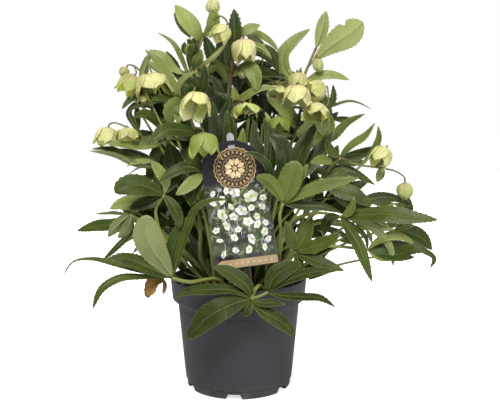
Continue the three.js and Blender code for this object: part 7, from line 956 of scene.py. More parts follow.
def tepal(P, mo, mi, base, axes, prof, th0, amax, edge, flare, tone, blush, seed, kind, size, cup, tip=(2.1, 0.62)):
    """One petal: a thin cupped sheet with an outer and an inner face."""
    rng = random.Random(seed)
    ns, na = 14, 12
    e1, e2, a = axes
    s = np.linspace(0, 1, ns + 1)
    q = np.linspace(-1, 1, na + 1)
    zr = along(np.column_stack([prof, np.zeros(len(prof))]), s)[:, :2]
    peak = 0.52 if kind != "bud" else 0.45
    A = np.where(s < peak, np.sqrt(np.maximum(0, 1 - (1 - s / peak) ** 2)) * 0.72 + 0.28, np.power(np.maximum(0, 1 - ((s - peak) / (1 - peak)) ** tip[0]), tip[1] if kind != "bud" else 0.5))
    A = amax * np.maximum(A, 0.03)
    S, Q = np.meshgrid(s, q, indexing="ij")
    AA = A[:, None] * Q
    wob = rng.uniform(0, 6.28)
    r = zr[:, 0][:, None] + edge * Q * np.minimum(1, S * 2.5) + flare * S ** 2.2 * (0.35 + 0.65 * Q ** 2) * size * 0.12
    r = r + 0.010 * size * np.sin(3.1 * Q + wob) * S + 0.006 * size * np.sin(5 * S + wob)
    if kind == "bell":
        r = r + 0.055 * size * np.sin(4.6 * Q + 1.7 * wob) * S ** 3 + 0.03 * size * np.sin(9.5 * Q + 2.3 * wob) * S ** 5
    crease = -(0.022 if kind == "bell" else 0.004) * size * np.exp(-(Q / 0.16) ** 2) * np.sin(np.pi * np.minimum(1, S * 1.1))
    r = r + crease
    # a factor by which the width of a petal would bend less than the ring it sits on; nothing uses it
    flat = np.cos(AA * cup) / np.cos(AA * (cup - 1) * 0.0)
    z = zr[:, 1][:, None] + 0.05 * size * (1 - Q ** 2) * S ** 3 - 0.04 * size * Q ** 2 * S
    if kind == "bell":
        z = z + 0.04 * size * np.sin(6.1 * Q + 0.9 * wob) * S ** 4
    ang = th0 + AA
    r = np.maximum(r, 0.4)
    mid = base[None, None] + a * z[..., None] + r[..., None] * (np.cos(ang)[..., None] * e1 + np.sin(ang)[..., None] * e2)
    du = np.gradient(mid, axis=0)
    dv = np.gradient(mid, axis=1)
    nn = rows(np.cross(dv, du))
    outw = np.cos(ang)[..., None] * e1 + np.sin(ang)[..., None] * e2
    flip = ((nn * outw).sum(-1) + 0.15 * (nn @ a)) .mean() < 0
    if flip:
        nn = -nn
    th = min(0.26, 0.017 * size)
    edge_thin = np.maximum(0.25, 1 - np.abs(Q) ** 6)
    outer = mid + nn * (th * edge_thin)[..., None]
    inner = mid - nn * (th * edge_thin)[..., None]
    nv = (ns + 1) * (na + 1)
    v = np.concatenate([outer.reshape(-1, 3), inner.reshape(-1, 3)])
    lc = np.stack([S.ravel(), Q.ravel(), (A[:, None] * r).ravel() / 100], 1)
    tn = np.stack([np.full(nv, tone), np.full(nv, blush), np.full(nv, rng.random())], 1)
    on = np.zeros((ns + 1, na + 1), int)
    on[:, 0] = on[:, -1] = on[-1, :] = on[0, :] = 1
    rim = np.concatenate([on.ravel(), on.ravel() * 2])
    at = P.part(v, np.concatenate([lc, lc]), np.concatenate([tn, tn]), rim * 0)
    g = lambda i, j, b=0: b * nv + i * (na + 1) + j
    I, J = [x.ravel() for x in np.meshgrid(np.arange(ns), np.arange(na), indexing="ij")]
    f = np.stack([g(I, J), g(I + 1, J), g(I + 1, J + 1), g(I, J + 1)], 1)
    # which way is out
    p0, p1, p3 = v[f[:, 0]], v[f[:, 1]], v[f[:, 3]]
    if (np.cross(p1 - p0, p3 - p0) * nn[:-1, :-1].reshape(-1, 3)).sum() < 0:
        f = f[:, ::-1]
    fi = f[:, ::-1] + nv
    Lm = float(np.linalg.norm(np.diff(mid[:, na // 2], axis=0), axis=1).sum())
    wm = float((A * zr[:, 0]).max()) + 0.5
    uv = np.stack([S.ravel() * Lm, Q.ravel() * np.repeat(np.maximum(A * zr[:, 0], 0.5), na + 1)], 1)
    uv = np.concatenate([uv, uv])
    co, ci = P.chart((-0.8, -wm - 0.8), (Lm + 0.8, wm + 0.8)), P.chart((0, -wm), (Lm, wm))
    P.add(at, f, mo, uv, co)
    P.add(at, fi, mi, uv, ci)
    ring = [(i, 0) for i in range(ns)] + [(ns, j) for j in range(na)] + [(i, na) for i in range(ns, 0, -1)] + [(0, j) for j in range(na, 0, -1)]
    strip = []
    for x in range(len(ring)):
        i0, j0 = ring[x]
        i1, j1 = ring[(x + 1) % len(ring)]
        strip.append([g(i0, j0), g(i1, j1), g(i1, j1, 1), g(i0, j0, 1)])
    strip = np.array(strip)
    uvo = uv.copy()
    push = np.stack([np.where(S == 1, 0.6, np.where(S == 0, -0.6, 0)).ravel(), np.where(Q == 1, 0.6, np.where(Q == -1, -0.6, 0)).ravel()], 1)
    uvo[nv:] += push
    # outward winding of the strip: tested on one of its faces
    x = strip[3]
    c0 = v[x].mean(0)
    nrm = np.cross(v[x[1]] - v[x[0]], v[x[3]] - v[x[0]])
    centre = mid.reshape(-1, 3).mean(0)
    if nrm @ (c0 - centre) < 0:
        strip = strip[:, ::-1]
    P.add(at, strip, mo, uvo, co)


def rod(P, mat, pts, r0, r1, sides, steps, tn, tip=None):
    """A fine round stalk, such as a filament, with an optional swollen tip (length, radius)."""
    t = np.linspace(0, 1, steps + 1)
    c, d = along(pts, t), slopes(pts, t)
    r = r0 + (r1 - r0) * t
    if tip:
        k = np.array([0.02, 0.3, 0.7, 1.0])
        c = np.concatenate([c, c[-1] + d[-1] * (k * tip[0])[:, None]])
        d = np.concatenate([d, np.repeat(d[-1:], 4, 0)])
        r = np.concatenate([r, np.array([0.75, 1.0, 0.85, 0.25]) * tip[1]])
    s = rows(np.cross(d, np.array([0.3, 0.2, 0.93]) + 1e-3))
    q = np.cross(d, s)
    ang = np.arange(sides) * 2 * math.pi / sides
    v = (c[:, None] + r[:, None, None] * (np.cos(ang)[None, :, None] * s[:, None] + np.sin(ang)[None, :, None] * q[:, None])).reshape(-1, 3)
    m = len(c)
    x = np.repeat(np.linspace(0, 1, m), sides)
    seg = np.zeros(m)
    if tip:
        seg[-4:] = 1
    lc = np.stack([x, np.tile(ang / 6.2832, m), np.repeat(seg, sides)], 1)
    at = P.part(v, lc, tn)
    i = np.arange(m - 1)
    step = 1.2
    uv = np.stack([np.repeat(np.arange(m) * 1.2, sides), np.tile(np.arange(sides) * step, m)], 1)
    ch = P.chart((0, 0), (m * 1.2, (sides + 1) * step))
    for k in range(sides):
        b = (k + 1) % sides
        f = np.stack([i * sides + k, i * sides + b, (i + 1) * sides + b, (i + 1) * sides + k], 1)
        if b:
            P.add(at, f, mat, uv, ch)
        else:
            uv2 = uv.copy()
            uv2[::sides, 1] = sides * step
            P.add(at, f, mat, uv2, ch)
    if sides == 3:
        P.add(at, np.array([[0, 2, 1]]), mat, uv, ch)
        P.add(at, np.array([[(m - 1) * 3, (m - 1) * 3 + 1, (m - 1) * 3 + 2]]), mat, uv, ch)
    else:
        P.add(at, np.array([[0, 3, 2, 1]]) if sides == 4 else np.array([[0, k + 2, k + 1] for k in range(sides - 2)]), mat, uv, ch)
        b = (m - 1) * sides
        P.add(at, np.array([[b, b + 1, b + 2, b + 3]]) if sides == 4 else np.array([[b, b + k + 1, b + k + 2] for k in range(sides - 2)]), mat, uv, ch)


def bloom(P, mats, kind, R, L, o, blush, base, axis, seed, tint=None, skin="petal_out", cut=(54, 2.1, 0.62, 1.0)):
    """cut: half width of a petal in degrees, two numbers for the point at its end, and how much the petals differ."""
    rng = random.Random(seed)
    a = unit(axis)
    ref = np.array([0, 0, 1.0]) if abs(a[2]) < 0.9 else np.array([1.0, 0, 0])
    e1 = unit(np.cross(ref, a))
    e2 = np.cross(a, e1)
    base = np.asarray(base, float)
    turn = rng.uniform(0, 6.28)
    tone = rng.uniform(0.42, 0.68) if tint is None else tint
    prof = profile(kind, R, L, o)
    over = math.radians(cut[0] if kind == "bell" else 57)
    vary = cut[3]
    e = (0.075 if kind == "bell" else 0.095) * R
    for k in range(5):
        p = profile(kind, R, L, o * rng.uniform(0.45, 1.5)) if kind == "bell" else prof.copy()
        p[:, 1] *= 1 + vary * (rng.uniform(0.90, 1.03) - 1) if kind == "bell" else rng.uniform(0.97, 1.0)
        p[3:, 0] *= 1 + vary * (rng.uniform(0.95, 1.03 + 0.06 * o) - 1) if kind == "bell" else 1.0
        tepal(P, mats[skin], mats["petal_in_backlit"], base, (e1, e2, a), p, turn + k * 2 * math.pi / 5 + rng.uniform(-0.05, 0.05), over,
              -e, (0.2 + o) * rng.uniform(0.6, 1.3) if kind == "bell" else 0.0, tone + rng.uniform(-0.12, 0.12), min(1.0, 1.35 * blush + 0.06), seed * 10 + k, kind, R, 1.0, cut[1:3])
    # the pad that the petals grow from
    n = 12
    ring = []
    for rr, zz in ((0.20 * R, -0.035 * L), (0.26 * R, 0.0), (0.25 * R, 0.07 * L), (0.18 * R, 0.12 * L)):
        for i in range(n):
            w = i * 2 * math.pi / n
            ring.append(base + a * zz + rr * (math.cos(w) * e1 + math.sin(w) * e2))
    ring += [base - a * 0.05 * L, base + a * 0.14 * L]
    v = np.array(ring)
    at = P.part(v, (0, 0, 0.01), (tone, blush, 0.2))
    uv = np.zeros((len(v), 2))
    for j in range(4):
        for i in range(n):
            uv[j * n + i] = ((4 - j) * math.cos(i * 6.2832 / n), (4 - j) * math.sin(i * 6.2832 / n))
    ch = P.chart((-5, -5), (5, 5))
    i = np.arange(n)
    b = (i + 1) % n
    for j in range(3):
        P.add(at, np.stack([j * n + i, j * n + b, (j + 1) * n + b, (j + 1) * n + i], 1), mats["stem"], uv, ch)
    P.add(at, np.stack([np.full(n, 4 * n), b, i], 1), mats["stem"], uv, ch)
    P.add(at, np.stack([np.full(n, 4 * n + 1), 3 * n + i, 3 * n + b], 1), mats["stem"], uv, ch)
    if kind == "bud":
        return
    # nectaries, stamens and carpels
    for k in range(12):
        w = turn + k * 2 * math.pi / 12 + rng.uniform(-0.08, 0.08)
        dr = math.cos(w) * e1 + math.sin(w) * e2
        p0 = base + a * 0.10 * L + dr * 0.2 * R
        rod(P, mats["nectary"], [p0, p0 + dr * 0.10 * R + a * 0.07 * L, p0 + dr * 0.18 * R + a * 0.17 * L], 0.45, 0.95, 5, 2, (0.3, 0, 0))
    count = 30 if o > 0.3 else 18
    for k in range(count):
        w = rng.uniform(0, 6.28)
        rr = rng.uniform(0.02, 0.17) * R
        dr = math.cos(w) * e1 + math.sin(w) * e2
        ln = rng.uniform(0.36, 0.58) * L
        sp = rng.uniform(0.1, 0.42) * R
        p0 = base + a * 0.11 * L + dr * rr
        rod(P, mats["stamen"], [p0, p0 + a * ln * 0.5 + dr * sp * 0.25, p0 + a * ln + dr * sp], 0.22, 0.16, 3, 3, (rng.random(), 0, 0), (1.9, 0.62))
    for k in range(4):
        w = turn + k * math.pi / 2
        dr = math.cos(w) * e1 + math.sin(w) * e2
        p0 = base + a * 0.12 * L + dr * 0.035 * R
        ln = 0.5 * L
        rod(P, mats["nectary"], [p0, p0 + a * ln * 0.45 + dr * 0.05 * R, p0 + a * ln * 0.8 + dr * 0.02 * R, p0 + a * ln + dr * 0.1 * R], 1.1, 0.3, 6, 5, (0.8, 0, 0))


# ---------------------------------------------------------------- materials
class Nodes:
    def __init__(self, name):
        self.m = bpy.data.materials.new(name)
        self.m.use_nodes = True
        self.t = self.m.node_tree
        self.b = next(n for n in self.t.nodes if n.type == "BSDF_PRINCIPLED")

    def new(self, kind):
        return self.t.nodes.new(kind)

    def put(self, socket, x):
        if isinstance(x, bpy.types.NodeSocket):
            self.t.links.new(x, socket)
        elif x is not None:
            try:
                socket.default_value = x
            except (TypeError, ValueError):
                socket.default_value = tuple(x) + (1.0,)

    def set(self, **kw):
        for k, x in kw.items():
            self.put(self.b.inputs[k.replace("_", " ")], x)

    def attr(self, name):
        n = self.new("ShaderNodeAttribute")
        n.attribute_name = name
        s = self.new("ShaderNodeSeparateXYZ")
        self.t.links.new(n.outputs["Vector"], s.inputs[0])
        return s.outputs[0], s.outputs[1], s.outputs[2], n.outputs["Vector"]

    def math(self, op, a, b=None, c=None, clamp=False):
        n = self.new("ShaderNodeMath")
        n.operation = op
        n.use_clamp = clamp
        for i, x in enumerate((a, b, c)):
            if x is not None:
                self.put(n.inputs[i], x)
        return n.outputs[0]

    def step(self, a, b, x):
        n = self.new("ShaderNodeMapRange")
        n.interpolation_type = "SMOOTHSTEP"
        self.put(n.inputs["Value"], x)
        self.put(n.inputs["From Min"], a)
        self.put(n.inputs["From Max"], b)
        return n.outputs[0]

    def line(self, a, b, c, d, x):
        n = self.new("ShaderNodeMapRange")
        self.put(n.inputs["Value"], x)
        for k, y in zip(("From Min", "From Max", "To Min", "To Max"), (a, b, c, d)):
            self.put(n.inputs[k], y)
        return n.outputs[0]

    def mix(self, f, a, b, mode="MIX"):
        n = self.new("ShaderNodeMix")
        n.data_type = "RGBA"
        n.blend_type = mode
        self.put(n.inputs[0], f)
        self.put(n.inputs[6], a if not isinstance(a, tuple) else a + (1.0,))
        self.put(n.inputs[7], b if not isinstance(b, tuple) else b + (1.0,))
        return n.outputs[2]

    def noise(self, scale, detail=3.0, rough=0.5, vec=None, dist=0.0):
        n = self.new("ShaderNodeTexNoise")
        if vec is None:
            vec = self.coord()
        self.put(n.inputs["Vector"], vec)
        n.inputs["Scale"].default_value = scale
        n.inputs["Detail"].default_value = detail
        n.inputs["Roughness"].default_value = rough
        n.inputs["Distortion"].default_value = dist
        return n.outputs["Fac"]

    def cells(self, scale, feature="F1", vec=None, out="Distance", rand=1.0):
        n = self.new("ShaderNodeTexVoronoi")
        n.feature = feature
        self.put(n.inputs["Vector"], vec if vec is not None else self.coord())
        n.inputs["Scale"].default_value = scale
        n.inputs["Randomness"].default_value = rand
        return n.outputs[out]

    def coord(self):
        if not hasattr(self, "_c"):
            self._c = self.new("ShaderNodeTexCoord")
        return self._c.outputs["Object"]

    def bump(self, height, dist, strength=1.0):
        n = self.new("ShaderNodeBump")
        n.inputs["Distance"].default_value = dist
        n.inputs["Strength"].default_value = strength
        self.t.links.new(height, n.inputs["Height"])
        self.t.links.new(n.outputs[0], self.b.inputs["Normal"])


def leaf_material(name, dark, light, vein, edge, rough, under=False, red=None, vein_w=0.34, vein_s=0.5, spec=0.5, sheen=0.0):
    """A leaf face: tone and blotches, midrib, side veins, a pale rim, and the relief of the veins."""
    N = Nodes(name)
    u, v, h, _ = N.attr("lc")
    tone, t, sp, _ = N.attr("tn")
    av = N.math("ABSOLUTE", v)
    dm = N.math("MULTIPLY", N.math("MULTIPLY", av, h), 100.0)
    left = N.math("MULTIPLY", N.math("GREATER_THAN", v, 0.0), 0.5)
    bend = N.math("MULTIPLY", N.math("POWER", dm, 1.15), 0.0072)
    wob = N.math("MULTIPLY", N.noise(60.0, 2.0), 0.006)
    ph = N.math("ADD", N.math("DIVIDE", N.math("ADD", N.math("SUBTRACT", u, bend), wob), sp), left)
    fr = N.math("FRACT", ph)
    d = N.math("SUBTRACT", 0.5, N.math("ABSOLUTE", N.math("SUBTRACT", fr, 0.5)))
    dl = N.math("MULTIPLY", N.math("MULTIPLY", d, sp), 100.0)
    lat = N.math("SUBTRACT", 1.0, N.step(0.06, vein_w, dl))
    fade = N.math("SUBTRACT", 1.0, N.step(0.7, 1.0, av))
    lat = N.math("MULTIPLY", lat, fade)
    midw = N.line(0.0, 1.0, 1.0 if under else 0.85, 0.28, t)
    mid = N.math("SUBTRACT", 1.0, N.step(0.25, 1.0, N.math("DIVIDE", dm, midw)))
    out = N.math("SUBTRACT", N.math("MULTIPLY", h, 100.0), dm)
    rim = N.math("SUBTRACT", 1.0, N.step(0.12, 0.75, out))
    big = N.noise(38.0, 2.0, 0.55)
    fine = N.noise(420.0, 3.0, 0.6)
    tt = N.math("ADD", N.math("MULTIPLY", tone, 0.75), N.math("MULTIPLY", N.math("SUBTRACT", big, 0.5), 1.1), clamp=True)
    col = N.mix(tt, dark, light)
    net = N.cells(330.0 if under else 360.0, "DISTANCE_TO_EDGE")
    netm = N.math("MULTIPLY", N.math("SUBTRACT", 1.0, N.step(0.02, 0.16, net)), 0.30 if under else 0.14)
    col = N.mix(netm, col, vein)
    col = N.mix(N.math("MULTIPLY", N.math("SUBTRACT", fine, 0.45), 0.5, clamp=True), col, tuple(min(1, 1.5 * c) for c in light))
    col = N.mix(N.math("MULTIPLY", lat, vein_s), col, vein)
    col = N.mix(N.math("MULTIPLY", mid, 0.85 if under else 0.68), col, vein)
    if red is not None:
        far = N.math("MULTIPLY", N.step(0.42, 0.75, N.noise(24.0, 2.0)), 0.45)
        col = N.mix(N.math("MULTIPLY", far, N.step(0.35, 1.0, av)), col, red)
        col = N.mix(N.math("MULTIPLY", N.math("SUBTRACT", 1.0, N.step(0.0, 0.16, t)), 0.5), col, red)
    col = N.mix(N.math("MULTIPLY", rim, 0.75), col, edge)
    N.set(Base_Color=col)
    N.b.inputs["Specular IOR Level"].default_value = spec
    if sheen:
        N.b.inputs["Sheen Weight"].default_value = sheen
    N.set(Roughness=N.line(0.25, 0.75, rough - 0.07, rough + 0.09, N.noise(150.0, 3.0, 0.6)))
    puff = N.math("MULTIPLY", N.math("COSINE", N.math("MULTIPLY", fr, 6.2832)), -0.13)
    puff = N.math("MULTIPLY", puff, fade)
    sign = 1.0 if under else -1.0
    hgt = N.math("ADD", N.math("MULTIPLY", lat, 0.55 * sign), N.math("MULTIPLY", mid, 0.9 * sign))
    hgt = N.math("ADD", hgt, puff)
    hgt = N.math("ADD", hgt, N.math("MULTIPLY", net, -0.5 * sign))
    hgt = N.math("ADD", hgt, N.math("MULTIPLY", fine, 0.35))
    N.bump(hgt, 0.00036, 0.7)
    return N.m


def stem_material(name, green, light, purple, foot_painted_shade=0.8):
    N = Nodes(name)
    u, v, h, vec = N.attr("lc")
    tone, t, red, _ = N.attr("tn")
    stretch = N.new("ShaderNodeMapping")
    stretch.inputs["Scale"].default_value = (60.0, 40.0, 60.0)
    coords = N.coord()
    N.t.links.new(coords, stretch.inputs["Vector"])
    big = N.noise(70.0, 3.0, 0.6)
    speck = N.noise(900.0, 2.0, 0.6)
    col = N.mix(N.math("ADD", N.math("MULTIPLY", tone, 0.5), N.math("MULTIPLY", N.math("SUBTRACT", big, 0.5), 1.2), clamp=True), green, light)
    m = N.math("MULTIPLY", red, N.line(0.3, 0.7, 0.55, 1.25, N.noise(130.0, 3.0, 0.6)), clamp=True)
    col = N.mix(m, col, purple)
    ridges = N.math("SINE", N.math("MULTIPLY", v, 6.2832 * 9))
    col = N.mix(N.math("MULTIPLY", N.step(0.2, 1.0, ridges), 0.22), col, light)
    col = N.mix(N.math("MULTIPLY", N.step(0.58, 0.7, speck), 0.35), col, purple)
    # painted shade: the stalks turn darker towards the soil, from 190 mm down to 126 mm, for the shade under the leaves
    low = N.new("ShaderNodeSeparateXYZ")
    N.t.links.new(coords, low.inputs[0])
    col = N.mix(N.math("MULTIPLY", N.math("SUBTRACT", 1.0, N.step(0.126, 0.190, low.outputs[2])), foot_painted_shade), col, tuple(0.22 * c for c in green))
    N.set(Base_Color=col)
    N.set(Roughness=N.line(0.3, 0.7, 0.36, 0.52, big))
    N.bump(N.math("ADD", N.math("MULTIPLY", ridges, 0.5), N.math("MULTIPLY", speck, 0.5)), 0.00025, 0.7)
    return N.m


def petal_material(name, cream, green, blush, inside=False):
    N = Nodes(name)
    s, q, w, _ = N.attr("lc")
    tone, bl, rnd, _ = N.attr("tn")
    aq = N.math("ABSOLUTE", q)
    big = N.noise(70.0, 3.0, 0.6)
    col = N.mix(N.math("ADD", tone, N.math("MULTIPLY", N.math("SUBTRACT", big, 0.5), 0.9), clamp=True), green, cream)
    # the base and the middle of a petal are greener, its margin paler
    col = N.mix(N.math("MULTIPLY", N.math("SUBTRACT", 1.0, N.step(0.0, 0.75 if inside else 0.55, s)), 0.85 if inside else 0.55), col, green)
    col = N.mix(N.math("MULTIPLY", N.step(0.55, 1.0, aq), 0.35), col, cream)
    lines = N.math("SINE", N.math("ADD", N.math("MULTIPLY", q, 34.0), N.math("MULTIPLY", N.noise(90.0, 2.0), 9.0)))
    ln = N.step(0.55, 1.0, lines)
    col = N.mix(N.math("MULTIPLY", ln, 0.16), col, green)
    mid = N.math("SUBTRACT", 1.0, N.step(0.02, 0.2, aq))
    col = N.mix(N.math("MULTIPLY", mid, 0.22), col, green)
    # pink-brown breath over the base and along some margins
    base = N.math("MULTIPLY", N.math("MULTIPLY", N.math("SUBTRACT", 1.0, N.step(0.06, 0.66, s)), N.line(0.3, 0.7, 0.7, 1.35, N.noise(90.0, 3.0, 0.6))), bl)
    patch = N.math("MULTIPLY", N.math("MULTIPLY", N.step(0.45, 0.72, N.noise(45.0, 3.0, 0.6)), bl), 0.3)
    rimr = N.math("MULTIPLY", N.math("MULTIPLY", N.step(0.84, 1.0, aq), bl), 0.75)
    m = N.math("MAXIMUM", N.math("MAXIMUM", base, patch), rimr)
    m = N.math("MULTIPLY", m, 0.35 if inside else 1.05, clamp=True)
    col = N.mix(m, col, blush)
    N.set(Base_Color=col)
    N.b.inputs["Specular IOR Level"].default_value = 0.35
    N.b.inputs["Subsurface Weight"].default_value = 0.7 if inside else 0.45
    N.b.inputs["Subsurface Radius"].default_value = (1.0, 0.95, 0.45)
    N.b.inputs["Subsurface Scale"].default_value = 0.004
    N.set(Roughness=N.line(0.3, 0.7, 0.46, 0.6, big))
    N.bump(N.math("ADD", N.math("MULTIPLY", lines, 0.35), N.noise(260.0, 3.0, 0.55)), 0.0004, 0.6)
    return N.m


def simple_material(name, a, b, scale, rough, bump=0.0002, spec=0.4):
    N = Nodes(name)
    f = N.noise(scale, 4.0, 0.6)
    col = N.mix(N.step(0.3, 0.7, f), a, b)
    N.set(Base_Color=col)
    N.b.inputs["Specular IOR Level"].default_value = spec
    N.set(Roughness=N.line(0.3, 0.7, rough - 0.08, rough + 0.08, f))
    N.bump(f, bump, 0.7)
    return N.m


def stamen_material():
    N = Nodes("stamens")
    x, _, seg, _ = N.attr("lc")
    f = N.noise(900.0, 2.0)
    fil = N.mix(f, (0.62, 0.66, 0.30), (0.78, 0.80, 0.52))
    ant = N.mix(f, (0.72, 0.62, 0.22), (0.86, 0.80, 0.46))
    N.set(Base_Color=N.mix(N.step(0.3, 0.7, seg), fil, ant), Roughness=0.6)
    N.bump(f, 0.0002, 0.6)
    return N.m


MATS = {
    "leaf_top": leaf_material("leaf_upper_face", (0.010, 0.021, 0.0026), (0.078, 0.113, 0.013), (0.155, 0.185, 0.045), (0.145, 0.165, 0.04), 0.42, vein_s=0.24, spec=0.20),
    # the darker leaf face: partly the real dark green of older leaves, partly painted shade for leaves far inside the
    # plant
    "leaf_gloss": leaf_material("leaf_dark_and_shaded_face", (0.007, 0.016, 0.0020), (0.044, 0.071, 0.008), (0.12, 0.15, 0.04), (0.12, 0.14, 0.036), 0.36, vein_s=0.24, spec=0.20),
    "leaf_under": leaf_material("leaf_under_face", (0.130, 0.158, 0.058), (0.245, 0.277, 0.108), (0.30, 0.33, 0.15), (0.27, 0.29, 0.12), 0.6, under=True, vein_s=0.36, spec=0.22),
    "bract_top": leaf_material("bract_upper_face", (0.075, 0.109, 0.0145), (0.222, 0.262, 0.054), (0.33, 0.35, 0.14), (0.29, 0.29, 0.12), 0.45, red=(0.17, 0.115, 0.05), vein_s=0.28, spec=0.33),
    "bract_under": leaf_material("bract_under_face", (0.172, 0.203, 0.052), (0.328, 0.350, 0.116), (0.38, 0.39, 0.18), (0.33, 0.32, 0.14), 0.56, under=True, red=(0.27, 0.19, 0.10), vein_s=0.32, spec=0.25),
    "leaf_matt": leaf_material("leaf_matt_face", (0.010, 0.020, 0.0028), (0.074, 0.102, 0.015), (0.155, 0.185, 0.045), (0.145, 0.165, 0.04), 0.52, vein_s=0.24, spec=0.15),
    "bract_mid": leaf_material("bract_middle_face", (0.062, 0.092, 0.014), (0.145, 0.188, 0.034), (0.20, 0.235, 0.075), (0.19, 0.21, 0.07), 0.5, vein_s=0.36, spec=0.22),
    "stem": stem_material("stem_skin", (0.13, 0.15, 0.035), (0.28, 0.29, 0.075), (0.115, 0.030, 0.020)),
    "petiole": stem_material("petiole_skin", (0.175, 0.215, 0.04), (0.38, 0.415, 0.10), (0.17, 0.065, 0.035), 0.5),
    "petal_out": petal_material("petal_outer_face", (0.74, 0.70, 0.31), (0.29, 0.34, 0.06), (0.40, 0.215, 0.135)),
    "petal_green": petal_material("petal_green_face", (0.225, 0.285, 0.052), (0.12, 0.17, 0.022), (0.16, 0.10, 0.05)),
    "petal_olive": petal_material("petal_olive_face", (0.36, 0.40, 0.125), (0.215, 0.265, 0.058), (0.30, 0.20, 0.09)),
    # the inner face: greener at its base, and painted brighter than the outer face for the light that shines through
    # the thin petals
    "petal_in_backlit": petal_material("petal_inner_face_backlit", (0.84, 0.84, 0.40), (0.50, 0.61, 0.075), (0.46, 0.30, 0.18), True),
    "stamen": stamen_material(),
    "nectary": simple_material("nectaries_and_carpels", (0.22, 0.34, 0.04), (0.42, 0.50, 0.09), 500.0, 0.4),
    "withered": leaf_material("withered_leaf_face", (0.10, 0.040, 0.013), (0.36, 0.18, 0.055), (0.20, 0.21, 0.06), (0.16, 0.065, 0.022), 0.7, vein_s=0.45, spec=0.25),
}
RED = {"stem_centre": 0.75, "stem_left": 0.2, "stem_left_centre": 0.3, "stem_right": 0.22, "stem_far_right": 0.15, "stem_back": 0.3}

# how cream (1) or green (0) the petals of some flowers are
TINT = {"flower_label_top": 0.02, "flower_left_outer": 0.12, "bud_right_top": 0.35, "flower_far_left_inner": 0.35, "bud_small_left": 0.2, "bud_far_right": 0.3, "bud_top": 0.45, "bud_left": 0.4,
        "flower_centre_left": 0.72, "flower_left_large": 0.6, "bud_centre": 0.8, "flower_right_middle": 0.75, "flower_middle": 0.3}
SKIN = {"bud_small_left": "petal_green", "flower_label_top": "petal_olive", "bud_middle_right": "petal_green"}
# petals of some flowers: half width in degrees, two numbers for the point, unevenness
CUT = {"flower_label_top": (50, 1.5, 0.85, 0.9), "flower_centre_left": (48, 1.7, 0.62, 2.0), "flower_middle": (40, 1.5, 0.85, 2.6), "bud_centre": (56, 1.9, 0.7, 1.3), "bud_middle_right": (44, 1.5, 0.8, 1.6),
       "flower_left_large": (53, 2.0, 0.62, 1.3), "flower_right_lower": (47, 1.8, 0.65, 1.8), "flower_left_outer": (50, 1.8, 0.7, 1.5), "flower_top": (52, 1.8, 0.7, 1.0),
       "flower_far_right": (52, 1.8, 0.7, 1.3), "flower_right_middle": (54, 1.9, 0.7, 1.2), "flower_far_left": (54, 2.0, 0.7, 1.2)}
plants = []
for q in STALKS + LEAVES + BLOOMS:
    if q[0] not in plants:
        plants.append(q[0])
TONE = {"T": (0.22, 0.72), "D": (0.05, 0.75), "U": (0.35, 0.75), "B": (0.4, 0.85), "Y": (0.75, 1.0), "W": (0.2, 0.8), "M": (0.2, 0.7)}

BITE = {"bract_right_broad": (1, 0.75, 0.042, 0.34)}


def shade(pts, kind):
    """Painted shade: leaves far inside the plant, most of all those in the middle above the label, get a darker tone
    for the shade that falls there.
    """
    x, y, z = pts[len(pts) // 2]
    k = float(smooth(40, 125, math.hypot(x, y * 1.1 - 6)))
    # painted shade, darkest in the middle of the plant above the label
    if kind in "TD" and 2 < x < 58 and 250 < z < 322:
        k *= 0.4
    return 0.15 + 0.85 * k if kind in "TD" else 0.7 + 0.3 * k if kind in "B" else 1.0


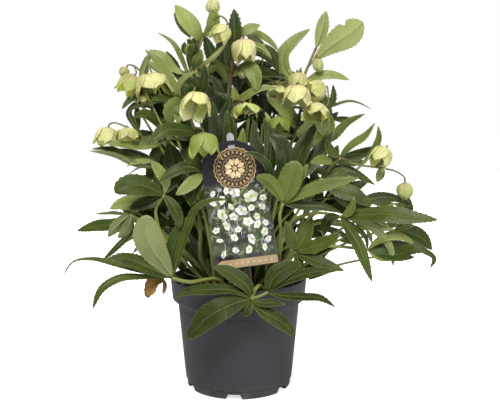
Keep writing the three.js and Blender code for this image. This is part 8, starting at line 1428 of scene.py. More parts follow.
made = {}
seed = 0
for node in plants:
    P = Piece(node, [MATS[k] for k in ("leaf_top", "leaf_gloss", "leaf_matt", "leaf_under", "bract_mid", "bract_top", "bract_under", "stem", "petiole", "petal_out", "petal_green", "petal_olive", "petal_in_backlit", "stamen", "nectary", "withered")])
    for g, kind, r0, r1, pts in STALKS:
        seed += 1
        if g == node:
            stalk(P, MATS["petiole" if kind == "P" else "stem" if kind == "S" else "withered"], np.array(pts, float), r0, r1, kind,
                  RED.get(g, 0.0) if kind == "S" else 0.03, seed, sides=12 if r0 > 2 else 9)
    for g, kind, W, m, fold, blunt, nrm, teeth, pts in LEAVES:
        seed += 1
        if g == node:
            rr = random.Random(seed * 7)
            top, under = {"T": ("leaf_top", "leaf_under"), "D": ("leaf_gloss", "leaf_under"), "U": ("leaf_top", "bract_under" if node.startswith(("stem", "bract")) else "leaf_under"),
                          "B": ("bract_top", "bract_under"), "Y": ("bract_top", "bract_under"), "W": ("withered", "withered"), "M": ("bract_mid", "bract_mid")}[kind]
            if node == "leaf_front" and kind == "T":
                top = "leaf_matt"
            # the tone of each leaf is darkened by painted shade far inside the plant
            leaf(P, MATS[top], MATS[under], np.array(pts, float), W, m, fold, blunt, nrm, kind, teeth, seed, rr.uniform(*(TONE[kind] if node != "leaf_front" else (0.0, 0.24))) * shade(pts, kind), BITE.get(node))
    for g, kind, R, L, o, bl, base, axis in BLOOMS:
        seed += 1
        if g == node:
            bloom(P, MATS, kind, R, L, o, bl, base, axis, seed, TINT.get(g), SKIN.get(g, "petal_out"), CUT.get(g, (54, 2.1, 0.62, 1.0)))
    for j, (g, kind, r0, r1, pts) in enumerate(SIDE_STALKS):
        if g == node:
            stalk(P, MATS["petiole"], np.array(pts, float), r0, r1, kind, 0.03, 50000 + j, sides=12 if r0 > 2 else 9)
    for j, (g, kind, W, m, fold, blunt, nrm, teeth, pts) in enumerate(SIDE_LEAVES):
        if g == node:
            rr = random.Random(60007 + 7 * j)
            # painted shade darkens the tone of these leaves as well
            leaf(P, MATS["leaf_top" if kind == "T" else "leaf_gloss"], MATS["leaf_under"], np.array(pts, float), W, m, fold, blunt, nrm, kind, teeth, 60000 + j, rr.uniform(*TONE[kind]) * shade(pts, kind))
    o = P.build()
    # only the materials this piece wears stay on it
    me = o.data
    idx = np.zeros(len(me.polygons), np.int32)
    me.polygons.foreach_get("material_index", idx)
    used = sorted(set(idx.tolist()))
    keep = [me.materials[i] for i in used]
    back = np.zeros(len(me.materials), np.int32)
    for a, b in enumerate(used):
        back[b] = a
    me.materials.clear()
    for x in keep:
        me.materials.append(x)
    me.polygons.foreach_set("material_index", back[idx])
    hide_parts(node)
    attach(o, "root")
    made[node] = o

# ---------------------------------------------------------------- helpers for made pieces
def link(name, me, mats, nodes=()):
    o = bpy.data.objects.new(name, me)
    for m in mats:
        if m.name not in [x.name for x in me.materials if x]:
            me.materials.append(m)
    bpy.context.scene.collection.objects.link(o)
    if nodes:
        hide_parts(*nodes)
    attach(o, "root")
    return o


def rounded(points, radii, steps=4):
    """The corners of an open outline, each rounded by its radius."""
    out = [tuple(points[0])]
    for i in range(1, len(points) - 1):
        p, a, b = (np.asarray(points[k], float) for k in (i, i - 1, i + 1))
        r = radii.get(i, 0)
        if r <= 0:
            out.append(tuple(p))
            continue
        ua, ub = unit(a - p), unit(b - p)
        cosv = float(np.clip(ua @ ub, -1, 1))
        half = math.acos(cosv) / 2
        d = min(r / max(1e-6, math.tan(half)), 0.49 * np.linalg.norm(a - p), 0.49 * np.linalg.norm(b - p))
        for k in range(steps + 1):
            x = k / steps
            q = (1 - x) ** 2 * (p + ua * d) + 2 * x * (1 - x) * p + x * x * (p + ub * d)
            out.append(tuple(q))
    out.append(tuple(points[-1]))
    return out


def split(points, most):
    """The same outline with no step longer than most."""
    out = [np.asarray(points[0], float)]
    for p in points[1:]:
        p = np.asarray(p, float)
        k = max(1, int(math.ceil(np.linalg.norm(p - out[-1]) / most)))
        a = out[-1]
        for i in range(1, k + 1):
            out.append(a + (p - a) * i / k)
    return np.array(out)


def lathe(name, prof, sides):
    """A closed turned shape. prof runs from the axis to the axis, in mm."""
    prof = np.asarray(prof, float)
    ang = np.arange(sides) * 2 * math.pi / sides
    inner = prof[1:-1]
    v = np.stack([inner[:, 0][:, None] * np.cos(ang), inner[:, 0][:, None] * np.sin(ang), np.repeat(inner[:, 1][:, None], sides, 1)], -1).reshape(-1, 3)
    v = np.concatenate([v, [[0, 0, prof[0, 1]], [0, 0, prof[-1, 1]]]]) * MM
    n = len(inner)
    faces = []
    for i in range(n - 1):
        for k in range(sides):
            b = (k + 1) % sides
            faces.append((i * sides + k, i * sides + b, (i + 1) * sides + b, (i + 1) * sides + k))
    for k in range(sides):
        b = (k + 1) % sides
        faces.append((n * sides, b, k))
        faces.append((n * sides + 1, (n - 1) * sides + k, (n - 1) * sides + b))
    me = bpy.data.meshes.new(name)
    me.from_pydata([tuple(x) for x in v], [], faces)
    bm = bmesh.new()
    bm.from_mesh(me)
    bmesh.ops.recalc_face_normals(bm, faces=bm.faces)
    bm.to_mesh(me)
    bm.free()
    return me


def soften(me, degrees):
    """Smooth shading, with edges past this angle kept sharp."""
    bm = bmesh.new()
    bm.from_mesh(me)
    for f in bm.faces:
        f.smooth = True
    lim = math.radians(degrees)
    for e in bm.edges:
        e.smooth = len(e.link_faces) == 2 and e.calc_face_angle(0) < lim
    bm.to_mesh(me)
    bm.free()


def cut(me, cutters):
    """me less every cutter mesh."""
    o = bpy.data.objects.new("work", me)
    bpy.context.scene.collection.objects.link(o)
    bm = bmesh.new()
    for c in cutters:
        bm.from_mesh(c)
    cm = bpy.data.meshes.new("cutters")
    bm.to_mesh(cm)
    bm.free()
    c = bpy.data.objects.new("cutters", cm)
    bpy.context.scene.collection.objects.link(c)
    mod = o.modifiers.new("cut", "BOOLEAN")
    mod.operation, mod.object, mod.solver = "DIFFERENCE", c, "EXACT"
    dg = bpy.context.evaluated_depsgraph_get()
    out = bpy.data.meshes.new_from_object(o.evaluated_get(dg))
    bpy.data.objects.remove(o)
    bpy.data.objects.remove(c)
    return out


def prism(outline, y0, y1, turn):
    """An outline in X and Z pushed from y0 to y1 and turned about Z."""
    n = len(outline)
    v = [(x * MM, y0 * MM, z * MM) for x, z in outline] + [(x * MM, y1 * MM, z * MM) for x, z in outline]
    faces = [tuple(range(n)), tuple(range(2 * n - 1, n - 1, -1))]
    faces += [(i, i + n, (i + 1) % n + n, (i + 1) % n) for i in range(n)]
    me = bpy.data.meshes.new("prism")
    me.from_pydata(v, [], faces)
    bm = bmesh.new()
    bm.from_mesh(me)
    bmesh.ops.recalc_face_normals(bm, faces=bm.faces)
    bm.to_mesh(me)
    bm.free()
    me.transform(Matrix.Rotation(turn, 4, "Z"))
    return me


# ---------------------------------------------------------------- pot
POT = [(0, 0), (22, 0), (24, 7.4), (54.4, 7.4), (59.4, 0), (64.0, 0), (65.0, 1.2), (65.5, 9.2), (67.0, 10.4), (75.4, 99.8), (75.05, 100.8), (75.5, 102.0),
       (75.8, 105.0), (82.7, 111.6), (84.8, 133.2), (85.0, 137.0), (82.9, 137.0), (81.2, 113), (74.4, 105.8), (65.7, 12), (62.4, 10), (0, 10)]
prof = rounded(POT, {1: 1.2, 2: 1.5, 3: 1.5, 4: 1.2, 5: 2.6, 6: 3.2, 7: 0.5, 8: 0.5, 9: 0.5, 10: 2.2, 11: 3.0, 12: 1.2, 13: 1.1, 14: 0.9, 15: 2.0, 16: 2.0, 17: 2.5, 18: 1.5}, 5)
pot_me = lathe("pot_wall", split(prof, 9.0), 144)
cutters = []
for k in range(6):
    turn = math.radians(-4.3 + 60 * k)
    shape = rounded([(-13, -3), (-10.9, -1.2), (-7.0, 6.2), (7.0, 6.2), (10.9, -1.2), (13, -3)], {2: 1.6, 3: 1.6}, 4)
    cutters.append(prism(shape, -73, -47, turn))
    ring = [(4 * math.cos(a), 4 * math.sin(a)) for a in np.arange(24) * 2 * math.pi / 24]
    hole = prism(ring, -12, 12, 0)
    hole.transform(Matrix.Rotation(math.pi / 2, 4, "X"))
    hole.transform(Matrix.Translation((0, -0.038, 0.004)))
    hole.transform(Matrix.Rotation(turn, 4, "Z"))
    cutters.append(hole)
pot_me = cut(pot_me, cutters)
pot_me.name = "pot_wall"
soften(pot_me, 34)
N = Nodes("moulded_plastic")
sx, sy, sz = (N.new("ShaderNodeSeparateXYZ").outputs[i] for i in range(3))
sep = sx.node
for extra in [n for n in N.t.nodes if n.type == "SEPXYZ" and n != sep]:
    N.t.nodes.remove(extra)
N.t.links.new(N.coord(), sep.inputs[0])
sx, sy, sz = sep.outputs
angle = N.math("ARCTAN2", sy, sx)
around = N.new("ShaderNodeCombineXYZ")
N.t.links.new(N.math("MULTIPLY", angle, 2.2), around.inputs[0])
N.t.links.new(N.math("MULTIPLY", sz, 3.0), around.inputs[1])
streak = N.noise(7.0, 4.0, 0.6, around.outputs[0])
big = N.noise(14.0, 3.0, 0.6)
grain = N.noise(1500.0, 2.0, 0.7)
col = N.mix(N.step(0.3, 0.7, streak), (0.0270, 0.0285, 0.0325), (0.0310, 0.0325, 0.0365))
col = N.mix(N.math("MULTIPLY", N.step(0.5, 0.8, big), 0.25), col, (0.034, 0.0355, 0.039))
dust = N.math("MULTIPLY", N.math("SUBTRACT", 1.0, N.step(0.0, 0.022, sz)), N.step(0.35, 0.75, N.noise(60.0, 4.0, 0.65)))
col = N.mix(N.math("MULTIPLY", dust, 0.4), col, (0.13, 0.115, 0.095))
crumb = N.math("MULTIPLY", N.step(0.62, 0.72, N.noise(230.0, 3.0, 0.6)), N.step(0.121, 0.137, sz))
col = N.mix(N.math("MULTIPLY", crumb, 0.5), col, (0.12, 0.10, 0.08))
N.set(Base_Color=col)
N.b.inputs["Specular IOR Level"].default_value = 0.4
N.set(Roughness=N.math("ADD", N.line(0.3, 0.7, 0.44, 0.58, big), N.math("MULTIPLY", grain, 0.06)))
N.bump(N.math("ADD", N.math("MULTIPLY", grain, 0.35), N.math("MULTIPLY", streak, 0.2)), 0.00012, 0.5)
pot_o = link("nursery_pot", pot_me, [N.m], ["pot"])


# ---------------------------------------------------------------- soil
def lumps(x, y, seed):
    """A smooth bumpy field from a few dozen waves."""
    rng = np.random.RandomState(seed)
    z = np.zeros_like(x)
    for lam, amp in ((22, 0.55), (11, 0.5), (6, 0.42), (3.4, 0.3)):
        for _ in range(7):
            a = rng.uniform(0, 6.2832)
            ph = rng.uniform(0, 6.2832)
            k = 6.2832 / (lam * rng.uniform(0.75, 1.3))
            z += amp * 0.38 * np.sin(k * (x * math.cos(a) + y * math.sin(a)) + ph)
    return z


nr, na = 56, 168
rr = np.linspace(0, 1, nr + 1)[1:] ** 0.85 * 80.4
aa = np.arange(na) * 2 * math.pi / na
R2, A2 = np.meshgrid(rr, aa, indexing="ij")
X2, Y2 = R2 * np.cos(A2), R2 * np.sin(A2)
crown = np.interp(R2, [0, 50, 80.8], [123.9, 122.9, 120.0])
Z2 = crown + lumps(X2, Y2, 11) * np.minimum(1, (83 - R2) / 9)
v = np.stack([X2, Y2, Z2], -1).reshape(-1, 3)
low = []
for r, z in ((80.5, 115.0), (79.6, 113.2), (72.8, 105.0), (64.6, 13.5), (60.0, 10.6)):
    low.append(np.stack([r * np.cos(aa), r * np.sin(aa), np.full(na, z)], 1))
v = np.concatenate([v] + low + [[[0, 0, float(crown[0, 0])]], [[0, 0, 10.6]]])
faces = []
nrow = nr + len(low)
for i in range(nrow - 1):
    for k in range(na):
        b = (k + 1) % na
        faces.append((i * na + k, (i + 1) * na + k, (i + 1) * na + b, i * na + b))
for k in range(na):
    b = (k + 1) % na
    faces.append((nrow * na, k, b))
    faces.append((nrow * na + 1, (nrow - 1) * na + b, (nrow - 1) * na + k))
rng = random.Random(5)
ico = bmesh.new()
bmesh.ops.create_icosphere(ico, subdivisions=1, radius=1.0)
ico_v = np.array([tuple(x.co) for x in ico.verts])
ico_f = [tuple(x.index for x in f.verts) for f in ico.faces]
ico.free()
ico2 = bmesh.new()
bmesh.ops.create_icosphere(ico2, subdivisions=2, radius=1.0)
ico2_v = np.array([tuple(x.co) for x in ico2.verts])
ico2_f = [tuple(x.index for x in f.verts) for f in ico2.faces]
ico2.free()


def ground(x, y):
    r = math.hypot(x, y)
    return float(np.interp(r, [0, 50, 80.8], [123.9, 122.9, 120.0]) + lumps(np.array([x]), np.array([y]), 11)[0] * min(1, (83 - r) / 9))


fmat = [0] * len(faces)
allv = [v]
count = len(v)


def lump(x, y, size, stretch, mat, fine, up=0.35):
    global count
    bv, bf = (ico2_v, ico2_f) if fine else (ico_v, ico_f)
    w = bv * (1 + 0.28 * np.array([math.sin(5.1 * a[0] + size * 9) * math.cos(4.3 * a[1] + x) for a in bv])[:, None])
    w = w * np.array([size * stretch, size, size * rng.uniform(0.55, 0.9)])
    m = np.array(Matrix.Rotation(rng.uniform(0, 6.28), 3, "Z") @ Matrix.Rotation(rng.uniform(-0.5, 0.5), 3, "X") @ Matrix.Rotation(rng.uniform(-0.4, 0.4), 3, "Y"))
    w = w @ m.T + [x, y, ground(x, y) + size * up]
    allv.append(w)
    faces.extend(tuple(i + count for i in f) for f in bf)
    fmat.extend([mat] * len(bf))
    count += len(w)


def spot():
    while True:
        x, y = rng.uniform(-79, 79), rng.uniform(-79, 79)
        if math.hypot(x, y) < 78.5:
            return x, y


for _ in range(620):
    x, y = spot()
    s = rng.choice([0.7, 0.9, 1.2, 1.6, 2.1]) * rng.uniform(0.8, 1.25)
    lump(x, y, s, rng.uniform(1.0, 1.9), 0, s > 1.5)
for _ in range(130):
    x, y = spot()
    lump(x, y, rng.uniform(0.35, 0.7), rng.uniform(3.5, 8.0), 1, False, 0.6)
for x, y, s in [(-76.2, 14.0, 1.5), (-71.3, 16.5, 1.9), (-67.1, 11.5, 1.3), (-12.6, 16.5, 1.2), (-8.7, 14.5, 1.5), (-4.9, 13.5, 1.2), (22.8, -20.5, 1.4), (46.9, 0.5, 1.0), (55.7, 0.5, 1.2), (64.8, 6.0, 1.3), (-35.1, 33.5, 0.9), (9.2, 0.5, 1.0), (-50.0, 22.5, 0.9), (39.1, -10.0, 1.0)]:
    lump(x, y, s, rng.uniform(1.1, 1.6), 2, True, 0.55)
for _ in range(40):
    x, y = spot()
    lump(x, y, rng.uniform(0.5, 1.15), rng.uniform(1.0, 1.8), 2, True, 0.45)
soil_me = bpy.data.meshes.new("soil_top")
soil_me.from_pydata([tuple(x) for x in np.concatenate(allv) * MM], [], faces)
soil_me.polygons.foreach_set("material_index", np.array(fmat, np.int32))
soil_me.polygons.foreach_set("use_smooth", np.array([m != 1 for m in fmat]))
soil_me.update()


def soil_material(name, a, b, c, rough):
    N = Nodes(name)
    f1 = N.noise(160.0, 5.0, 0.7)
    f2 = N.noise(700.0, 4.0, 0.7)
    f3 = N.cells(260.0)
    col = N.mix(N.step(0.35, 0.7, f1), a, b)
    col = N.mix(N.math("MULTIPLY", N.step(0.58, 0.75, f2), 0.55), col, c)
    N.set(Base_Color=col)
    N.b.inputs["Specular IOR Level"].default_value = 0.3
    N.set(Roughness=N.line(0.3, 0.7, rough - 0.15, rough, f2))
    N.bump(N.math("ADD", N.math("MULTIPLY", f3, 0.8), N.math("ADD", f1, f2)), 0.0011, 1.0)
    return N.m


soil_o = link("peat_soil", soil_me, [
    soil_material("moist_peat", (0.0075, 0.0055, 0.004), (0.021, 0.0145, 0.009), (0.048, 0.032, 0.019), 0.95),
    soil_material("peat_fibres", (0.035, 0.02, 0.010), (0.095, 0.055, 0.028), (0.15, 0.10, 0.055), 0.85),
    soil_material("pale_bits", (0.30, 0.27, 0.18), (0.52, 0.49, 0.36), (0.60, 0.58, 0.47), 0.8)], ["soil"])


# ---------------------------------------------------------------- plant label
card_up = unit(CARD_UP)
card_out = unit(np.cross(unit(CARD_RIGHT), card_up))
card_right = unit(np.cross(card_up, card_out))
CARD = Matrix(((card_right[0], card_up[0], card_out[0], CARD_ORIGIN[0] * MM), (card_right[1], card_up[1], card_out[1], CARD_ORIGIN[1] * MM),
               (card_right[2], card_up[2], card_out[2], CARD_ORIGIN[2] * MM), (0, 0, 0, 1)))
arch = np.array([(71.9, 124.2, 0), (69.9, 129.7, 0), (65.4, 135.6, 0), (57.0, 143.1, 0), (48.3, 148.0, 0), (36.9, 150.3, 0), (25.0, 148.6, 0), (14.9, 143.2, 0), (8.3, 137.7, 0), (2.7, 130.2, 0), (0.0, 125.3, 0)])
arc = along(arch, np.linspace(0, 1, 45))[:, :2]
outline = rounded([(40, 0.5), (0.0, 0.0), (0.0, 60.0)], {1: 2.0}, 5)[1:-1] + []
right = rounded([(40, 0.5), (76.0, 1.0), (74.0, 60.0)], {1: 2.0}, 5)[1:-1]
card_outline = list(reversed(outline)) + [tuple(q) for q in right] + [tuple(q) for q in arc]
slot_hole = rounded([(37.6, 138.9), (42.2, 138.9), (42.2, 145.3), (33.0, 145.3), (33.0, 138.9), (37.6, 138.9)], {1: 0.9, 2: 0.9, 3: 0.9, 4: 0.9}, 4)[1:-1]


def plate(bm, loops, z0, z1, mat, bevel=0.0):
    """A flat plate with the first outline outside and the others cut out of it. Its faces get this material."""
    def ring(pts, z):
        return [bm.verts.new((x * MM, y * MM, z * MM)) for x, y in pts]

    sets = []
    for z in (z0, z1):
        vs, es = [], []
        for pts in loops:
            r = ring(pts, z)
            es += [bm.edges.new((r[i], r[(i + 1) % len(r)])) for i in range(len(r))]
            vs.append(r)
        faces = bmesh.ops.triangle_fill(bm, edges=es, use_beauty=True, use_dissolve=False)["geom"]
        for f in faces:
            if isinstance(f, bmesh.types.BMFace):
                f.material_index = mat
                f.normal_update()
                if (f.normal.z > 0) != (z == z1):
                    f.normal_flip()
        sets.append(vs)
    for a, b in zip(*sets):
        n = len(a)
        area2 = sum(a[i].co.x * a[(i + 1) % n].co.y - a[(i + 1) % n].co.x * a[i].co.y for i in range(n))
        outer = a is sets[0][0]
        for i in range(n):
            j = (i + 1) % n
            q = [a[i], a[j], b[j], b[i]]
            if (area2 > 0) != outer:
                q.reverse()
            f = bm.faces.new(q)
            f.material_index = mat


def star(cx, cy, r, k, depth, turn, n=40):
    """A wavy-edged disc with k lobes."""
    return [(cx + r * (1 + depth * math.cos(k * a)) * math.cos(a + turn), cy + r * (1 + depth * math.cos(k * a)) * math.sin(a + turn)) for a in np.arange(n) * 2 * math.pi / n]


def petal2(cx, cy, r0, r1, w, turn, n=9, point=0.5):
    """A petal outline from r0 to r1, w wide."""
    out = []
    for side in (1, -1):
        ks = range(n + 1) if side == 1 else range(n - 1, 0, -1)
        for k in ks:
            x = k / n
            y = side * w * 0.5 * math.sin(math.pi * x ** (0.8 if point < 0.5 else 1.2)) ** 0.75
            rr = r0 + (r1 - r0) * x
            out.append((cx + rr * math.cos(turn) - y * math.sin(turn), cy + rr * math.sin(turn) + y * math.cos(turn)))
    return out


def disc(cx, cy, r, n=16, k=1.0, turn=0.0):
    return [(cx + r * math.cos(a) * math.cos(turn) - r * k * math.sin(a) * math.sin(turn), cy + r * math.cos(a) * math.sin(turn) + r * k * math.sin(a) * math.cos(turn)) for a in np.arange(n) * 2 * math.pi / n]


def inside_card(pts, lo=11.6, hi=101.0):
    for x, y in pts:
        if not (lo < y < hi and 1.0 < x < 75.0 - y * 0.033):
            return False
    return True


bm = bmesh.new()
plate(bm, [card_outline, slot_hole], 0.0, 0.9, 0)
edges = [e for e in bm.edges if len(e.link_faces) == 2 and e.calc_face_angle(0) > 0.8]
bmesh.ops.bevel(bm, geom=edges, offset=0.16 * MM, segments=2, profile=0.6, affect="EDGES", clamp_overlap=True)
# ornament: a scalloped medallion with rings of small petals round a rosette
MX, MY = 38.2, 117.6
plate(bm, [star(MX, MY, 24.6, 24, 0.022, 0.0, 144)], 0.86, 0.93, 1)
plate(bm, [star(MX, MY, 23.2, 24, 0.02, 0.0, 144)], 0.90, 0.96, 2)
plate(bm, [disc(MX, MY, 21.6, 72), disc(MX, MY, 20.9, 72)], 0.93, 0.99, 1)
for k in range(24):
    a = k * 2 * math.pi / 24
    plate(bm, [petal2(MX, MY, 16.4, 20.3, 2.5, a, 7)], 0.93, 0.99, 1)
    plate(bm, [disc(MX + 15.3 * math.cos(a + math.pi / 24), MY + 15.3 * math.sin(a + math.pi / 24), 0.5, 10)], 0.93, 0.99, 1)
plate(bm, [disc(MX, MY, 14.2, 60), disc(MX, MY, 13.7, 60)], 0.93, 0.99, 1)
for k in range(8):
    a = k * 2 * math.pi / 8 + 0.39
    plate(bm, [petal2(MX, MY, 3.4, 12.4, 5.2, a, 9)], 0.93, 0.99, 3)
    plate(bm, [petal2(MX, MY, 6.0, 12.6, 2.2, a + math.pi / 8, 7)], 0.92, 0.975, 1)
plate(bm, [disc(MX, MY, 2.7, 24)], 0.93, 1.0, 1)
# a bed of generic blossoms, stems and leaves
rng2 = random.Random(23)
for k in range(150):
    x, y = rng2.uniform(4, 72), rng2.uniform(14, 97)
    ln = rng2.uniform(4, 13)
    pts = petal2(x, y, 0, ln, ln * rng2.uniform(0.18, 0.36), rng2.uniform(0, 6.28), 7)
    if inside_card(pts):
        plate(bm, [pts], 0.87, 0.905 + 0.0001 * k, 4 if y < 48 and rng2.random() < 0.6 else 4 + k % 2)
for k in range(46):
    x, y = rng2.uniform(6, 70), rng2.uniform(14, 80)
    ln = rng2.uniform(10, 24)
    pts = petal2(x, y, 0, ln, 0.7, math.pi / 2 + rng2.uniform(-0.7, 0.7), 5)
    if inside_card(pts):
        plate(bm, [pts], 0.87, 0.922 + 0.0001 * k, 5 + 7 * (k % 2))
blooms2 = []
for k in range(700):
    x, y = rng2.uniform(7, 69), rng2.uniform(17, 95)
    r = rng2.uniform(4.4, 10.2)
    if all(math.hypot(x - a, y - b) > (r + c) * 0.8 for a, b, c in blooms2) and inside_card(disc(x, y, r + 0.4, 12)):
        blooms2.append((x, y, r))
for k, (x, y, r) in enumerate(blooms2):
    turn = rng2.uniform(0, 6.28)
    lean, flat2 = rng2.uniform(0, 3.14), rng2.uniform(0.55, 0.95)
    tint2 = rng2.choice([6, 6, 7, 7, 12, 13])

    def seen2(pts):
        """Presses a round flower flat along one direction, as one that is seen from the side."""
        ca, sa = math.cos(lean), math.sin(lean)
        out = []
        for px, py in pts:
            u, w = (px - x) * ca + (py - y) * sa, (-(px - x) * sa + (py - y) * ca) * flat2
            out.append((x + u * ca - w * sa, y + u * sa + w * ca))
        return out

    for j in range(5):
        a = turn + j * 2 * math.pi / 5
        plate(bm, [seen2(petal2(x, y, r * 0.08, r * rng2.uniform(0.82, 1.0), r * rng2.uniform(0.7, 0.95), a, 8, 0.7))], 0.90, 0.950 + 0.004 * j, tint2 if j % 2 else 6 + (k + j) % 2)
    plate(bm, [seen2(disc(x, y, r * 0.24, 14))], 0.93, 0.985, 8)
    for j in range(7):
        a = turn + j * 2 * math.pi / 7 + 0.3
        plate(bm, [seen2(disc(x + r * 0.36 * math.cos(a), y + r * 0.36 * math.sin(a), r * 0.055, 8))], 0.93, 0.99, 9)
# the band along the bottom, with a row of lozenges
band = [(6.0, 1.1), (73.6, 1.9), (75.0, 3.4), (74.7, 10.4), (73.2, 11.4), (9.5, 11.4), (4.2, 8.4), (3.6, 3.0)]
band = rounded([band[-1]] + band + [band[0]], {i: 1.6 for i in range(1, 9)}, 4)[1:-1]
plate(bm, [band], 0.86, 0.95, 10)
for k in range(9):
    x, y = 12 + k * 6.9, 6.3 + 0.05 * k
    plate(bm, [[(x - 1.7, y), (x, y - 1.2), (x + 1.7, y), (x, y + 1.2)]], 0.93, 0.985, 11)
me = bpy.data.meshes.new("label_card_print")
bm.to_mesh(me)
bm.free()
a = me.attributes.new("lc", "FLOAT_VECTOR", "POINT")
co = np.zeros(len(me.vertices) * 3, np.float32)
me.vertices.foreach_get("co", co)
a.data.foreach_set("vector", co)
me.transform(CARD)
for p in me.polygons:
    p.use_smooth = False


def print_material(name, a, b, scale=200.0, rough=0.24, metal=0.0, mottle=0.5):
    N = Nodes(name)
    f = N.noise(scale, 3.0, 0.6)
    g = N.noise(2600.0, 1.0, 0.5)
    col = N.mix(N.step(0.5 - mottle / 2, 0.5 + mottle / 2, f), a, b)
    N.set(Base_Color=col)
    N.b.inputs["Metallic"].default_value = metal
    N.set(Roughness=N.line(0.3, 0.7, rough - 0.05, rough + 0.07, g))
    N.bump(g, 0.00002, 0.4)
    return N.m


N = Nodes("card_ground")
x, y, z, vec = N.attr("lc")
# charcoal above, fading into a garden-like mottle of greens, greys and darks below
soft = N.noise(55.0, 4.0, 0.65)
soft2 = N.noise(120.0, 4.0, 0.65)
spots = N.cells(130.0)
low = N.mix(N.step(0.35, 0.68, soft), (0.010, 0.014, 0.010), (0.075, 0.095, 0.04))
low = N.mix(N.math("MULTIPLY", N.math("MULTIPLY", N.step(0.50, 0.70, soft2), N.line(0.02, 0.09, 0.25, 1.0, y)), 0.85), low, (0.36, 0.37, 0.35))
low = N.mix(N.math("MULTIPLY", N.math("SUBTRACT", 1.0, N.step(0.12, 0.4, spots)), 0.3), low, (0.50, 0.50, 0.46))
top = N.mix(N.noise(30.0, 3.0), (0.012, 0.011, 0.014), (0.024, 0.022, 0.026))
edge = N.math("ADD", y, N.math("MULTIPLY", N.math("SUBTRACT", soft, 0.5), 0.03))
col = N.mix(N.step(0.092, 0.108, edge), low, top)
col = N.mix(N.math("SUBTRACT", 1.0, N.step(0.010, 0.022, edge)), col, (0.018, 0.016, 0.017))
back = N.math("SUBTRACT", 1.0, N.step(0.0002, 0.0005, z))
col = N.mix(back, col, (0.55, 0.55, 0.53))
rim = N.new("ShaderNodeNewGeometry")
N.set(Base_Color=col)
N.t.nodes.remove(rim)
g = N.noise(2200.0, 1.0, 0.5)
N.set(Roughness=N.line(0.3, 0.7, 0.17, 0.27, g))
N.b.inputs["Coat Weight"].default_value = 0.35
N.b.inputs["Coat Roughness"].default_value = 0.12
N.bump(N.math("ADD", g, N.math("MULTIPLY", N.noise(40.0, 2.0), 2.0)), 0.00004, 0.5)
card_mats = [N.m,
             print_material("print_gold", (0.36, 0.235, 0.095), (0.52, 0.37, 0.17), 90.0, 0.26),
             print_material("print_dark_brown", (0.026, 0.020, 0.018), (0.042, 0.032, 0.027), 90.0, 0.24),
             print_material("print_pale_gold", (0.55, 0.42, 0.22), (0.70, 0.58, 0.36), 90.0, 0.26),
             print_material("print_deep_green", (0.020, 0.038, 0.016), (0.055, 0.085, 0.03), 180.0),
             print_material("print_soft_green", (0.10, 0.15, 0.05), (0.24, 0.29, 0.12), 180.0),
             print_material("print_cream", (0.55, 0.56, 0.47), (0.80, 0.79, 0.70), 160.0),
             print_material("print_white", (0.62, 0.60, 0.58), (0.86, 0.85, 0.82), 160.0),
             print_material("print_lime", (0.28, 0.36, 0.08), (0.48, 0.52, 0.16), 300.0),
             print_material("print_yellow", (0.60, 0.46, 0.12), (0.74, 0.62, 0.25), 300.0),
             print_material("print_band", (0.33, 0.235, 0.125), (0.44, 0.325, 0.19), 60.0),
             print_material("print_band_pale", (0.52, 0.43, 0.30), (0.60, 0.51, 0.38), 60.0),
             print_material("print_grey_lilac", (0.34, 0.33, 0.37), (0.58, 0.56, 0.60), 200.0),
             print_material("print_pale_green", (0.38, 0.44, 0.26), (0.56, 0.60, 0.42), 200.0)]
me.name = "card_with_print"
card_o = link("plant_label", me, card_mats, ["label_card"])

# the strip that carries the card
bm = bmesh.new()
strip = rounded([(37.6, -62.0), (41.8, -48.0), (41.8, 156.1), (39.4, 159.1), (35.8, 159.1), (33.4, 156.1), (33.4, -48.0), (37.6, -62.0)], {2: 1.8, 3: 1.6, 4: 1.6, 5: 1.8}, 4)[:-1]
plate(bm, [strip], -1.5, -0.4, 0)
edges = [e for e in bm.edges if len(e.link_faces) == 2 and e.calc_face_angle(0) > 0.8]
bmesh.ops.bevel(bm, geom=edges, offset=0.22 * MM, segments=2, profile=0.6, affect="EDGES", clamp_overlap=True)
groove = [(-1.9, 0), (1.9, 0)]
tab = rounded([(37.6, 140.3), (40.9, 140.3), (40.9, 143.9), (34.3, 143.9), (34.3, 140.3), (37.6, 140.3)], {1: 0.8, 2: 0.8, 3: 0.8, 4: 0.8}, 4)[1:-1]
start = len(bm.faces)
plate(bm, [tab], -0.6, 1.7, 0)
bm.edges.ensure_lookup_table()
top_edges = [e for e in bm.edges if all(v_.co.z > 1.6 * MM for v_ in e.verts) and len(e.link_faces) == 2 and e.calc_face_angle(0) > 0.8]
bmesh.ops.bevel(bm, geom=top_edges, offset=0.5 * MM, segments=3, profile=0.5, affect="EDGES", clamp_overlap=True)
# two raised ribs along the strip, as on moulded label stakes
for x0 in (35.1, 39.3):
    rib = rounded([(x0 + 0.4, -44), (x0 + 0.8, -44), (x0 + 0.8, 153), (x0, 153), (x0, -44), (x0 + 0.4, -44)], {1: 0.3, 2: 0.3, 3: 0.3, 4: 0.3}, 3)[1:-1]
    plate(bm, [rib], -1.75, -1.4, 0)
me = bpy.data.meshes.new("stake_strip")
bm.to_mesh(me)
bm.free()
me.transform(CARD)
soften(me, 28)
N = Nodes("stake_plastic")
f = N.noise(40.0, 3.0, 0.6)
g = N.noise(900.0, 2.0, 0.6)
_, _, sz2, _ = (lambda t: (t.outputs[0], t.outputs[1], t.outputs[2], None))(N.t.nodes.new("ShaderNodeSeparateXYZ"))
N.t.links.new(N.coord(), sz2.node.inputs[0])
upper_plastic = N.mix(N.step(0.3, 0.7, f), (0.22, 0.23, 0.235), (0.36, 0.37, 0.375))
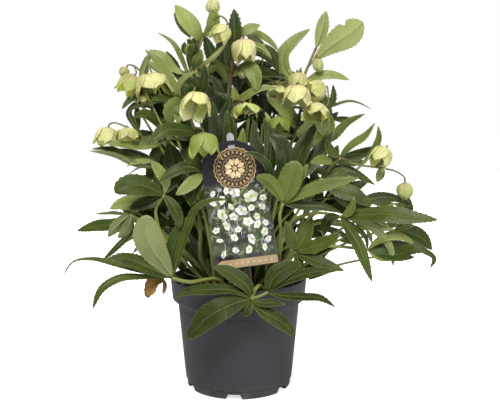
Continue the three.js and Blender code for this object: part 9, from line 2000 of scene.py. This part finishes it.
# painted shade: the part below the card is painted near black for the shade under the card and the leaves
N.set(Base_Color=N.mix(N.step(0.16, 0.20, sz2), (0.022, 0.020, 0.016), upper_plastic))
N.set(Roughness=N.line(0.3, 0.7, 0.16, 0.32, g))
N.b.inputs["Transmission Weight"].default_value = 0.0
N.bump(g, 0.00004, 0.5)
stake_o = link("label_strip", me, [N.m], ["label_stake"])


# ---------------------------------------------------------------- camera, light, floor
cam = bpy.data.cameras.new("camera")
cam.lens, cam.sensor_width = 58.608, 36.0
cam.clip_start, cam.clip_end = 0.05, 50.0
eye = bpy.data.objects.new("camera", cam)
eye.location = (0.0142, -1.0, 0.3636)
eye.rotation_euler = (math.pi / 2 - 0.130, 0.0, 0.0)
bpy.context.scene.collection.objects.link(eye)
bpy.context.scene.camera = eye


def area(name, place, at, size, power, tint=(1, 1, 1)):
    d = bpy.data.lights.new(name, "AREA")
    d.shape, d.size, d.energy, d.color = "DISK", size, power, tint
    o = bpy.data.objects.new(name, d)
    o.location = place
    o.rotation_euler = (Vector(at) - Vector(place)).to_track_quat("-Z", "Y").to_euler()
    bpy.context.scene.collection.objects.link(o)


area("key", (-0.34, -1.55, 1.85), (0.0, 0.0, 0.25), 1.05, 60.0)
area("fill", (1.5, -1.5, 0.75), (0.0, 0.0, 0.2), 1.3, 20.0)
area("back_left", (-1.5, 1.7, 1.25), (0.0, 0.0, 0.22), 1.3, 21.0)
area("back_right", (1.5, 1.6, 1.1), (0.0, 0.0, 0.22), 1.3, 19.0)
area("top", (0.2, 0.35, 2.0), (0.0, 0.0, 0.2), 1.1, 14.0)

world = bpy.data.worlds.new("studio")
bpy.context.scene.world = world
world.use_nodes = True
wt = world.node_tree
bg = next(n for n in wt.nodes if n.type == "BACKGROUND")
bg.inputs["Color"].default_value = (1, 1, 1, 1)
bg.inputs["Strength"].default_value = 0.10
seen = wt.nodes.new("ShaderNodeBackground")
seen.inputs["Color"].default_value = (1, 1, 1, 1)
seen.inputs["Strength"].default_value = 1.0
path = wt.nodes.new("ShaderNodeLightPath")
both = wt.nodes.new("ShaderNodeMixShader")
outw = next(n for n in wt.nodes if n.type == "OUTPUT_WORLD")
wt.links.new(path.outputs["Is Camera Ray"], both.inputs[0])
wt.links.new(bg.outputs[0], both.inputs[1])
wt.links.new(seen.outputs[0], both.inputs[2])
wt.links.new(both.outputs[0], outw.inputs[0])

fm = Nodes("floor_paper")
f = fm.noise(3.0, 2.0)
fm.set(Base_Color=fm.mix(f, (0.60, 0.60, 0.60), (0.63, 0.63, 0.63)), Roughness=0.9)
# the paper glows a little for the eye alone, more with the distance, so that it runs out into plain white
glow = fm.new("ShaderNodeEmission")
glow.inputs["Color"].default_value = (1, 1, 1, 1)
far = fm.new("ShaderNodeVectorMath")
far.operation = "LENGTH"
fm.t.links.new(fm.coord(), far.inputs[0])
lp = fm.new("ShaderNodeLightPath")
fm.put(glow.inputs["Strength"], fm.math("MULTIPLY", fm.line(0.10, 0.55, 0.70, 1.2, far.outputs["Value"]), lp.outputs["Is Camera Ray"]))
add = fm.new("ShaderNodeAddShader")
outm = next(n for n in fm.t.nodes if n.type == "OUTPUT_MATERIAL")
fm.t.links.new(fm.b.outputs[0], add.inputs[0])
fm.t.links.new(glow.outputs[0], add.inputs[1])
fm.t.links.new(add.outputs[0], outm.inputs["Surface"])
me = bpy.data.meshes.new("floor")
ring = [(3.0 * math.cos(a), 3.0 * math.sin(a), -0.0004) for a in np.arange(96) * 2 * math.pi / 96]
me.from_pydata(ring, [], [tuple(range(96))])
floor = bpy.data.objects.new("floor", me)
me.materials.append(fm.m)
bpy.context.scene.collection.objects.link(floor)

vs = bpy.context.scene.view_settings
vs.view_transform = "Standard"
vs.look = "None"
